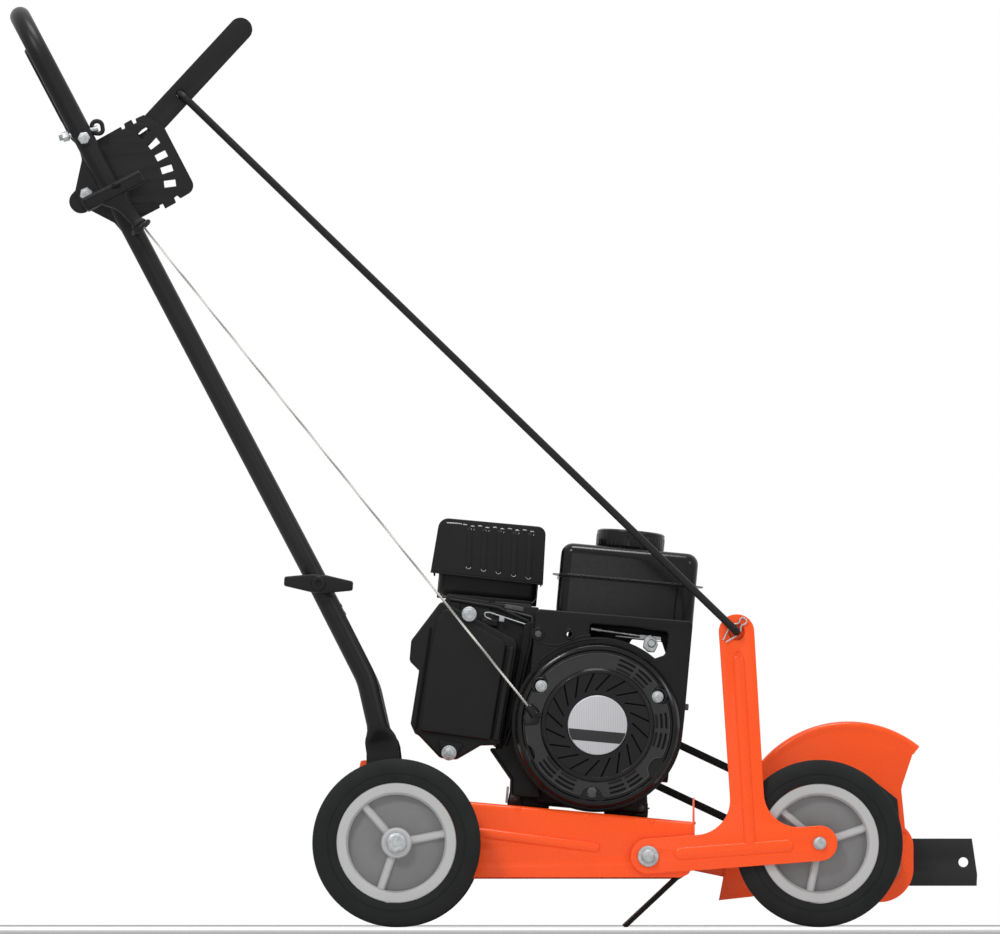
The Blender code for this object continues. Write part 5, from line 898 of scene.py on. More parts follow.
def wing_knob(side):
    """Moulded two-wing nut with a raised collar round its stud."""
    half = 36.5
    wing = sheet([rounded([
        (-half, -4.8, 2.5), (-7.6, -9.5, 8.0), (7.6, -9.5, 8.0), (half, -4.8, 2.5), (half, 4.8, 2.5),
        (7.6, 9.5, 8.0), (-7.6, 9.5, 8.0), (-half, 4.8, 2.5)], 8)], -150.0, -139.0, 2.2, 4)
    seat = spun([(-142.0, 0.0, 0.0), (-142.0, 9.4, 0.5), (-137.3, 10.2, 0.6), (-137.3, 0.0, 0.0)], 0.4, 3, 40)
    collar = spun([(-152.0, 3.6), (-152.2, 6.6, 0.8), (-151.0, 7.7, 0.8), (-148.0, 8.2, 0.3),
                   (-148.0, 3.6)], 0.3, 3, 40, True)
    wing = moved(join(wing, seat, collar), spin(math.radians(4.0 if side < 0 else 62.2)))
    stud = drum(-148.6, -92.0, 3.5, 24)
    place = PLAIN @ shift(KNOB_AT[0], 0.0, KNOB_AT[1])
    if side > 0:
        place = place @ MIRROR
    name = "wing_knob_right" if side < 0 else "wing_knob_left"
    piece(name + "_moulded", wing, place, "grained moulding", name, body=name, smooth=40.0)
    piece(name + "_stud", stud, place, "reel black and painted shadow", body=name, smooth=40.0)


class EDGER_OT_handle(bpy.types.Operator):
    """Bent tube handle, its crushed feet, wing knobs, bail, eye bolt and rope eye"""

    bl_idname = "edger.handle"
    bl_label = "Handle"

    def execute(self, context):
        end = handle_at(math.dist(HANDLE_TOP, KNOB_AT) + 27.0)
        path = bent([(end[0], -HANDLE_Y, end[2]), (HANDLE_TOP[0], -HANDLE_Y, HANDLE_TOP[1], 60.0),
                     (HANDLE_TOP[0], HANDLE_Y, HANDLE_TOP[1], 60.0), (end[0], HANDLE_Y, end[2])], 16)
        piece("upper_handle_tube", bar(path, 11.0, 8), PLAIN, "black coat", "upper_handle", smooth=60.0)
        plugs = []
        for s in (-1, 1):
            plugs.append(turned(
                softened([(0.0, 0.0, 0.0), (0.0, 11.4, 1.0), (5.0, 11.4, 1.0), (5.0, 9.0, 0.0)], 1.0, 3),
                (end[0], s * HANDLE_Y, end[2]), (HANDLE_DIR[0], 0.0, HANDLE_DIR[1]), 36))
        piece("tube_end_plugs", join(*plugs), PLAIN, "grained moulding", smooth=40.0)
        for side, name in ((-1, "lower_handle_right"), (1, "lower_handle_left")):
            piece(name + "_tube", lower_leg(side), PLAIN, "black coat", name, smooth=40.0)
        wing_knob(-1)
        wing_knob(1)
        for side, name in ((-1, "foot_bolt_right"), (1, "foot_bolt_left")):
            bolt = join(
                bolt_at(0.0, -128.2, 0.0, 12.0, 4.0, 8.4), drum(-128.0, -112.4, 3.0, 20),
                spun([(-120.1, 3.0), (-120.1, 6.2), (-114.7, 6.2), (-114.7, 3.0)], 0.5, 2, 6, True))
            if side > 0:
                bolt = moved(bolt, MIRROR)
            place = PLAIN @ shift(-15.6, 0.0, 150.0)
            piece(name + "_plated", bolt, place, "zinc", name, smooth=32.0)
        piece("bail_wire", bar(bail_points(), 3.15, 5), PLAIN, "black coat", "operator_bail",
              body="operator_bail", smooth=60.0)

        c = (-321.0, 852.8)
        eye_dir = (0.9676, 0.2529)
        mid = meet(HANDLE_TOP, HANDLE_DIR, (-319.5, 852.0), eye_dir)
        ring = rounded([(c[0] - 6.4, c[1] + 6.0, 5.0), (c[0] + 4.4, c[1] + 7.0, 5.6),
                        (c[0] + 6.8, c[1] - 7.0, 4.4), (c[0] - 4.8, c[1] - 6.6, 5.0)], 10)
        eye = bar(at_depth(ring, -HANDLE_Y), 2.4, 5, True)
        piece("eye_loop", eye, PLAIN, "black coat", smooth=60.0)
        axis = (eye_dir[0], 0.0, eye_dir[1])
        shank = turned([(-22.5, 0.0), (-22.5, 2.4), (-21.9, 3.0), (18.5, 3.0), (18.5, 0.0)],
                       (mid[0], -HANDLE_Y, mid[1]), axis, 24)
        nut = turned(softened([(-20.5, 0.0, 0.0), (-20.5, 5.6, 0.6), (-13.4, 5.6, 0.6),
                               (-13.4, 0.0, 0.0)], 0.5, 2), (mid[0], -HANDLE_Y, mid[1]), axis, 6)
        threads = []
        for k in range(5):
            threads.append(turned([(-24.2 + k * 0.8, 2.9), (-23.9 + k * 0.8, 3.25),
                                   (-23.6 + k * 0.8, 2.9)], (mid[0], -HANDLE_Y, mid[1]), axis, 20))
        piece("eye_bolt_plated", join(shank, nut, *threads), PLAIN, "zinc", "eye_bolt", smooth=32.0)
        return {"FINISHED"}


# Starter cord

EYE_AT = Vector((-272.4, -131.0, 743.0))
OUTLET_LOCAL = (-72.3, 2.7)
PULL_TRAVEL = 450.0
OUTLET = Vector((from_engine(*OUTLET_LOCAL)[0], -127.5, from_engine(*OUTLET_LOCAL)[1]))


def laid_cord(start, lean, length, side_v, third, strand, steps):
    """Three strands of one radius laid round a straight line, one turn in about 11 mm."""
    strands = []
    for s in range(3):
        rings = []
        for k in range(steps + 1):
            t = k / steps
            turn = 2 * math.pi * (s / 3 + t * 58)
            swing = side_v * math.cos(turn) + third * math.sin(turn)
            centre = start + lean * (t * length) + swing * strand * 0.7
            rings.append([centre + (side_v * math.cos(a) + third * math.sin(a)) * strand
                          for a in [2 * math.pi * i / 6 for i in range(6)]])
        strands.append(skin(rings))
    return join(*strands)


class EDGER_OT_starter_cord(bpy.types.Operator):
    """Braided starter cord from the recoil to its T grip, and the eye that guides it"""

    bl_idname = "edger.starter_cord"
    bl_label = "Starter cord"

    def execute(self, context):
        pull = (EYE_AT - OUTLET).normalized()
        side_v = Vector((0, 1, 0))
        side_v = (side_v - pull * side_v.dot(pull)).normalized()
        third = pull.cross(side_v)
        ring = [tuple(EYE_AT + (side_v * math.cos(t) + third * math.sin(t)) * 9.5)
                for t in [2 * math.pi * i / 40 for i in range(40)]]
        inner = EYE_AT + side_v * 9.5
        leg_x = HANDLE_TOP[0] + (HANDLE_TOP[1] - EYE_AT.z + 5.0) * HANDLE_DIR[0] / -HANDLE_DIR[1]
        seat = Vector((leg_x + 1.0, -114.6, EYE_AT.z - 5.0))
        stem_dir = (seat - inner).normalized()
        stem = turned([(-1.0, 0.0), (-1.0, 2.6), ((seat - inner).length - 1.0, 2.6),
                       ((seat - inner).length - 1.0, 0.0)], tuple(inner), tuple(stem_dir), 20)
        piece("rope_eye", join(bar(ring, 2.6, 5, True), stem), PLAIN, "black coat", "rope_guide", smooth=60.0)

        start = OUTLET + pull * 9.0
        neck = EYE_AT + pull * 2.9
        lean = (neck + Vector((2.8, 0.0, 0.0)) - start).normalized()
        length = (neck - start).length - 0.3
        piece("starter_cord_laid", laid_cord(start, lean, length, side_v, third, 0.88, 200), PLAIN,
              "cord", "starter_rope", smooth=70.0)
        top = start + lean * length
        drawn = laid_cord(
            top - lean * (PULL_TRAVEL + 12.0), lean, PULL_TRAVEL + 15.0, side_v, third, 0.7, 160)
        piece("starter_cord_drawn", drawn, PLAIN, "cord", body="starter_grip", smooth=70.0)

        rings = []
        for h, w, d in ((0.0, 8.4, 8.2), (1.2, 8.8, 8.6), (3.4, 7.4, 7.0), (6.0, 6.5, 6.1),
                        (16.0, 7.0, 6.2), (26.0, 8.4, 6.5), (33.0, 11.5, 7.4), (38.0, 15.5, 8.2),
                        (44.0, 18.0, 8.6)):
            ring = []
            for k in range(32):
                t = 2 * math.pi * k / 32
                cx = math.copysign(abs(math.cos(t)) ** 0.7, math.cos(t)) * w
                sy = math.copysign(abs(math.sin(t)) ** 0.7, math.sin(t)) * d
                ring.append((cx, sy, h))
            rings.append(ring)
        bar_bm = block(-35.0, 35.0, -10.0, 10.0, -1.6, 13.4, 3.4, 6)
        ridge = join(block(-33.0, 33.0, -10.5, -9.2, 9.0, 9.9, 0.35, 2),
                     block(-31.0, 31.0, -10.3, -9.2, 0.4, 1.2, 0.3, 2))
        hollow = turned([(0.0, 0.0), (0.0, 5.4), (0.3, 5.8), (0.3, 0.0)], (0, 0, 12.85), (0, 0, 1), 32)
        bars = moved(join(bar_bm, ridge, hollow), shift(0.0, 0.0, 40.0) @ spin(math.radians(12.0)))
        place = PLAIN @ Matrix.Translation(neck * MM) @ spin(math.atan2(pull.x, pull.z))
        piece("starter_grip_moulded", join(skin(rings), bars), place, "grained moulding", "starter_grip",
              body="starter_grip", smooth=38.0)
        # Painted shadow: a dark slot sheet where the cord's knot hole opens on the grip
        mouth_shadow = sheet([slot((-298.9, 786.0), 10.4, 5.4, math.radians(14.0), 0.49, 8)], -141.3, -140.4, 0.2, 1)
        piece("grip_knot_mouth_shadow", mouth_shadow, PLAIN, "reel black and painted shadow", body="starter_grip")
        return {"FINISHED"}


# Cutter: plate, spindle, belt drive, blade and guard

def sector(profile, c, a0, a1, steps):
    """Closed (y, radius) section swept round c from a0 to a1."""
    turns = [a0 + (a1 - a0) * i / steps for i in range(steps + 1)]
    return skin([[(c[0] + r * math.cos(a), y, c[1] + r * math.sin(a)) for y, r in profile] for a in turns])


def pulley(centre):
    """Pressed V pulley: two dished cheeks, a groove and a clamping boss."""
    profile = softened([(85.0, 8.3), (85.0, 13.0), (86.4, 20.0), (85.0, 24.5), (85.2, 27.6), (86.8, 28.0),
                        (87.1, 27.6), (88.1, 20.8), (96.9, 20.8), (97.9, 27.6), (98.2, 28.0),
                        (99.8, 27.6), (100.0, 24.5), (98.6, 20.0), (100.0, 13.0), (100.0, 8.3)], 0.5, 3)
    return lathe(profile, 72, True, at=centre)


def blade_bar():
    """Flat bar blade with a hole near each tip; a ground bevel is laid along each of its two long edges."""
    outline = [(113.9, -25.75), (114.4, -13.0), (108.8, 25.75), (-113.9, 25.75), (-114.4, 13.0),
               (-108.8, -25.75)]
    flat_bar = sheet([outline, circle((0.0, 0.0), 8.3, 40), circle((99.4, 0.0), 5.3, 40),
                      circle((-99.4, 0.0), 5.3, 40)], 106.4, 109.6, 0.5, 2)
    bevels = []
    for turn in (0.0, math.pi):
        bm = bmesh.new()
        rows = []
        for x0, x1, y, z in ((-104.0, 108.6, 106.36, -20.4), (-105.6, 110.4, 107.9, -25.7)):
            rows.append([bm.verts.new((x * MM, y * MM, z * MM)) for x in (x0, x1)])
        bm.faces.new((rows[0][0], rows[0][1], rows[1][1], rows[1][0]))
        bevels.append(moved(bm, spin(turn)))
    return join(flat_bar, *bevels)


class EDGER_OT_cutter(bpy.types.Operator):
    """Spindle plate and housing, belt and pulleys, blade, guard with its rolled rim, skirt and rear flap"""

    bl_idname = "edger.cutter"
    bl_label = "Cutter"

    def execute(self, context):
        lobe = 43.6
        outline = rounded([
            (315.8, 62.0, 0.0), (315.8, 93.0, 0.0), (SPINDLE[0] - 10.0, SPINDLE[1] + lobe, 30.0),
            (SPINDLE[0] + lobe, SPINDLE[1] + lobe, lobe * 0.98),
            (SPINDLE[0] + lobe, SPINDLE[1] - lobe, lobe * 0.98),
            (SPINDLE[0] - 30.0, SPINDLE[1] - lobe, 30.0)], 20)
        face = sheet([outline, circle(SPINDLE, 16.3, 48)], 78.0, 81.0, 1.0, 3)
        ribs = pressed_bead((345.0, 79.0), (455.0, 73.0), 12.0, 78.0, 1.8)
        flange = block(315.8, 318.8, 48.0, 79.0, 64.0, 92.0, 0.8, 3)
        piece("spindle_plate_pressed", join(face, ribs, flange), PLAIN, "orange", "spindle_plate",
              smooth=40.0)
        heads = []
        for z in (71.0, 85.0):
            one = moved(hex_bolt(10.0, 4.4, 8.0), spin(math.radians(90), "Z"))
            heads.append(moved(one, shift(318.8, 62.0, z)))
        piece("plate_bolts", join(*heads), PLAIN, "zinc", smooth=32.0)

        shell = spun([(58.0, 8.3), (58.0, 21.0), (60.0, 24.0), (71.0, 24.0), (73.0, 29.5), (77.7, 29.5),
                      (77.7, 16.0), (83.0, 16.0), (83.0, 8.3)], 1.0, 3, 72, True, at=SPINDLE)
        flats = []
        for k in range(3):
            a = math.radians(30 + 120 * k)
            flats.append(bolt_at(
                SPINDLE[0] + 26.0 * math.cos(a), 73.4, SPINDLE[1] + 26.0 * math.sin(a), 6.0, 2.6))
        piece("spindle_casting", join(shell, *flats), PLAIN, "cast", "spindle_housing")
        shaft = join(
            lathe([(56.0, 0.0), (56.0, 7.2), (56.8, 8.0), (119.0, 8.0), (120.0, 7.0), (120.0, 0.0)], 48,
                  at=SPINDLE),
            spun([(100.8, 8.0), (100.8, 15.0), (106.1, 15.0), (106.1, 8.0)], 0.6, 3, 48, True,
                 at=SPINDLE),
            spun([(109.9, 8.0), (109.9, 14.0), (112.4, 14.0), (112.4, 8.0)], 0.5, 3, 48, True,
                 at=SPINDLE),
            spun([(112.4, 8.0), (112.4, 10.5), (119.6, 10.5), (120.6, 8.0)], 0.4, 2, 6, True, at=SPINDLE))
        piece("spindle_turned", shaft, PLAIN, "ground steel", "spindle_shaft", body="spindle")
        piece("driven_pulley_spun", pulley(SPINDLE), PLAIN, "zinc", "driven_pulley", body="spindle")
        piece("drive_pulley_spun", pulley(CRANK), PLAIN, "zinc", "drive_pulley", body="crankshaft")
        d = unit(CRANK, SPINDLE)
        a = math.atan2(d[1], d[0])

        def line(r):
            back = arc(CRANK, r, a + math.pi / 2, a + 3 * math.pi / 2, 40)
            return back + arc(SPINDLE, r, a - math.pi / 2, a + math.pi / 2, 40)

        loop = sheet([line(29.2), line(21.2)], 87.5, 97.5, 0.9, 3)
        piece("drive_belt_wrapped", loop, PLAIN, "belt", "drive_belt", smooth=50.0)

        knife = blade_bar()
        place = PLAIN @ shift(SPINDLE[0], 0.0, SPINDLE[1])
        piece("blade_ground", knife, place, "blade", "blade", body="spindle", smooth=20.0)

        c = (487.8, 99.2)
        big = 124.2
        a0, a1 = math.radians(139.0), math.radians(51.4)
        inner_r = big - 6.0
        face_outline = [(346.6, 29.1), (352.9, 61.7)]
        face_outline += [along(c, (math.cos(t), math.sin(t)), big)
                         for t in [math.radians(178 - 3.58 * i) for i in range(12)]]
        face_outline += arc(c, inner_r - 4.0, a0, a1 + 0.012, 60)
        face_outline += [(546.1, 154.2), (545.0, 149.3), (549.4, 103.5), (545.4, 103.0), (536.0, 125.0)]
        face_outline += arc(SPINDLE, 47.6, math.radians(65.0), math.radians(165.0), 24)
        face_outline += [(452.0, 60.0), (383.1, 33.1)]
        face = sheet([face_outline], 75.2, 77.7, 0.7, 3)
        section = [(75.22, inner_r - 5.5), (75.2, big - 6.0)]
        section += [(81.2 - 6.0 * math.cos(t), big - 6.0 + 6.0 * math.sin(t))
                    for t in [math.pi / 2 * i / 8 for i in range(1, 9)]]
        section += [(116.0, big), (117.2, big - 0.6), (117.2, big - 2.0), (116.0, big - 2.5)]
        section += [(81.2 - 3.5 * math.cos(t), big - 6.0 + 3.5 * math.sin(t))
                    for t in [math.pi / 2 * i / 6 for i in range(6, -1, -1)]]
        section += [(77.68, inner_r - 5.5)]
        rim = sector(section, c, a0, a1, 90)
        piece("blade_guard_pressed", join(face, rim), PLAIN, "orange", "blade_guard", smooth=30.0)
        skirt_bm = sheet([rounded([
            (500.0, 165.0, 1.0), (505.0, 166.8, 1.0), (540.4, 138.9, 3.0), (543.6, 104.0, 2.0),
            (512.0, 120.0, 2.0), (498.0, 140.0, 1.0)], 5)], 73.3, 74.9, 0.5, 2)
        piece("guard_skirt_cut", skirt_bm, PLAIN, "rubber", "guard_skirt", smooth=40.0)

        top, foot = (298.0, 52.0), (243.6, 1.2)
        n = left_of(unit(top, foot))
        strip = sheet([rounded([
            (312.2, 96.0, 0.5), (308.2, 96.0, 0.5), (308.2, 62.0, 6.0), (*along(top, n, -2.0), 10.0),
            (*along(foot, n, -2.0), 0.8), (*along(foot, n, 2.0), 0.8), (*along(top, n, 2.0), 12.0),
            (312.2, 58.0, 6.0)], 8)], -60.0, 118.0, 0.6, 2)
        piece("rear_flap_cut", strip, PLAIN, "rubber", "rear_flap", smooth=30.0)
        return {"FINISHED"}


# Engine. Everything here is drawn in the engine's own frame, crank at the origin, tipped nose down

def flat(outlines, z0, z1, edge=0.6, steps=2):
    """Level piece from z0 to z1; its outlines are (x, y)."""
    return moved(sheet(outlines, -z1, -z0, edge, steps), spin(math.radians(-90), "X"))


def shroud_outline(inset):
    r = 91.0 - inset
    left_x = -79.0 + inset
    a = math.pi - math.acos(min(1.0, -(left_x - CRANK_LOCAL[0]) / r))
    foot = CRANK_LOCAL[1] + r * math.sin(a)
    top = rounded([(88.2 - inset, 12.0), (88.2 - inset, 115.0 - inset, 5.0), (left_x, 113.2 - inset, 5.0),
                   (left_x, foot)], 10, False)
    return top[:-1] + arc(CRANK_LOCAL, r, a, 2 * math.pi - 0.02, 96)


def window_outline():
    """Opening over the starter ring: straight along the top, following the ring below."""
    low = arc(CRANK_LOCAL, 94.2, math.radians(54.6), math.radians(99.0), 16)
    return [(60.0, 76.0), (63.0, 80.0), (63.0, 99.0), (61.0, 101.6), (30.0, 103.2), (-18.0, 102.6),
            (-20.4, 100.4), (-20.4, 92.0)] + low[::-1]


def swirl_slots():
    """Thin slots of the starter face, each laid back 36 degrees from its radius."""
    out = []
    for k in range(20):
        t = math.radians(15.9 + 18.0 * k)
        mid = (45.6 * math.cos(t), 45.6 * math.sin(t))
        out.append(slot(mid, 22.6, 1.5, t - math.radians(36.0), 0.45, 4))
    return out


def polar(r, degrees):
    return (r * math.cos(math.radians(degrees)), r * math.sin(math.radians(degrees)))


# Groups of curved vents round the starter by first and last angle, and the let-in places of its raised band
VENT_ARCS = ((-15.0, -2.2), (2.8, 15.2), (44.0, 58.0), (62.0, 76.0), (218.0, 234.0), (238.0, 254.0),
             (286.0, 299.0), (303.0, 315.0))
NOTCHES = ((-74.5, -38.5, 12.0), (69.5, -40.5, 12.5), (0.4, -76.5, 12.0), (-66.0, 38.5, 10.6),
           (64.5, 38.0, 10.6))


def curved_slot(r, a0, a1, width):
    """Slot that follows a circle about the crank, with rounded ends."""
    outer = [polar(r + width / 2, a0 + (a1 - a0) * k / 10) for k in range(11)]
    inner = [polar(r - width / 2, a1 - (a1 - a0) * k / 10) for k in range(11)]
    return outer + [polar(r, a1 + 0.6)] + inner + [polar(r, a0 - 0.6)]


def plateau_outline():
    """Raised band's outer edge: a circle let in round each screw and boss."""
    out = []
    for k in range(360):
        x, z = polar(76.2, k)
        hits = [n for n in NOTCHES if math.dist((x, z), n[:2]) < n[2]]
        if not hits:
            out.append((x, z))
            continue
        nx, nz, nr = hits[-1]
        ux, uz = polar(1.0, k)
        b = nx * ux + nz * uz
        reach = b - math.sqrt(max(0.0, nr * nr - (nx * nx + nz * nz - b * b)))
        out.append((ux * max(62.0, reach), uz * max(62.0, reach)))
    return out


def shell_ring(inner, outer, y, rise, steps=5):
    """Raised band between two radii with rolled shoulders, drawn toward -Y."""
    mid = []
    for k in range(steps + 1):
        t = math.pi * k / steps
        mid.append((y - rise * math.sin(t) ** 0.7, inner + (outer - inner) * k / steps))
    return lathe([(y + 1.0, inner)] + mid + [(y + 1.0, outer)], 128, True)


class EDGER_OT_blower(bpy.types.Operator):
    """Stamped blower housing with its wing, recoil starter with swirled slots and vents, disc and flywheel"""

    bl_idname = "edger.blower"
    bl_label = "Blower and recoil starter"

    def housing(self):
        front = sheet([shroud_outline(0.0), circle(CRANK_LOCAL, 72.0, 96), window_outline(),
                       circle((-41.6, 89.4), 2.7, 24)], -112.0, -106.5, 2.2, 4)
        wall = sheet([shroud_outline(0.0), shroud_outline(3.0)], -110.0, -54.0, 0.5, 2)
        swage = bar(at_depth(arc(CRANK_LOCAL, 92.0, math.radians(139), math.radians(95), 30), -111.4), 1.2, 4)
        fold = join(bar([(-70.4, -111.4, 72.0), (-71.2, -111.4, 50.0)], 1.1, 4),
                    bar([(-77.0, -111.6, 77.0), (-52.0, -111.6, 76.0), (-28.0, -111.6, 88.4),
                         (-19.0, -111.6, 90.4)], 1.0, 4))
        piece("blower_housing_stamped", join(front, wall, swage, fold), ENGINE, "stoved steel",
              "blower_housing")
        wing = rounded([(-76.0, 101.0, 0.0), (-90.0, 99.5, 6.0), (-91.0, 80.0, 4.0), (-101.8, -36.5, 0.0),
                        (-116.3, -38.0, 2.0), (-88.4, -71.5, 3.0), (-87.0, -86.0, 2.0),
                        (-57.0, -86.0, 0.0)], 6)
        wing += arc(CRANK_LOCAL, 87.4, math.radians(229.0), math.radians(152.0), 30)
        side = sheet([wing], -72.0, -69.0, 0.8, 3)
        flute = bar(bent([(-80.6, -73.2, 96.0), (-81.4, -73.2, 76.0, 10.0), (-93.4, -73.2, -12.0, 20.0),
                          (-99.0, -73.2, -34.0)], 8), 2.6, 6)
        second = bar([(-95.4, -72.6, 40.0), (-100.6, -72.6, -33.0)], 1.5, 5)
        gusset = bar([(-113.0, -72.6, -39.0), (-88.6, -72.6, -68.0), (-87.6, -72.6, -84.0)], 1.8, 5)
        piece("blower_housing_wing", join(side, flute, second, gusset), ENGINE, "stoved steel")
        rims = join(
            spun([(-112.4, 3.0), (-112.9, 5.2, 0.6), (-112.0, 6.2, 0.3), (-110.0, 5.8)], 0.3, 2, 32,
                 at=(-41.6, 89.4)),
            lathe([(-113.2, 4.6), (-113.4, 6.0), (-112.6, 7.0), (-111.0, 6.6)], 32, at=(-74.6, 86.6)))
        piece("housing_swaged_holes", rims, ENGINE, "stoved steel")
        small = bolt_at(-74.6, -111.4, 86.6, 7.0, 2.0)
        piece("housing_screw", small, ENGINE, "dark bolt", smooth=32.0)
        backing = sheet([
            rounded([(-24.0, 84.0, 1.0), (22.0, 84.0, 1.0), (26.0, 92.0, 2.0), (58.0, 92.0, 1.0),
                     (64.0, 78.0, 1.0), (70.0, 78.0, 1.0), (70.0, 105.0, 1.0), (-24.0, 105.0, 1.0)], 3),
            rounded([(34.0, 93.6, 0.6), (57.0, 92.6, 0.6), (56.6, 97.2, 0.6), (34.0, 98.0, 0.6)], 3)],
            -60.0, -58.4, 0.3, 1)
        piece("housing_back_plate", backing, ENGINE, "stoved steel")
        lever = join(sheet([rounded([(38.6, 94.6, 1.0), (37.6, 83.0, 2.0), (43.4, 78.4, 3.0),
                                     (50.4, 78.6, 2.0), (53.6, 86.6, 3.0), (50.8, 93.4, 3.0),
                                     (44.4, 97.4, 2.0)], 5)], -101.0, -97.0, 1.4, 3),
                     spun([(-102.6, 0.0), (-102.6, 3.4, 0.8), (-101.0, 4.6, 0.6), (-97.0, 4.6, 0.0),
                           (-97.0, 0.0, 0.0)], 0.5, 3, 32, at=(46.6, 88.0)))
        piece("governor_casting", lever, ENGINE, "zinc")
        rod = join(bar([(-19.0, -98.0, 97.8), (-8.0, -98.0, 97.0)], 1.9, 5),
                   bar([(-9.0, -98.0, 97.0), (34.0, -98.0, 95.0)], 1.0, 4),
                   bar([(8.0, -98.0, 92.4), (38.0, -98.0, 92.0)], 0.8, 4))
        piece("governor_rod_end", rod, ENGINE, "bright steel and painted highlight", smooth=60.0)
        tie = moved(hex_bolt(6.4, 4.0), spin(math.radians(90), "Z"))
        piece("housing_side_screw", moved(tie, shift(87.9, -96.0, 24.0)), ENGINE, "dark bolt", smooth=32.0)

    def starter(self):
        ring = spun([(-128.6, 54.0), (-131.6, 55.2, 0.6), (-132.0, 57.2, 0.8), (-130.4, 59.4, 0.8),
                     (-127.8, 60.6, 0.8), (-127.2, 74.0, 1.6), (-124.8, 76.6, 1.0), (-124.4, 79.0, 1.0),
                     (-126.0, 81.0, 1.6), (-124.4, 84.6, 2.0), (-119.4, 87.2, 1.6), (-112.3, 87.8, 0.4),
                     (-112.3, 74.8), (-121.0, 72.0), (-124.0, 57.0)], 0.5, 3, 128, True)
        parts = [ring, shell_ring(57.6, 60.6, -128.4, 1.2)]
        for x, z, r in ((-63.1, 36.0, 8.4), (60.7, 35.8, 8.4)):
            parts.append(spun([
                (-125.4, r - 0.8), (-127.9, r - 0.6, 0.4), (-128.1, r + 0.6, 0.5), (-126.4, r + 1.8, 0.6),
                (-124.0, r + 2.2), (-124.0, r - 0.8)], 0.3, 2, 48, True, at=(x, z)))
        for a0, a1 in ((96.0, 138.0), (158.0, 200.0)):
            for r in (63.4, 73.0):
                groove = [polar(r, a0 + (a1 - a0) * k / 24) for k in range(25)]
                parts.append(bar(at_depth(groove, -127.7), 0.9, 4))
        piece("recoil_cover_moulded", join(*parts), ON_CRANK, "gloss moulding", "recoil_cover", smooth=32.0)
        face = sheet([circle((0.0, 0.0), 56.0, 128), circle((0.0, 0.0), 27.0, 64)] + swirl_slots(),
                     -130.8, -128.6, 0.3, 0)
        piece("recoil_grille", face, ON_CRANK, "grained moulding", "recoil_cover", smooth=20.0)

        vents = []
        for a0, a1 in VENT_ARCS:
            for r in (62.8, 68.0, 73.0):
                vents.append(curved_slot(r, a0, a1, 2.0))
        raised = sheet([plateau_outline(), circle((0.0, 0.0), 60.2, 128)] + vents, -128.6, -126.8, 0.4, 0)
        piece("recoil_plateau", raised, ON_CRANK, "satin moulding", "recoil_cover", smooth=20.0)
        # Painted shadow: near-black sheets seen through the vents in the raised band
        vent_shadow_sheets = []
        for a0, a1 in VENT_ARCS:
            shape = [polar(76.0, a0 - 1.6 + (a1 - a0 + 3.2) * k / 16) for k in range(17)]
            shape += [polar(60.6, a1 + 1.6 - (a1 - a0 + 3.2) * k / 16) for k in range(17)]
            vent_shadow_sheets.append(sheet([shape], -127.6, -126.9, 0.1, 0))
        piece("recoil_vent_shadows", join(*vent_shadow_sheets), ON_CRANK, "reel black and painted shadow")
        # Painted highlights: a pale line round the raised band and an arc on the upper left of the inner rim
        painted_highlight_arc = [polar(56.6, 100.0 + 2.5 * k) for k in range(27)]
        edges = [bar(at_depth(plateau_outline(), -128.5), 0.34, 3, True), bar(at_depth(painted_highlight_arc, -130.9), 0.3, 3)]
        piece("recoil_painted_highlights", join(*edges), ON_CRANK, "painted highlight moulding")

        # Reel behind the slots in near-black: a real part, its colour painted shadow in the starter's hollow
        back = lathe([(-128.2, 0.0), (-128.2, 27.5), (-127.4, 30.0), (-126.6, 56.0), (-125.4, 57.0),
                      (-125.4, 0.0)], 64)
        piece("recoil_reel_behind", back, ON_CRANK, "reel black and painted shadow", smooth=32.0)
        pull = Matrix.Rotation(-TILT, 3, "Y") @ (EYE_AT - OUTLET).normalized()
        boss = turned(softened([(-4.0, 0.0), (-4.0, 6.2), (7.0, 5.4), (8.6, 4.2), (8.6, 2.1), (3.0, 2.1)],
                               0.5, 3), (OUTLET_LOCAL[0], -127.5, OUTLET_LOCAL[1]), tuple(pull), 40)
        hood = sheet([rounded([
            (-83.0, -4.0, 2.0), (-80.0, -12.0, 2.0), (-66.0, -10.0, 4.0), (-64.0, 2.0, 3.0),
            (-70.0, 10.0, 3.0), (-80.0, 8.0, 3.0)], 5)], -130.4, -121.0, 2.2, 4)
        lug = block(-70.0, -62.0, -131.2, -126.0, -1.2, 1.2, 0.6, 2)
        piece("cord_outlet", join(boss, hood, lug), ENGINE, "gloss moulding", smooth=40.0)
        bolts = []
        for x, z in ((-63.1, 36.0), (60.7, 35.8)):
            bolts.append(bolt_at(x, -126.2, z, 9.0, 3.4, 6.2, True, 0.2))
        piece("recoil_bolts", join(*bolts), ON_CRANK, "zinc", smooth=32.0)
        low = bolt_at(0.4, -125.4, -70.2, 9.4, 3.6, 6.6, True, 0.2)
        piece("recoil_bolt_low", low, ON_CRANK, "dark bolt", smooth=32.0)
        disc = spun([(-132.8, 0.0), (-132.8, 30.6, 0.5), (-132.2, 31.5, 0.4), (-131.0, 31.5),
                     (-131.0, 0.0)], 0.3, 2, 96)
        piece("badge_disc", disc, ON_CRANK, "badge", "recoil_disc", smooth=32.0)
        band = [polar(31.0, v) for v in range(-35, -10, 3)]
        band = [(-x, z) for x, z in band] + band[::-1]
        piece("badge_dark_band", sheet([band], -133.0, -132.7, 0.05, 1), ON_CRANK, "badge band", smooth=40.0)

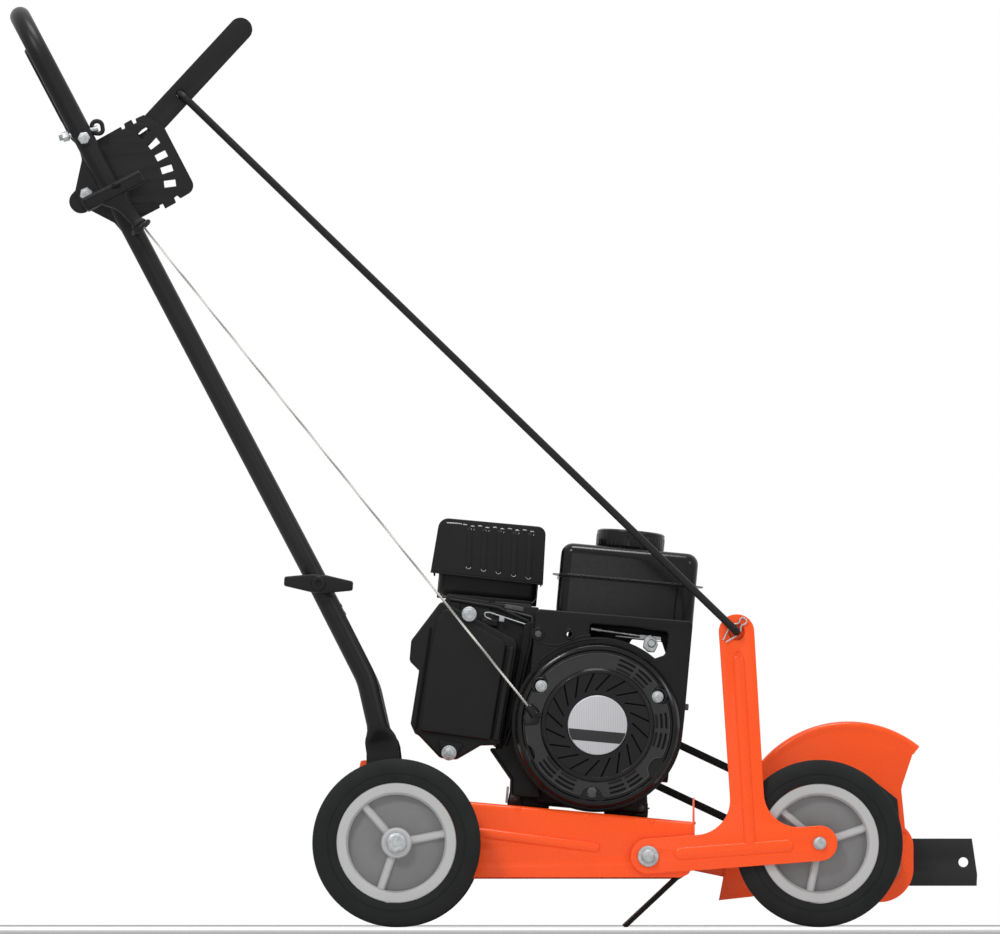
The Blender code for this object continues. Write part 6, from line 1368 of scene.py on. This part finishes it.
    def execute(self, context):
        self.housing()
        self.starter()
        wheel = lathe([(-98.0, 8.5), (-98.0, 30.0), (-90.0, 34.0), (-90.0, 64.0), (-62.0, 64.0),
                       (-62.0, 50.0), (-70.0, 46.0), (-70.0, 8.5)], 72, True)
        fins = []
        for i in range(20):
            fin = block(36.0, 63.0, -103.0, -88.0, -1.1, 1.1, 0.5, 2)
            fins.append(moved(fin, spin(-2 * math.pi * i / 20)))
        piece("flywheel_cast", join(wheel, *fins), ON_CRANK, "cast", "flywheel", body="crankshaft",
              smooth=32.0)
        crank = join(lathe([(-107.0, 0.0), (-107.0, 8.0), (106.0, 8.0), (107.0, 7.0), (107.0, 0.0)], 48),
                     spun([(-107.0, 8.0), (-107.0, 12.5), (-99.0, 12.5), (-99.0, 8.0)], 0.4, 2, 6, True))
        piece("crankshaft_turned", crank, ON_CRANK, "ground steel", "crankshaft", body="crankshaft",
              smooth=32.0)
        return {"FINISHED"}


class EDGER_OT_engine_block(bpy.types.Operator):
    """Crankcase with its feet, ribbed side cover, finned cylinder, plug and oil cap"""

    bl_idname = "edger.engine_block"
    bl_label = "Engine block"

    def execute(self, context):
        body = sheet([rounded([
            (-60.0, -92.0, 3.0), (57.0, -92.0, 3.0), (57.0, 30.0, 22.0), (30.0, 52.0, 14.0),
            (-30.0, 52.0, 14.0), (-60.0, 36.0, 14.0)], 8)], -53.7, 48.0, 2.4, 3)
        parts = [body]
        for x0, x1, web in (
                (-90.5, -46.0,
                 [(-87.5, -88.0), (-87.5, -85.5), (-58.0, -52.0), (-50.0, -52.0), (-50.0, -88.0)]),
                (14.0, 60.0,
                 [(50.0, -88.0), (50.0, -60.0), (56.0, -62.0), (59.0, -84.0), (59.0, -88.0)])):
            parts.append(block(x0, x1, -46.0, 44.0, -96.6, -87.0, 1.8, 3))
            for y in (-44.0, -14.0, 20.0):
                parts.append(sheet([web], y, y + 5.0, 0.8, 2))
        parts.append(block(-42.0, 24.0, -6.0, 44.0, 40.0, 97.7, 3.0, 3))
        parts.append(spun([(46.0, 0.0), (46.0, 50.0), (54.0, 47.0), (56.0, 24.0), (64.0, 20.0),
                           (64.0, 8.0)], 2.0, 4, 96, at=CRANK_LOCAL))
        for k in range(8):
            t = 2 * math.pi * k / 8 + 0.2
            rib = block(24.0, 46.0, 50.0, 57.5, -1.5, 1.5, 0.8, 2)
            parts.append(moved(rib, AT_CRANK @ spin(-t)))
        for x, z in ((-83.6, -87.3), (51.7, -86.7)):
            parts.append(sheet([rounded([
                (x - 7.4, -96.0, 1.0), (x + 8.4, -96.0, 1.0), (x + 7.0, z + 6.6, 4.0),
                (x - 6.0, z + 7.0, 4.0)], 5)], -50.0, -40.0, 1.2, 3))
        piece("engine_stay", block(-93.2, -90.6, -52.0, -44.0, -94.0, -76.6, 0.5, 2), ENGINE, "zinc")
        piece("crankcase_cast", join(*parts), ENGINE, "dark cast", "crankcase")
        heads = []
        for x in (-81.7, 53.4):
            for y in (-38.0, 36.0):
                one = moved(hex_bolt(11.0, 5.0, 8.0), spin(math.radians(-90), "X"))
                heads.append(moved(one, shift(x, y, -86.8)))
        cover_bolts = []
        for k in range(6):
            t = 2 * math.pi * k / 6 + 0.45
            head = moved(hex_bolt(8.0, 4.0), spin(math.pi, "Z"))
            cover_bolts.append(moved(head, AT_CRANK @ shift(43.0 * math.cos(t), 53.8, 43.0 * math.sin(t))))
        for x, z in ((-83.6, -87.3), (51.7, -86.7)):
            cover_bolts.append(bolt_at(x, -49.6, z, 7.6, 3.4, 5.4, True, 0.2))
        piece("engine_bolts", join(*heads, *cover_bolts), ENGINE, "dark bolt", smooth=32.0)

        a = math.radians(152.0)
        cd = (math.cos(a), math.sin(a))
        cn = left_of(cd)

        def across(u0, u1, half):
            """Outline from u0 to u1 along the bore, half to each side of it."""
            return [along(along((0.0, 0.0), cd, u), cn, o)
                    for u, o in ((u0, -half), (u1, -half), (u1, half), (u0, half))]

        fins = []
        for i in range(9):
            t = 62.0 + 7.4 * i
            fins.append(sheet([across(t, t + 2.6, 42.0 if i > 1 else 36.0)], -34.0, 44.0, 0.9, 2))
        core = across(58.0, 132.0, 30.0)
        head = across(130.0, 158.0, 34.0)
        piece("cylinder_cast", join(
            sheet([core], -28.0, 38.0, 2.0, 2), sheet([head], -32.0, 42.0, 3.0, 3),
            block(-118.0, -100.0, 14.0, 40.0, 80.0, 117.7, 1.0, 2), *fins), ENGINE, "cast", "cylinder")
        axis = (cd[0], 0.0, cd[1])
        base = (cd[0] * 158.4, 5.0, cd[1] * 158.4)
        plug = turned(softened([
            (0.0, 0.0), (0.0, 7.0), (10.0, 7.0), (12.0, 5.0), (26.0, 5.0), (26.0, 9.0), (50.0, 8.0),
            (52.0, 6.0), (52.0, 0.0)], 0.8, 3), base, axis, 40)
        piece("spark_plug_and_boot", plug, ENGINE, "rubber", "spark_plug")
        cap = turned(softened([(0.0, 0.0), (0.0, 11.0), (14.0, 11.0), (14.0, 15.0), (22.0, 15.0),
                               (22.0, 0.0)], 0.8, 3), (57.4, 20.0, -40.0), (1, 0, 0), 48)
        ribs = []
        for k in range(10):
            rib = block(71.8, 79.0, 19.2, 20.8, -26.6, -24.4, 0.4, 2)
            about = shift(0.0, 20.0, -40.0) @ spin(math.radians(36 * k), "X") @ shift(0.0, -20.0, 40.0)
            ribs.append(moved(rib, about))
        piece("oil_cap_moulded", join(cap, *ribs), ENGINE, "grained moulding", "oil_cap")
        return {"FINISHED"}


class EDGER_OT_exhaust(bpy.types.Operator):
    """Muffler and the fluted, hemmed heat shield over it"""

    bl_idname = "edger.exhaust"
    bl_label = "Exhaust"

    def execute(self, context):
        can = block(-186.0, -80.0, -8.0, 60.0, 122.0, 196.0, 9.0, 6)
        seam = block(-187.0, -79.0, 25.0, 27.0, 121.0, 197.0, 0.8, 2)
        piece("muffler_can", join(can, seam), ENGINE, "heat paint", "muffler")
        outer = rounded([(-195.5, 147.0, 0.0), (-191.0, 205.3, 11.0), (-76.2, 205.3, 9.0),
                         (-74.0, 144.0, 0.0)], 12)
        inner = rounded([(-194.1, 140.0, 0.0), (-189.5, 203.8, 9.5), (-77.7, 203.8, 7.5),
                         (-75.5, 138.0, 0.0)], 12)
        parts = [sheet([outer], -22.0, -19.4, 1.2, 4)]
        wall = bmesh.new()
        n = len(outer) - 2
        rings = []
        for points in (outer[1:-1], inner[1:-1]):
            line = [(points[0][0] - 1.0, 146.0)] + points + [(points[-1][0] + 0.6, 145.0)]
            for y in (-20.5, 68.0):
                rings.append([wall.verts.new((x * MM, y * MM, z * MM)) for x, z in line])
        for a, b in ((0, 1), (1, 3), (3, 2), (2, 0)):
            for i in range(n + 1):
                wall.faces.new((rings[a][i], rings[a][i + 1], rings[b][i + 1], rings[b][i]))
        parts.append(wall)
        parts.append(bar([(-195.6, -20.8, 146.4), (-74.2, -20.8, 143.6)], 1.1, 4))
        # Painted highlights: bright curls at the foot of each flute, a line and dashes along the top hem
        ends = []
        for i in range(5):
            x, z = -155.4 + 16.3 * i, 156.6 - 1.3 * i
            parts.append(pressed_bead((x, z), (x - 2.4, 194.0), 7.0, -22.0, 1.0))
            turns = [math.radians(206 + 12.8 * k) for k in range(11)]
            curl = [(x + 3.0 * math.cos(t), z + 3.6 * math.sin(t)) for t in turns]
            ends.append(bar(at_depth(curl, -22.6), 0.36, 3))
        ends.append(bar([(-183.0, -21.9, 200.2), (-170.0, -22.1, 200.6), (-166.4, -22.0, 200.2)], 0.7, 3))
        for i in range(10):
            x = -163.0 + 8.05 * i
            z = 199.8 - (0.9 if i % 2 else 0.0)
            ends.append(bar([(x - 1.9, -22.0, z), (x, -22.3, z + 0.3), (x + 1.9, -22.0, z)], 0.66, 3))
            if i % 2:
                ends.append(bar([(x - 1.4, -22.4, z - 2.6), (x - 0.7, -22.4, z - 4.0)], 0.42, 3))
                ends.append(bar([(x + 2.2, -22.4, z - 2.6), (x + 1.6, -22.4, z - 4.0)], 0.42, 3))
        piece("muffler_shield_fluted", join(*parts), ENGINE, "heat paint", "muffler_shield")
        piece("shield_painted_highlights", join(*ends), ENGINE, "bright steel and painted highlight", smooth=60.0)
        flange = sheet([rounded([(-176.0, 124.5, 2.0), (-176.0, 120.4, 2.0), (-84.0, 110.0, 2.0),
                                 (-84.0, 124.5, 2.0)], 4)], -20.0, -9.0, 0.8, 2)
        piece("muffler_flange", flange, ENGINE, "heat paint")
        return {"FINISHED"}


class EDGER_OT_fuel(bpy.types.Operator):
    """Blow-moulded fuel tank with its seam, and the knurled fuel cap"""

    bl_idname = "edger.fuel"
    bl_label = "Fuel tank"

    def execute(self, context):
        x0, x1, y0, y1 = -57.5, 89.9, -48.0, 68.0
        lower = rounded([(x0, y0, 14.0), (x1, y0, 14.0), (x1, y1, 14.0), (x0, y1, 14.0)], 12)
        tank = flat([lower], 98.0, 190.0, 12.0, 10)
        out = 7.3
        seam = flat([rounded([
            (x0 - out, y0 - out, 6.0), (x1 + out, y0 - out, 6.0), (x1 + out, y0 + 16.0, 6.0),
            (x1 + 1.8, y0 + 34.0, 6.0), (x1 + 1.8, y1 + 1.8, 16.0), (x0 - 1.8, y1 + 1.8, 16.0),
            (x0 - 1.8, y0 + 34.0, 6.0), (x0 - out, y0 + 16.0, 6.0)], 8)], 154.3, 155.3, 0.45, 2)
        weld = flat([rounded([
            (x0 - 0.8, y0 - 0.8, 14.6), (x1 + 0.8, y0 - 0.8, 14.6), (x1 + 0.8, y1 + 0.8, 14.6),
            (x0 - 0.8, y1 + 0.8, 14.6)], 10)], 152.8, 156.8, 0.8, 3)
        spout = turned([(187.0, 0.0), (187.0, 23.8), (197.4, 23.8), (197.4, 0.0)], (15.8, 8.0, 0.0),
                       (0, 0, 1), 64)
        panel = bar([(x0 + 9.0, y0 - 0.1, 104.5), (x1 - 22.0, y0 - 0.1, 104.5)], 0.9, 3)
        piece("fuel_tank_moulded", join(tank, seam, weld, spout, panel), ENGINE, "gloss moulding",
              "fuel_tank")
        # Painted shade: dark lines in the tank's lower crease and along the edge under its front
        fold = join(
            bar(bent([(69.8, y0 - 0.5, 151.6), (68.8, y0 - 0.4, 120.0, 6.0), (74.0, y0 - 0.4, 112.4, 3.0),
                      (72.6, y0 - 0.4, 107.0, 3.0), (82.0, y0 + 1.4, 102.6)], 6), 0.75, 4),
            bar([(x0 + 6.0, y0 + 1.0, 101.2), (x1 - 10.0, y0 + 1.0, 101.2)], 1.3, 4))
        piece("tank_fold_shadow_lines", fold, ENGINE, "reel black and painted shadow")
        cap = turned(softened([
            (21.4, 0.0), (21.0, 12.0, 2.0), (20.6, 26.0, 2.0), (20.2, 34.0, 1.4), (18.6, 36.6, 1.4),
            (3.0, 36.8, 1.0), (0.3, 36.2), (0.3, 24.5), (8.0, 24.5), (8.0, 0.0)], 0.5, 4), (0, 0, 0),
            (0, 0, 1), 96)
        ribs = []
        for k in range(48):
            rib = block(36.2, 36.9, -0.9, 0.9, 2.6, 14.6, 0.3, 2)
            ribs.append(moved(rib, spin(2 * math.pi * k / 48, "Z")))
        place = ENGINE @ shift(15.8, 8.0, 190.0)
        piece("fuel_cap_knurled", join(cap, *ribs), place, "gloss moulding", "fuel_cap", body="fuel_cap")
        return {"FINISHED"}


class EDGER_OT_intake(bpy.types.Operator):
    """Air filter cover, base and bolt, carburettor with its disc, governor rod and link plates"""

    bl_idname = "edger.intake"
    bl_label = "Air filter and carburettor"

    def execute(self, context):
        outline = rounded([
            (-180.2, 113.7, 6.0), (-208.6, 68.2, 6.0), (-208.5, 46.8, 5.0), (-197.3, 37.4, 3.0),
            (-201.2, -20.1, 4.0), (-196.0, -29.5, 3.0), (-191.4, -31.6, 0.0), (-167.0, -53.0, 6.0),
            (-148.5, -53.0, 6.0), (-124.6, -36.0, 4.0), (-103.6, -33.6, 5.0), (-94.6, 77.5, 8.0)], 8)
        body = sheet([outline], -93.0, -62.0, 2.4, 4)
        panel = sheet([rounded([
            (-176.0, 106.6, 6.0), (-183.4, 92.0, 4.0), (-187.6, 60.0, 3.0), (-191.0, -27.5, 4.0),
            (-114.4, -30.6, 5.0), (-107.4, 74.6, 8.0)], 8)], -98.0, -90.0, 2.2, 4)
        edge = sheet([rounded([(-103.8, 70.0, 2.0), (-112.2, -29.6, 2.0), (-105.6, -30.6, 2.0),
                               (-98.2, 72.0, 2.0)], 6)], -96.0, -90.0, 1.6, 3)
        bracket = sheet([rounded([(-170.0, -34.0, 2.0), (-165.5, -50.0, 4.0), (-149.5, -50.0, 4.0),
                                  (-142.0, -36.0, 2.0)], 6)], -95.6, -90.0, 1.4, 3)
        piece("air_filter_cover_moulded", join(body, panel, edge, bracket), ENGINE, "grained moulding",
              "air_filter_cover")
        # Painted shade: two dark strips in the grooves beside the cover's panel
        groove_shadows = [sheet([rounded([(-190.6, 84.0, 1.0), (-187.2, 84.0, 1.0), (-193.0, -26.0, 1.0),
                                   (-196.4, -25.0, 1.0)], 3)], -93.3, -92.2, 0.3, 1),
                   sheet([rounded([(-107.6, 72.0, 0.6), (-105.6, 72.0, 0.6), (-113.2, -29.0, 0.6),
                                   (-115.0, -29.0, 0.6)], 3)], -93.3, -92.2, 0.3, 1)]
        piece("filter_cover_groove_shadows", join(*groove_shadows), ENGINE, "reel black and painted shadow")
        base = sheet([rounded([
            (-176.0, 96.0, 5.0), (-200.0, 66.0, 6.0), (-192.0, 40.0, 5.0), (-194.0, -16.0, 4.0),
            (-167.0, -53.0, 6.0), (-148.5, -53.0, 6.0), (-126.0, -30.0, 4.0), (-118.0, 60.0, 6.0)], 6)],
            -61.7, -50.0, 1.6, 3)
        strip = sheet([rounded([(-114.0, 60.0, 1.0), (-121.0, -28.0, 1.0), (-98.0, -44.0, 1.0),
                                (-88.0, 62.0, 1.0)], 3)], -61.4, -58.6, 0.6, 2)
        piece("air_filter_base_moulded", join(base, strip), ENGINE, "grained moulding", "air_filter_base")
        stud = join(spun([(-101.4, 0.0), (-101.4, 7.2), (-100.6, 8.0), (-98.3, 8.0), (-98.3, 3.0),
                          (-52.0, 3.0), (-52.0, 0.0)], 0.5, 3, 40),
                    bolt_at(0.0, -101.3, 0.0, 10.4, 2.6, 0.0, True))
        place = ENGINE @ shift(-157.4, 0.0, -47.6)
        piece("filter_bolt", stud, place, "zinc", "filter_knob", body="filter_knob", smooth=32.0)

        carb = join(
            block(-150.0, -112.0, -49.6, -34.4, 20.0, 66.0, 2.0, 3),
            block(-158.0, -126.0, -49.6, -37.0, 60.0, 112.0, 2.0, 3),
            turned(softened([(0.0, 0.0), (0.0, 12.0), (4.0, 15.0), (24.0, 15.0), (24.0, 0.0)], 1.4, 3),
                   (-131.0, -42.5, 12.0), (0, 0, 1), 48),
            block(-124.0, -84.0, -46.0, -36.0, 88.0, 120.0, 1.4, 3))
        piece("carburettor_cast", carb, ENGINE, "dark cast", "carburettor")
        disc = spun([(-104.0, 0.0), (-104.0, 7.2), (-103.2, 8.0), (-98.4, 8.0), (-98.4, 3.0),
                     (-48.0, 3.0), (-48.0, 0.0)], 0.5, 3, 48, at=(-149.5, 101.3))
        step = lathe([(-104.4, 0.0), (-104.4, 5.0), (-103.9, 5.6), (-103.9, 0.0)], 40, at=(-149.5, 101.3))
        piece("top_bolt", join(disc, step), ENGINE, "zinc")
        heat = sheet([rounded([(-178.0, 86.0, 2.0), (-76.0, 86.0, 2.0), (-76.0, 117.4, 2.0),
                               (-178.0, 117.4, 2.0)], 4)], -49.6, -46.6, 0.8, 3)
        dark = [heat]
        dark.append(sheet([rounded([
            (-176.0, 122.0, 2.0), (-130.0, 119.0, 2.0), (-128.0, 108.0, 4.0), (-118.0, 98.0, 3.0),
            (-96.0, 96.0, 3.0), (-84.0, 92.0, 2.0), (-84.0, 60.0, 2.0), (-112.0, 40.0, 2.0),
            (-124.0, 60.0, 3.0), (-140.0, 96.0, 3.0), (-176.0, 104.0, 2.0)], 4)], -56.0, -52.6, 0.8, 3))
        dark.append(block(-136.0, -118.0, -60.0, -50.0, 92.0, 100.0, 1.6, 3))
        dark.append(block(-170.0, -160.0, -58.0, -48.0, 106.0, 116.0, 1.6, 3))
        dark.append(bar([(-172.0, -58.6, 117.0), (-120.0, -58.6, 113.0), (-86.0, -58.6, 101.0)], 1.6, 4))
        dark.append(bar([(-126.0, -57.4, 90.0), (-122.0, -57.4, 80.0), (-116.0, -57.4, 84.0)], 1.4, 4))
        piece("carburettor_bracket", join(*dark), ENGINE, "dark cast")
        rod = bar(bent([
            (-122.0, -51.2, 106.0), (-132.0, -51.2, 108.5, 3.0), (-134.0, -51.2, 113.5, 1.6),
            (-126.0, -51.2, 113.0, 3.0), (-82.0, -51.2, 106.5, 3.0), (-81.0, -51.2, 60.0)], 8), 1.3, 3)
        piece("governor_wire", rod, ENGINE, "dark bolt", "governor_rod", smooth=60.0)
        wire = bar(bent([(-126.0, -62.0, 99.4), (-132.6, -62.0, 101.6, 2.0), (-133.6, -62.0, 106.0, 1.6),
                         (-128.0, -62.0, 106.6, 3.0), (-84.0, -62.0, 96.4)], 6), 0.8, 3)
        piece("choke_wire", wire, ENGINE, "zinc", smooth=60.0)
        keeper = block(-117.4, -111.8, -64.0, -60.6, 98.0, 104.2, 0.5, 2)
        piece("rod_keeper", keeper, ENGINE, "zinc")
        lever = sheet([rounded([(-113.0, 112.8, 1.0), (-92.0, 111.0, 1.0), (-92.2, 115.6, 1.0),
                                (-112.6, 117.4, 1.0)], 4)], -60.0, -57.0, 0.5, 2)
        piece("throttle_link_plate", lever, ENGINE, "dark bolt")
        return {"FINISHED"}


# Stage

class EDGER_OT_stage(bpy.types.Operator):
    """Pale floor, soft boxes, even surroundings and the camera"""

    bl_idname = "edger.stage"
    bl_label = "Studio"

    def execute(self, context):
        scene = context.scene
        bm = bmesh.new()
        bmesh.ops.create_grid(bm, x_segments=1, y_segments=1, size=12.0)
        mesh = bpy.data.meshes.new("floor")
        bm.to_mesh(mesh)
        bm.free()
        floor = bpy.data.objects.new("floor", mesh)
        scene.collection.objects.link(floor)
        # Matt floor paint, near-white: a plain ground with a soft grey shadow under the machine
        mat = bpy.data.materials.new("studio paint")
        mat.use_nodes = True
        tree = mat.node_tree
        paint = tree.nodes["Principled BSDF"]
        paint.inputs["Base Color"].default_value = linear("#F6F6F6")
        paint.inputs["Roughness"].default_value = 0.9
        paint.inputs["Specular IOR Level"].default_value = 0.1
        mesh.materials.append(mat)

        world = bpy.data.worlds.new("surroundings")
        world.use_nodes = True
        scene.world = world
        plain_white = (1.0, 1.0, 1.0, 1.0)
        back = world.node_tree.nodes["Background"]
        back.inputs["Color"].default_value = plain_white
        back.inputs["Strength"].default_value = 0.32
        ray = node(world, "ShaderNodeLightPath").outputs
        seen = node(world, "ShaderNodeMath", {"operation": "ADD"}, None,
                    {0: ray["Is Camera Ray"], 1: ray["Is Glossy Ray"]})
        total = node(world, "ShaderNodeMath", {"operation": "ADD", "use_clamp": True}, None,
                     {0: seen.outputs[0], 1: ray["Is Transmission Ray"]})
        white = node(world, "ShaderNodeBackground", None, {"Color": plain_white})
        mix = node(world, "ShaderNodeMixShader", None, None,
                   {0: total.outputs[0], 1: back.outputs[0], 2: white.outputs[0]})
        world.node_tree.links.new(mix.outputs[0], world.node_tree.nodes["World Output"].inputs["Surface"])

        for name, place, size, power in (
                ("key", (-1.6, -2.6, 3.0), 0.9, 60.0), ("side", (2.4, -2.2, 1.4), 0.8, 16.0),
                ("top", (0.0, -0.4, 3.4), 1.2, 60.0), ("low", (-0.4, -3.6, 0.7), 1.4, 5.0)):
            lamp = bpy.data.lights.new(name, "AREA")
            lamp.shape = "RECTANGLE"
            lamp.size = size
            lamp.size_y = size * 0.7
            lamp.energy = power
            obj = bpy.data.objects.new(name, lamp)
            scene.collection.objects.link(obj)
            obj.location = place
            obj.rotation_euler = (Vector((0.0, 0.0, 0.4)) - Vector(place)).to_track_quat("-Z", "Y").to_euler()

        eye = bpy.data.cameras.new("eye")
        eye.lens = looks().lens
        eye.clip_end = 60.0
        camera = bpy.data.objects.new("eye", eye)
        scene.collection.objects.link(camera)
        at = Vector((-0.00165, -0.165 - looks().camera_distance, looks().camera_height))
        camera.location = at
        camera.rotation_euler = (Vector((0.00365, -0.165, 0.4856)) - at).to_track_quat("-Z", "Y").to_euler()
        scene.camera = camera
        scene.view_settings.view_transform = "Standard"
        return {"FINISHED"}


class EDGER_PT_build(bpy.types.Panel):
    """Buttons for each group of the edger and its studio"""

    bl_label = "Lawn edger"
    bl_idname = "EDGER_PT_build"
    bl_space_type = "VIEW_3D"
    bl_region_type = "UI"
    bl_category = "Edger"

    def draw(self, context):
        for name in ("tread_segments", "powder_orange", "camera_distance", "camera_height", "lens"):
            self.layout.prop(context.scene.edger_looks, name)
        for operator in OPERATORS:
            self.layout.operator(operator.bl_idname)


OPERATORS = (EDGER_OT_wheels, EDGER_OT_deck, EDGER_OT_front_arm, EDGER_OT_linkage, EDGER_OT_handle,
             EDGER_OT_starter_cord, EDGER_OT_cutter, EDGER_OT_blower, EDGER_OT_engine_block,
             EDGER_OT_exhaust, EDGER_OT_fuel, EDGER_OT_intake, EDGER_OT_stage)


def register():
    bpy.utils.register_class(EDGER_PG_looks)
    bpy.types.Scene.edger_looks = PointerProperty(type=EDGER_PG_looks)
    for operator in OPERATORS:
        bpy.utils.register_class(operator)
    bpy.utils.register_class(EDGER_PT_build)


def unregister():
    bpy.utils.unregister_class(EDGER_PT_build)
    for operator in reversed(OPERATORS):
        bpy.utils.unregister_class(operator)
    del bpy.types.Scene.edger_looks
    bpy.utils.unregister_class(EDGER_PG_looks)


def main():
    register()
    make_finishes(looks())
    for operator in OPERATORS:
        group, name = operator.bl_idname.split(".")
        getattr(getattr(bpy.ops, group), name)()


if __name__ == "__main__":
    main()
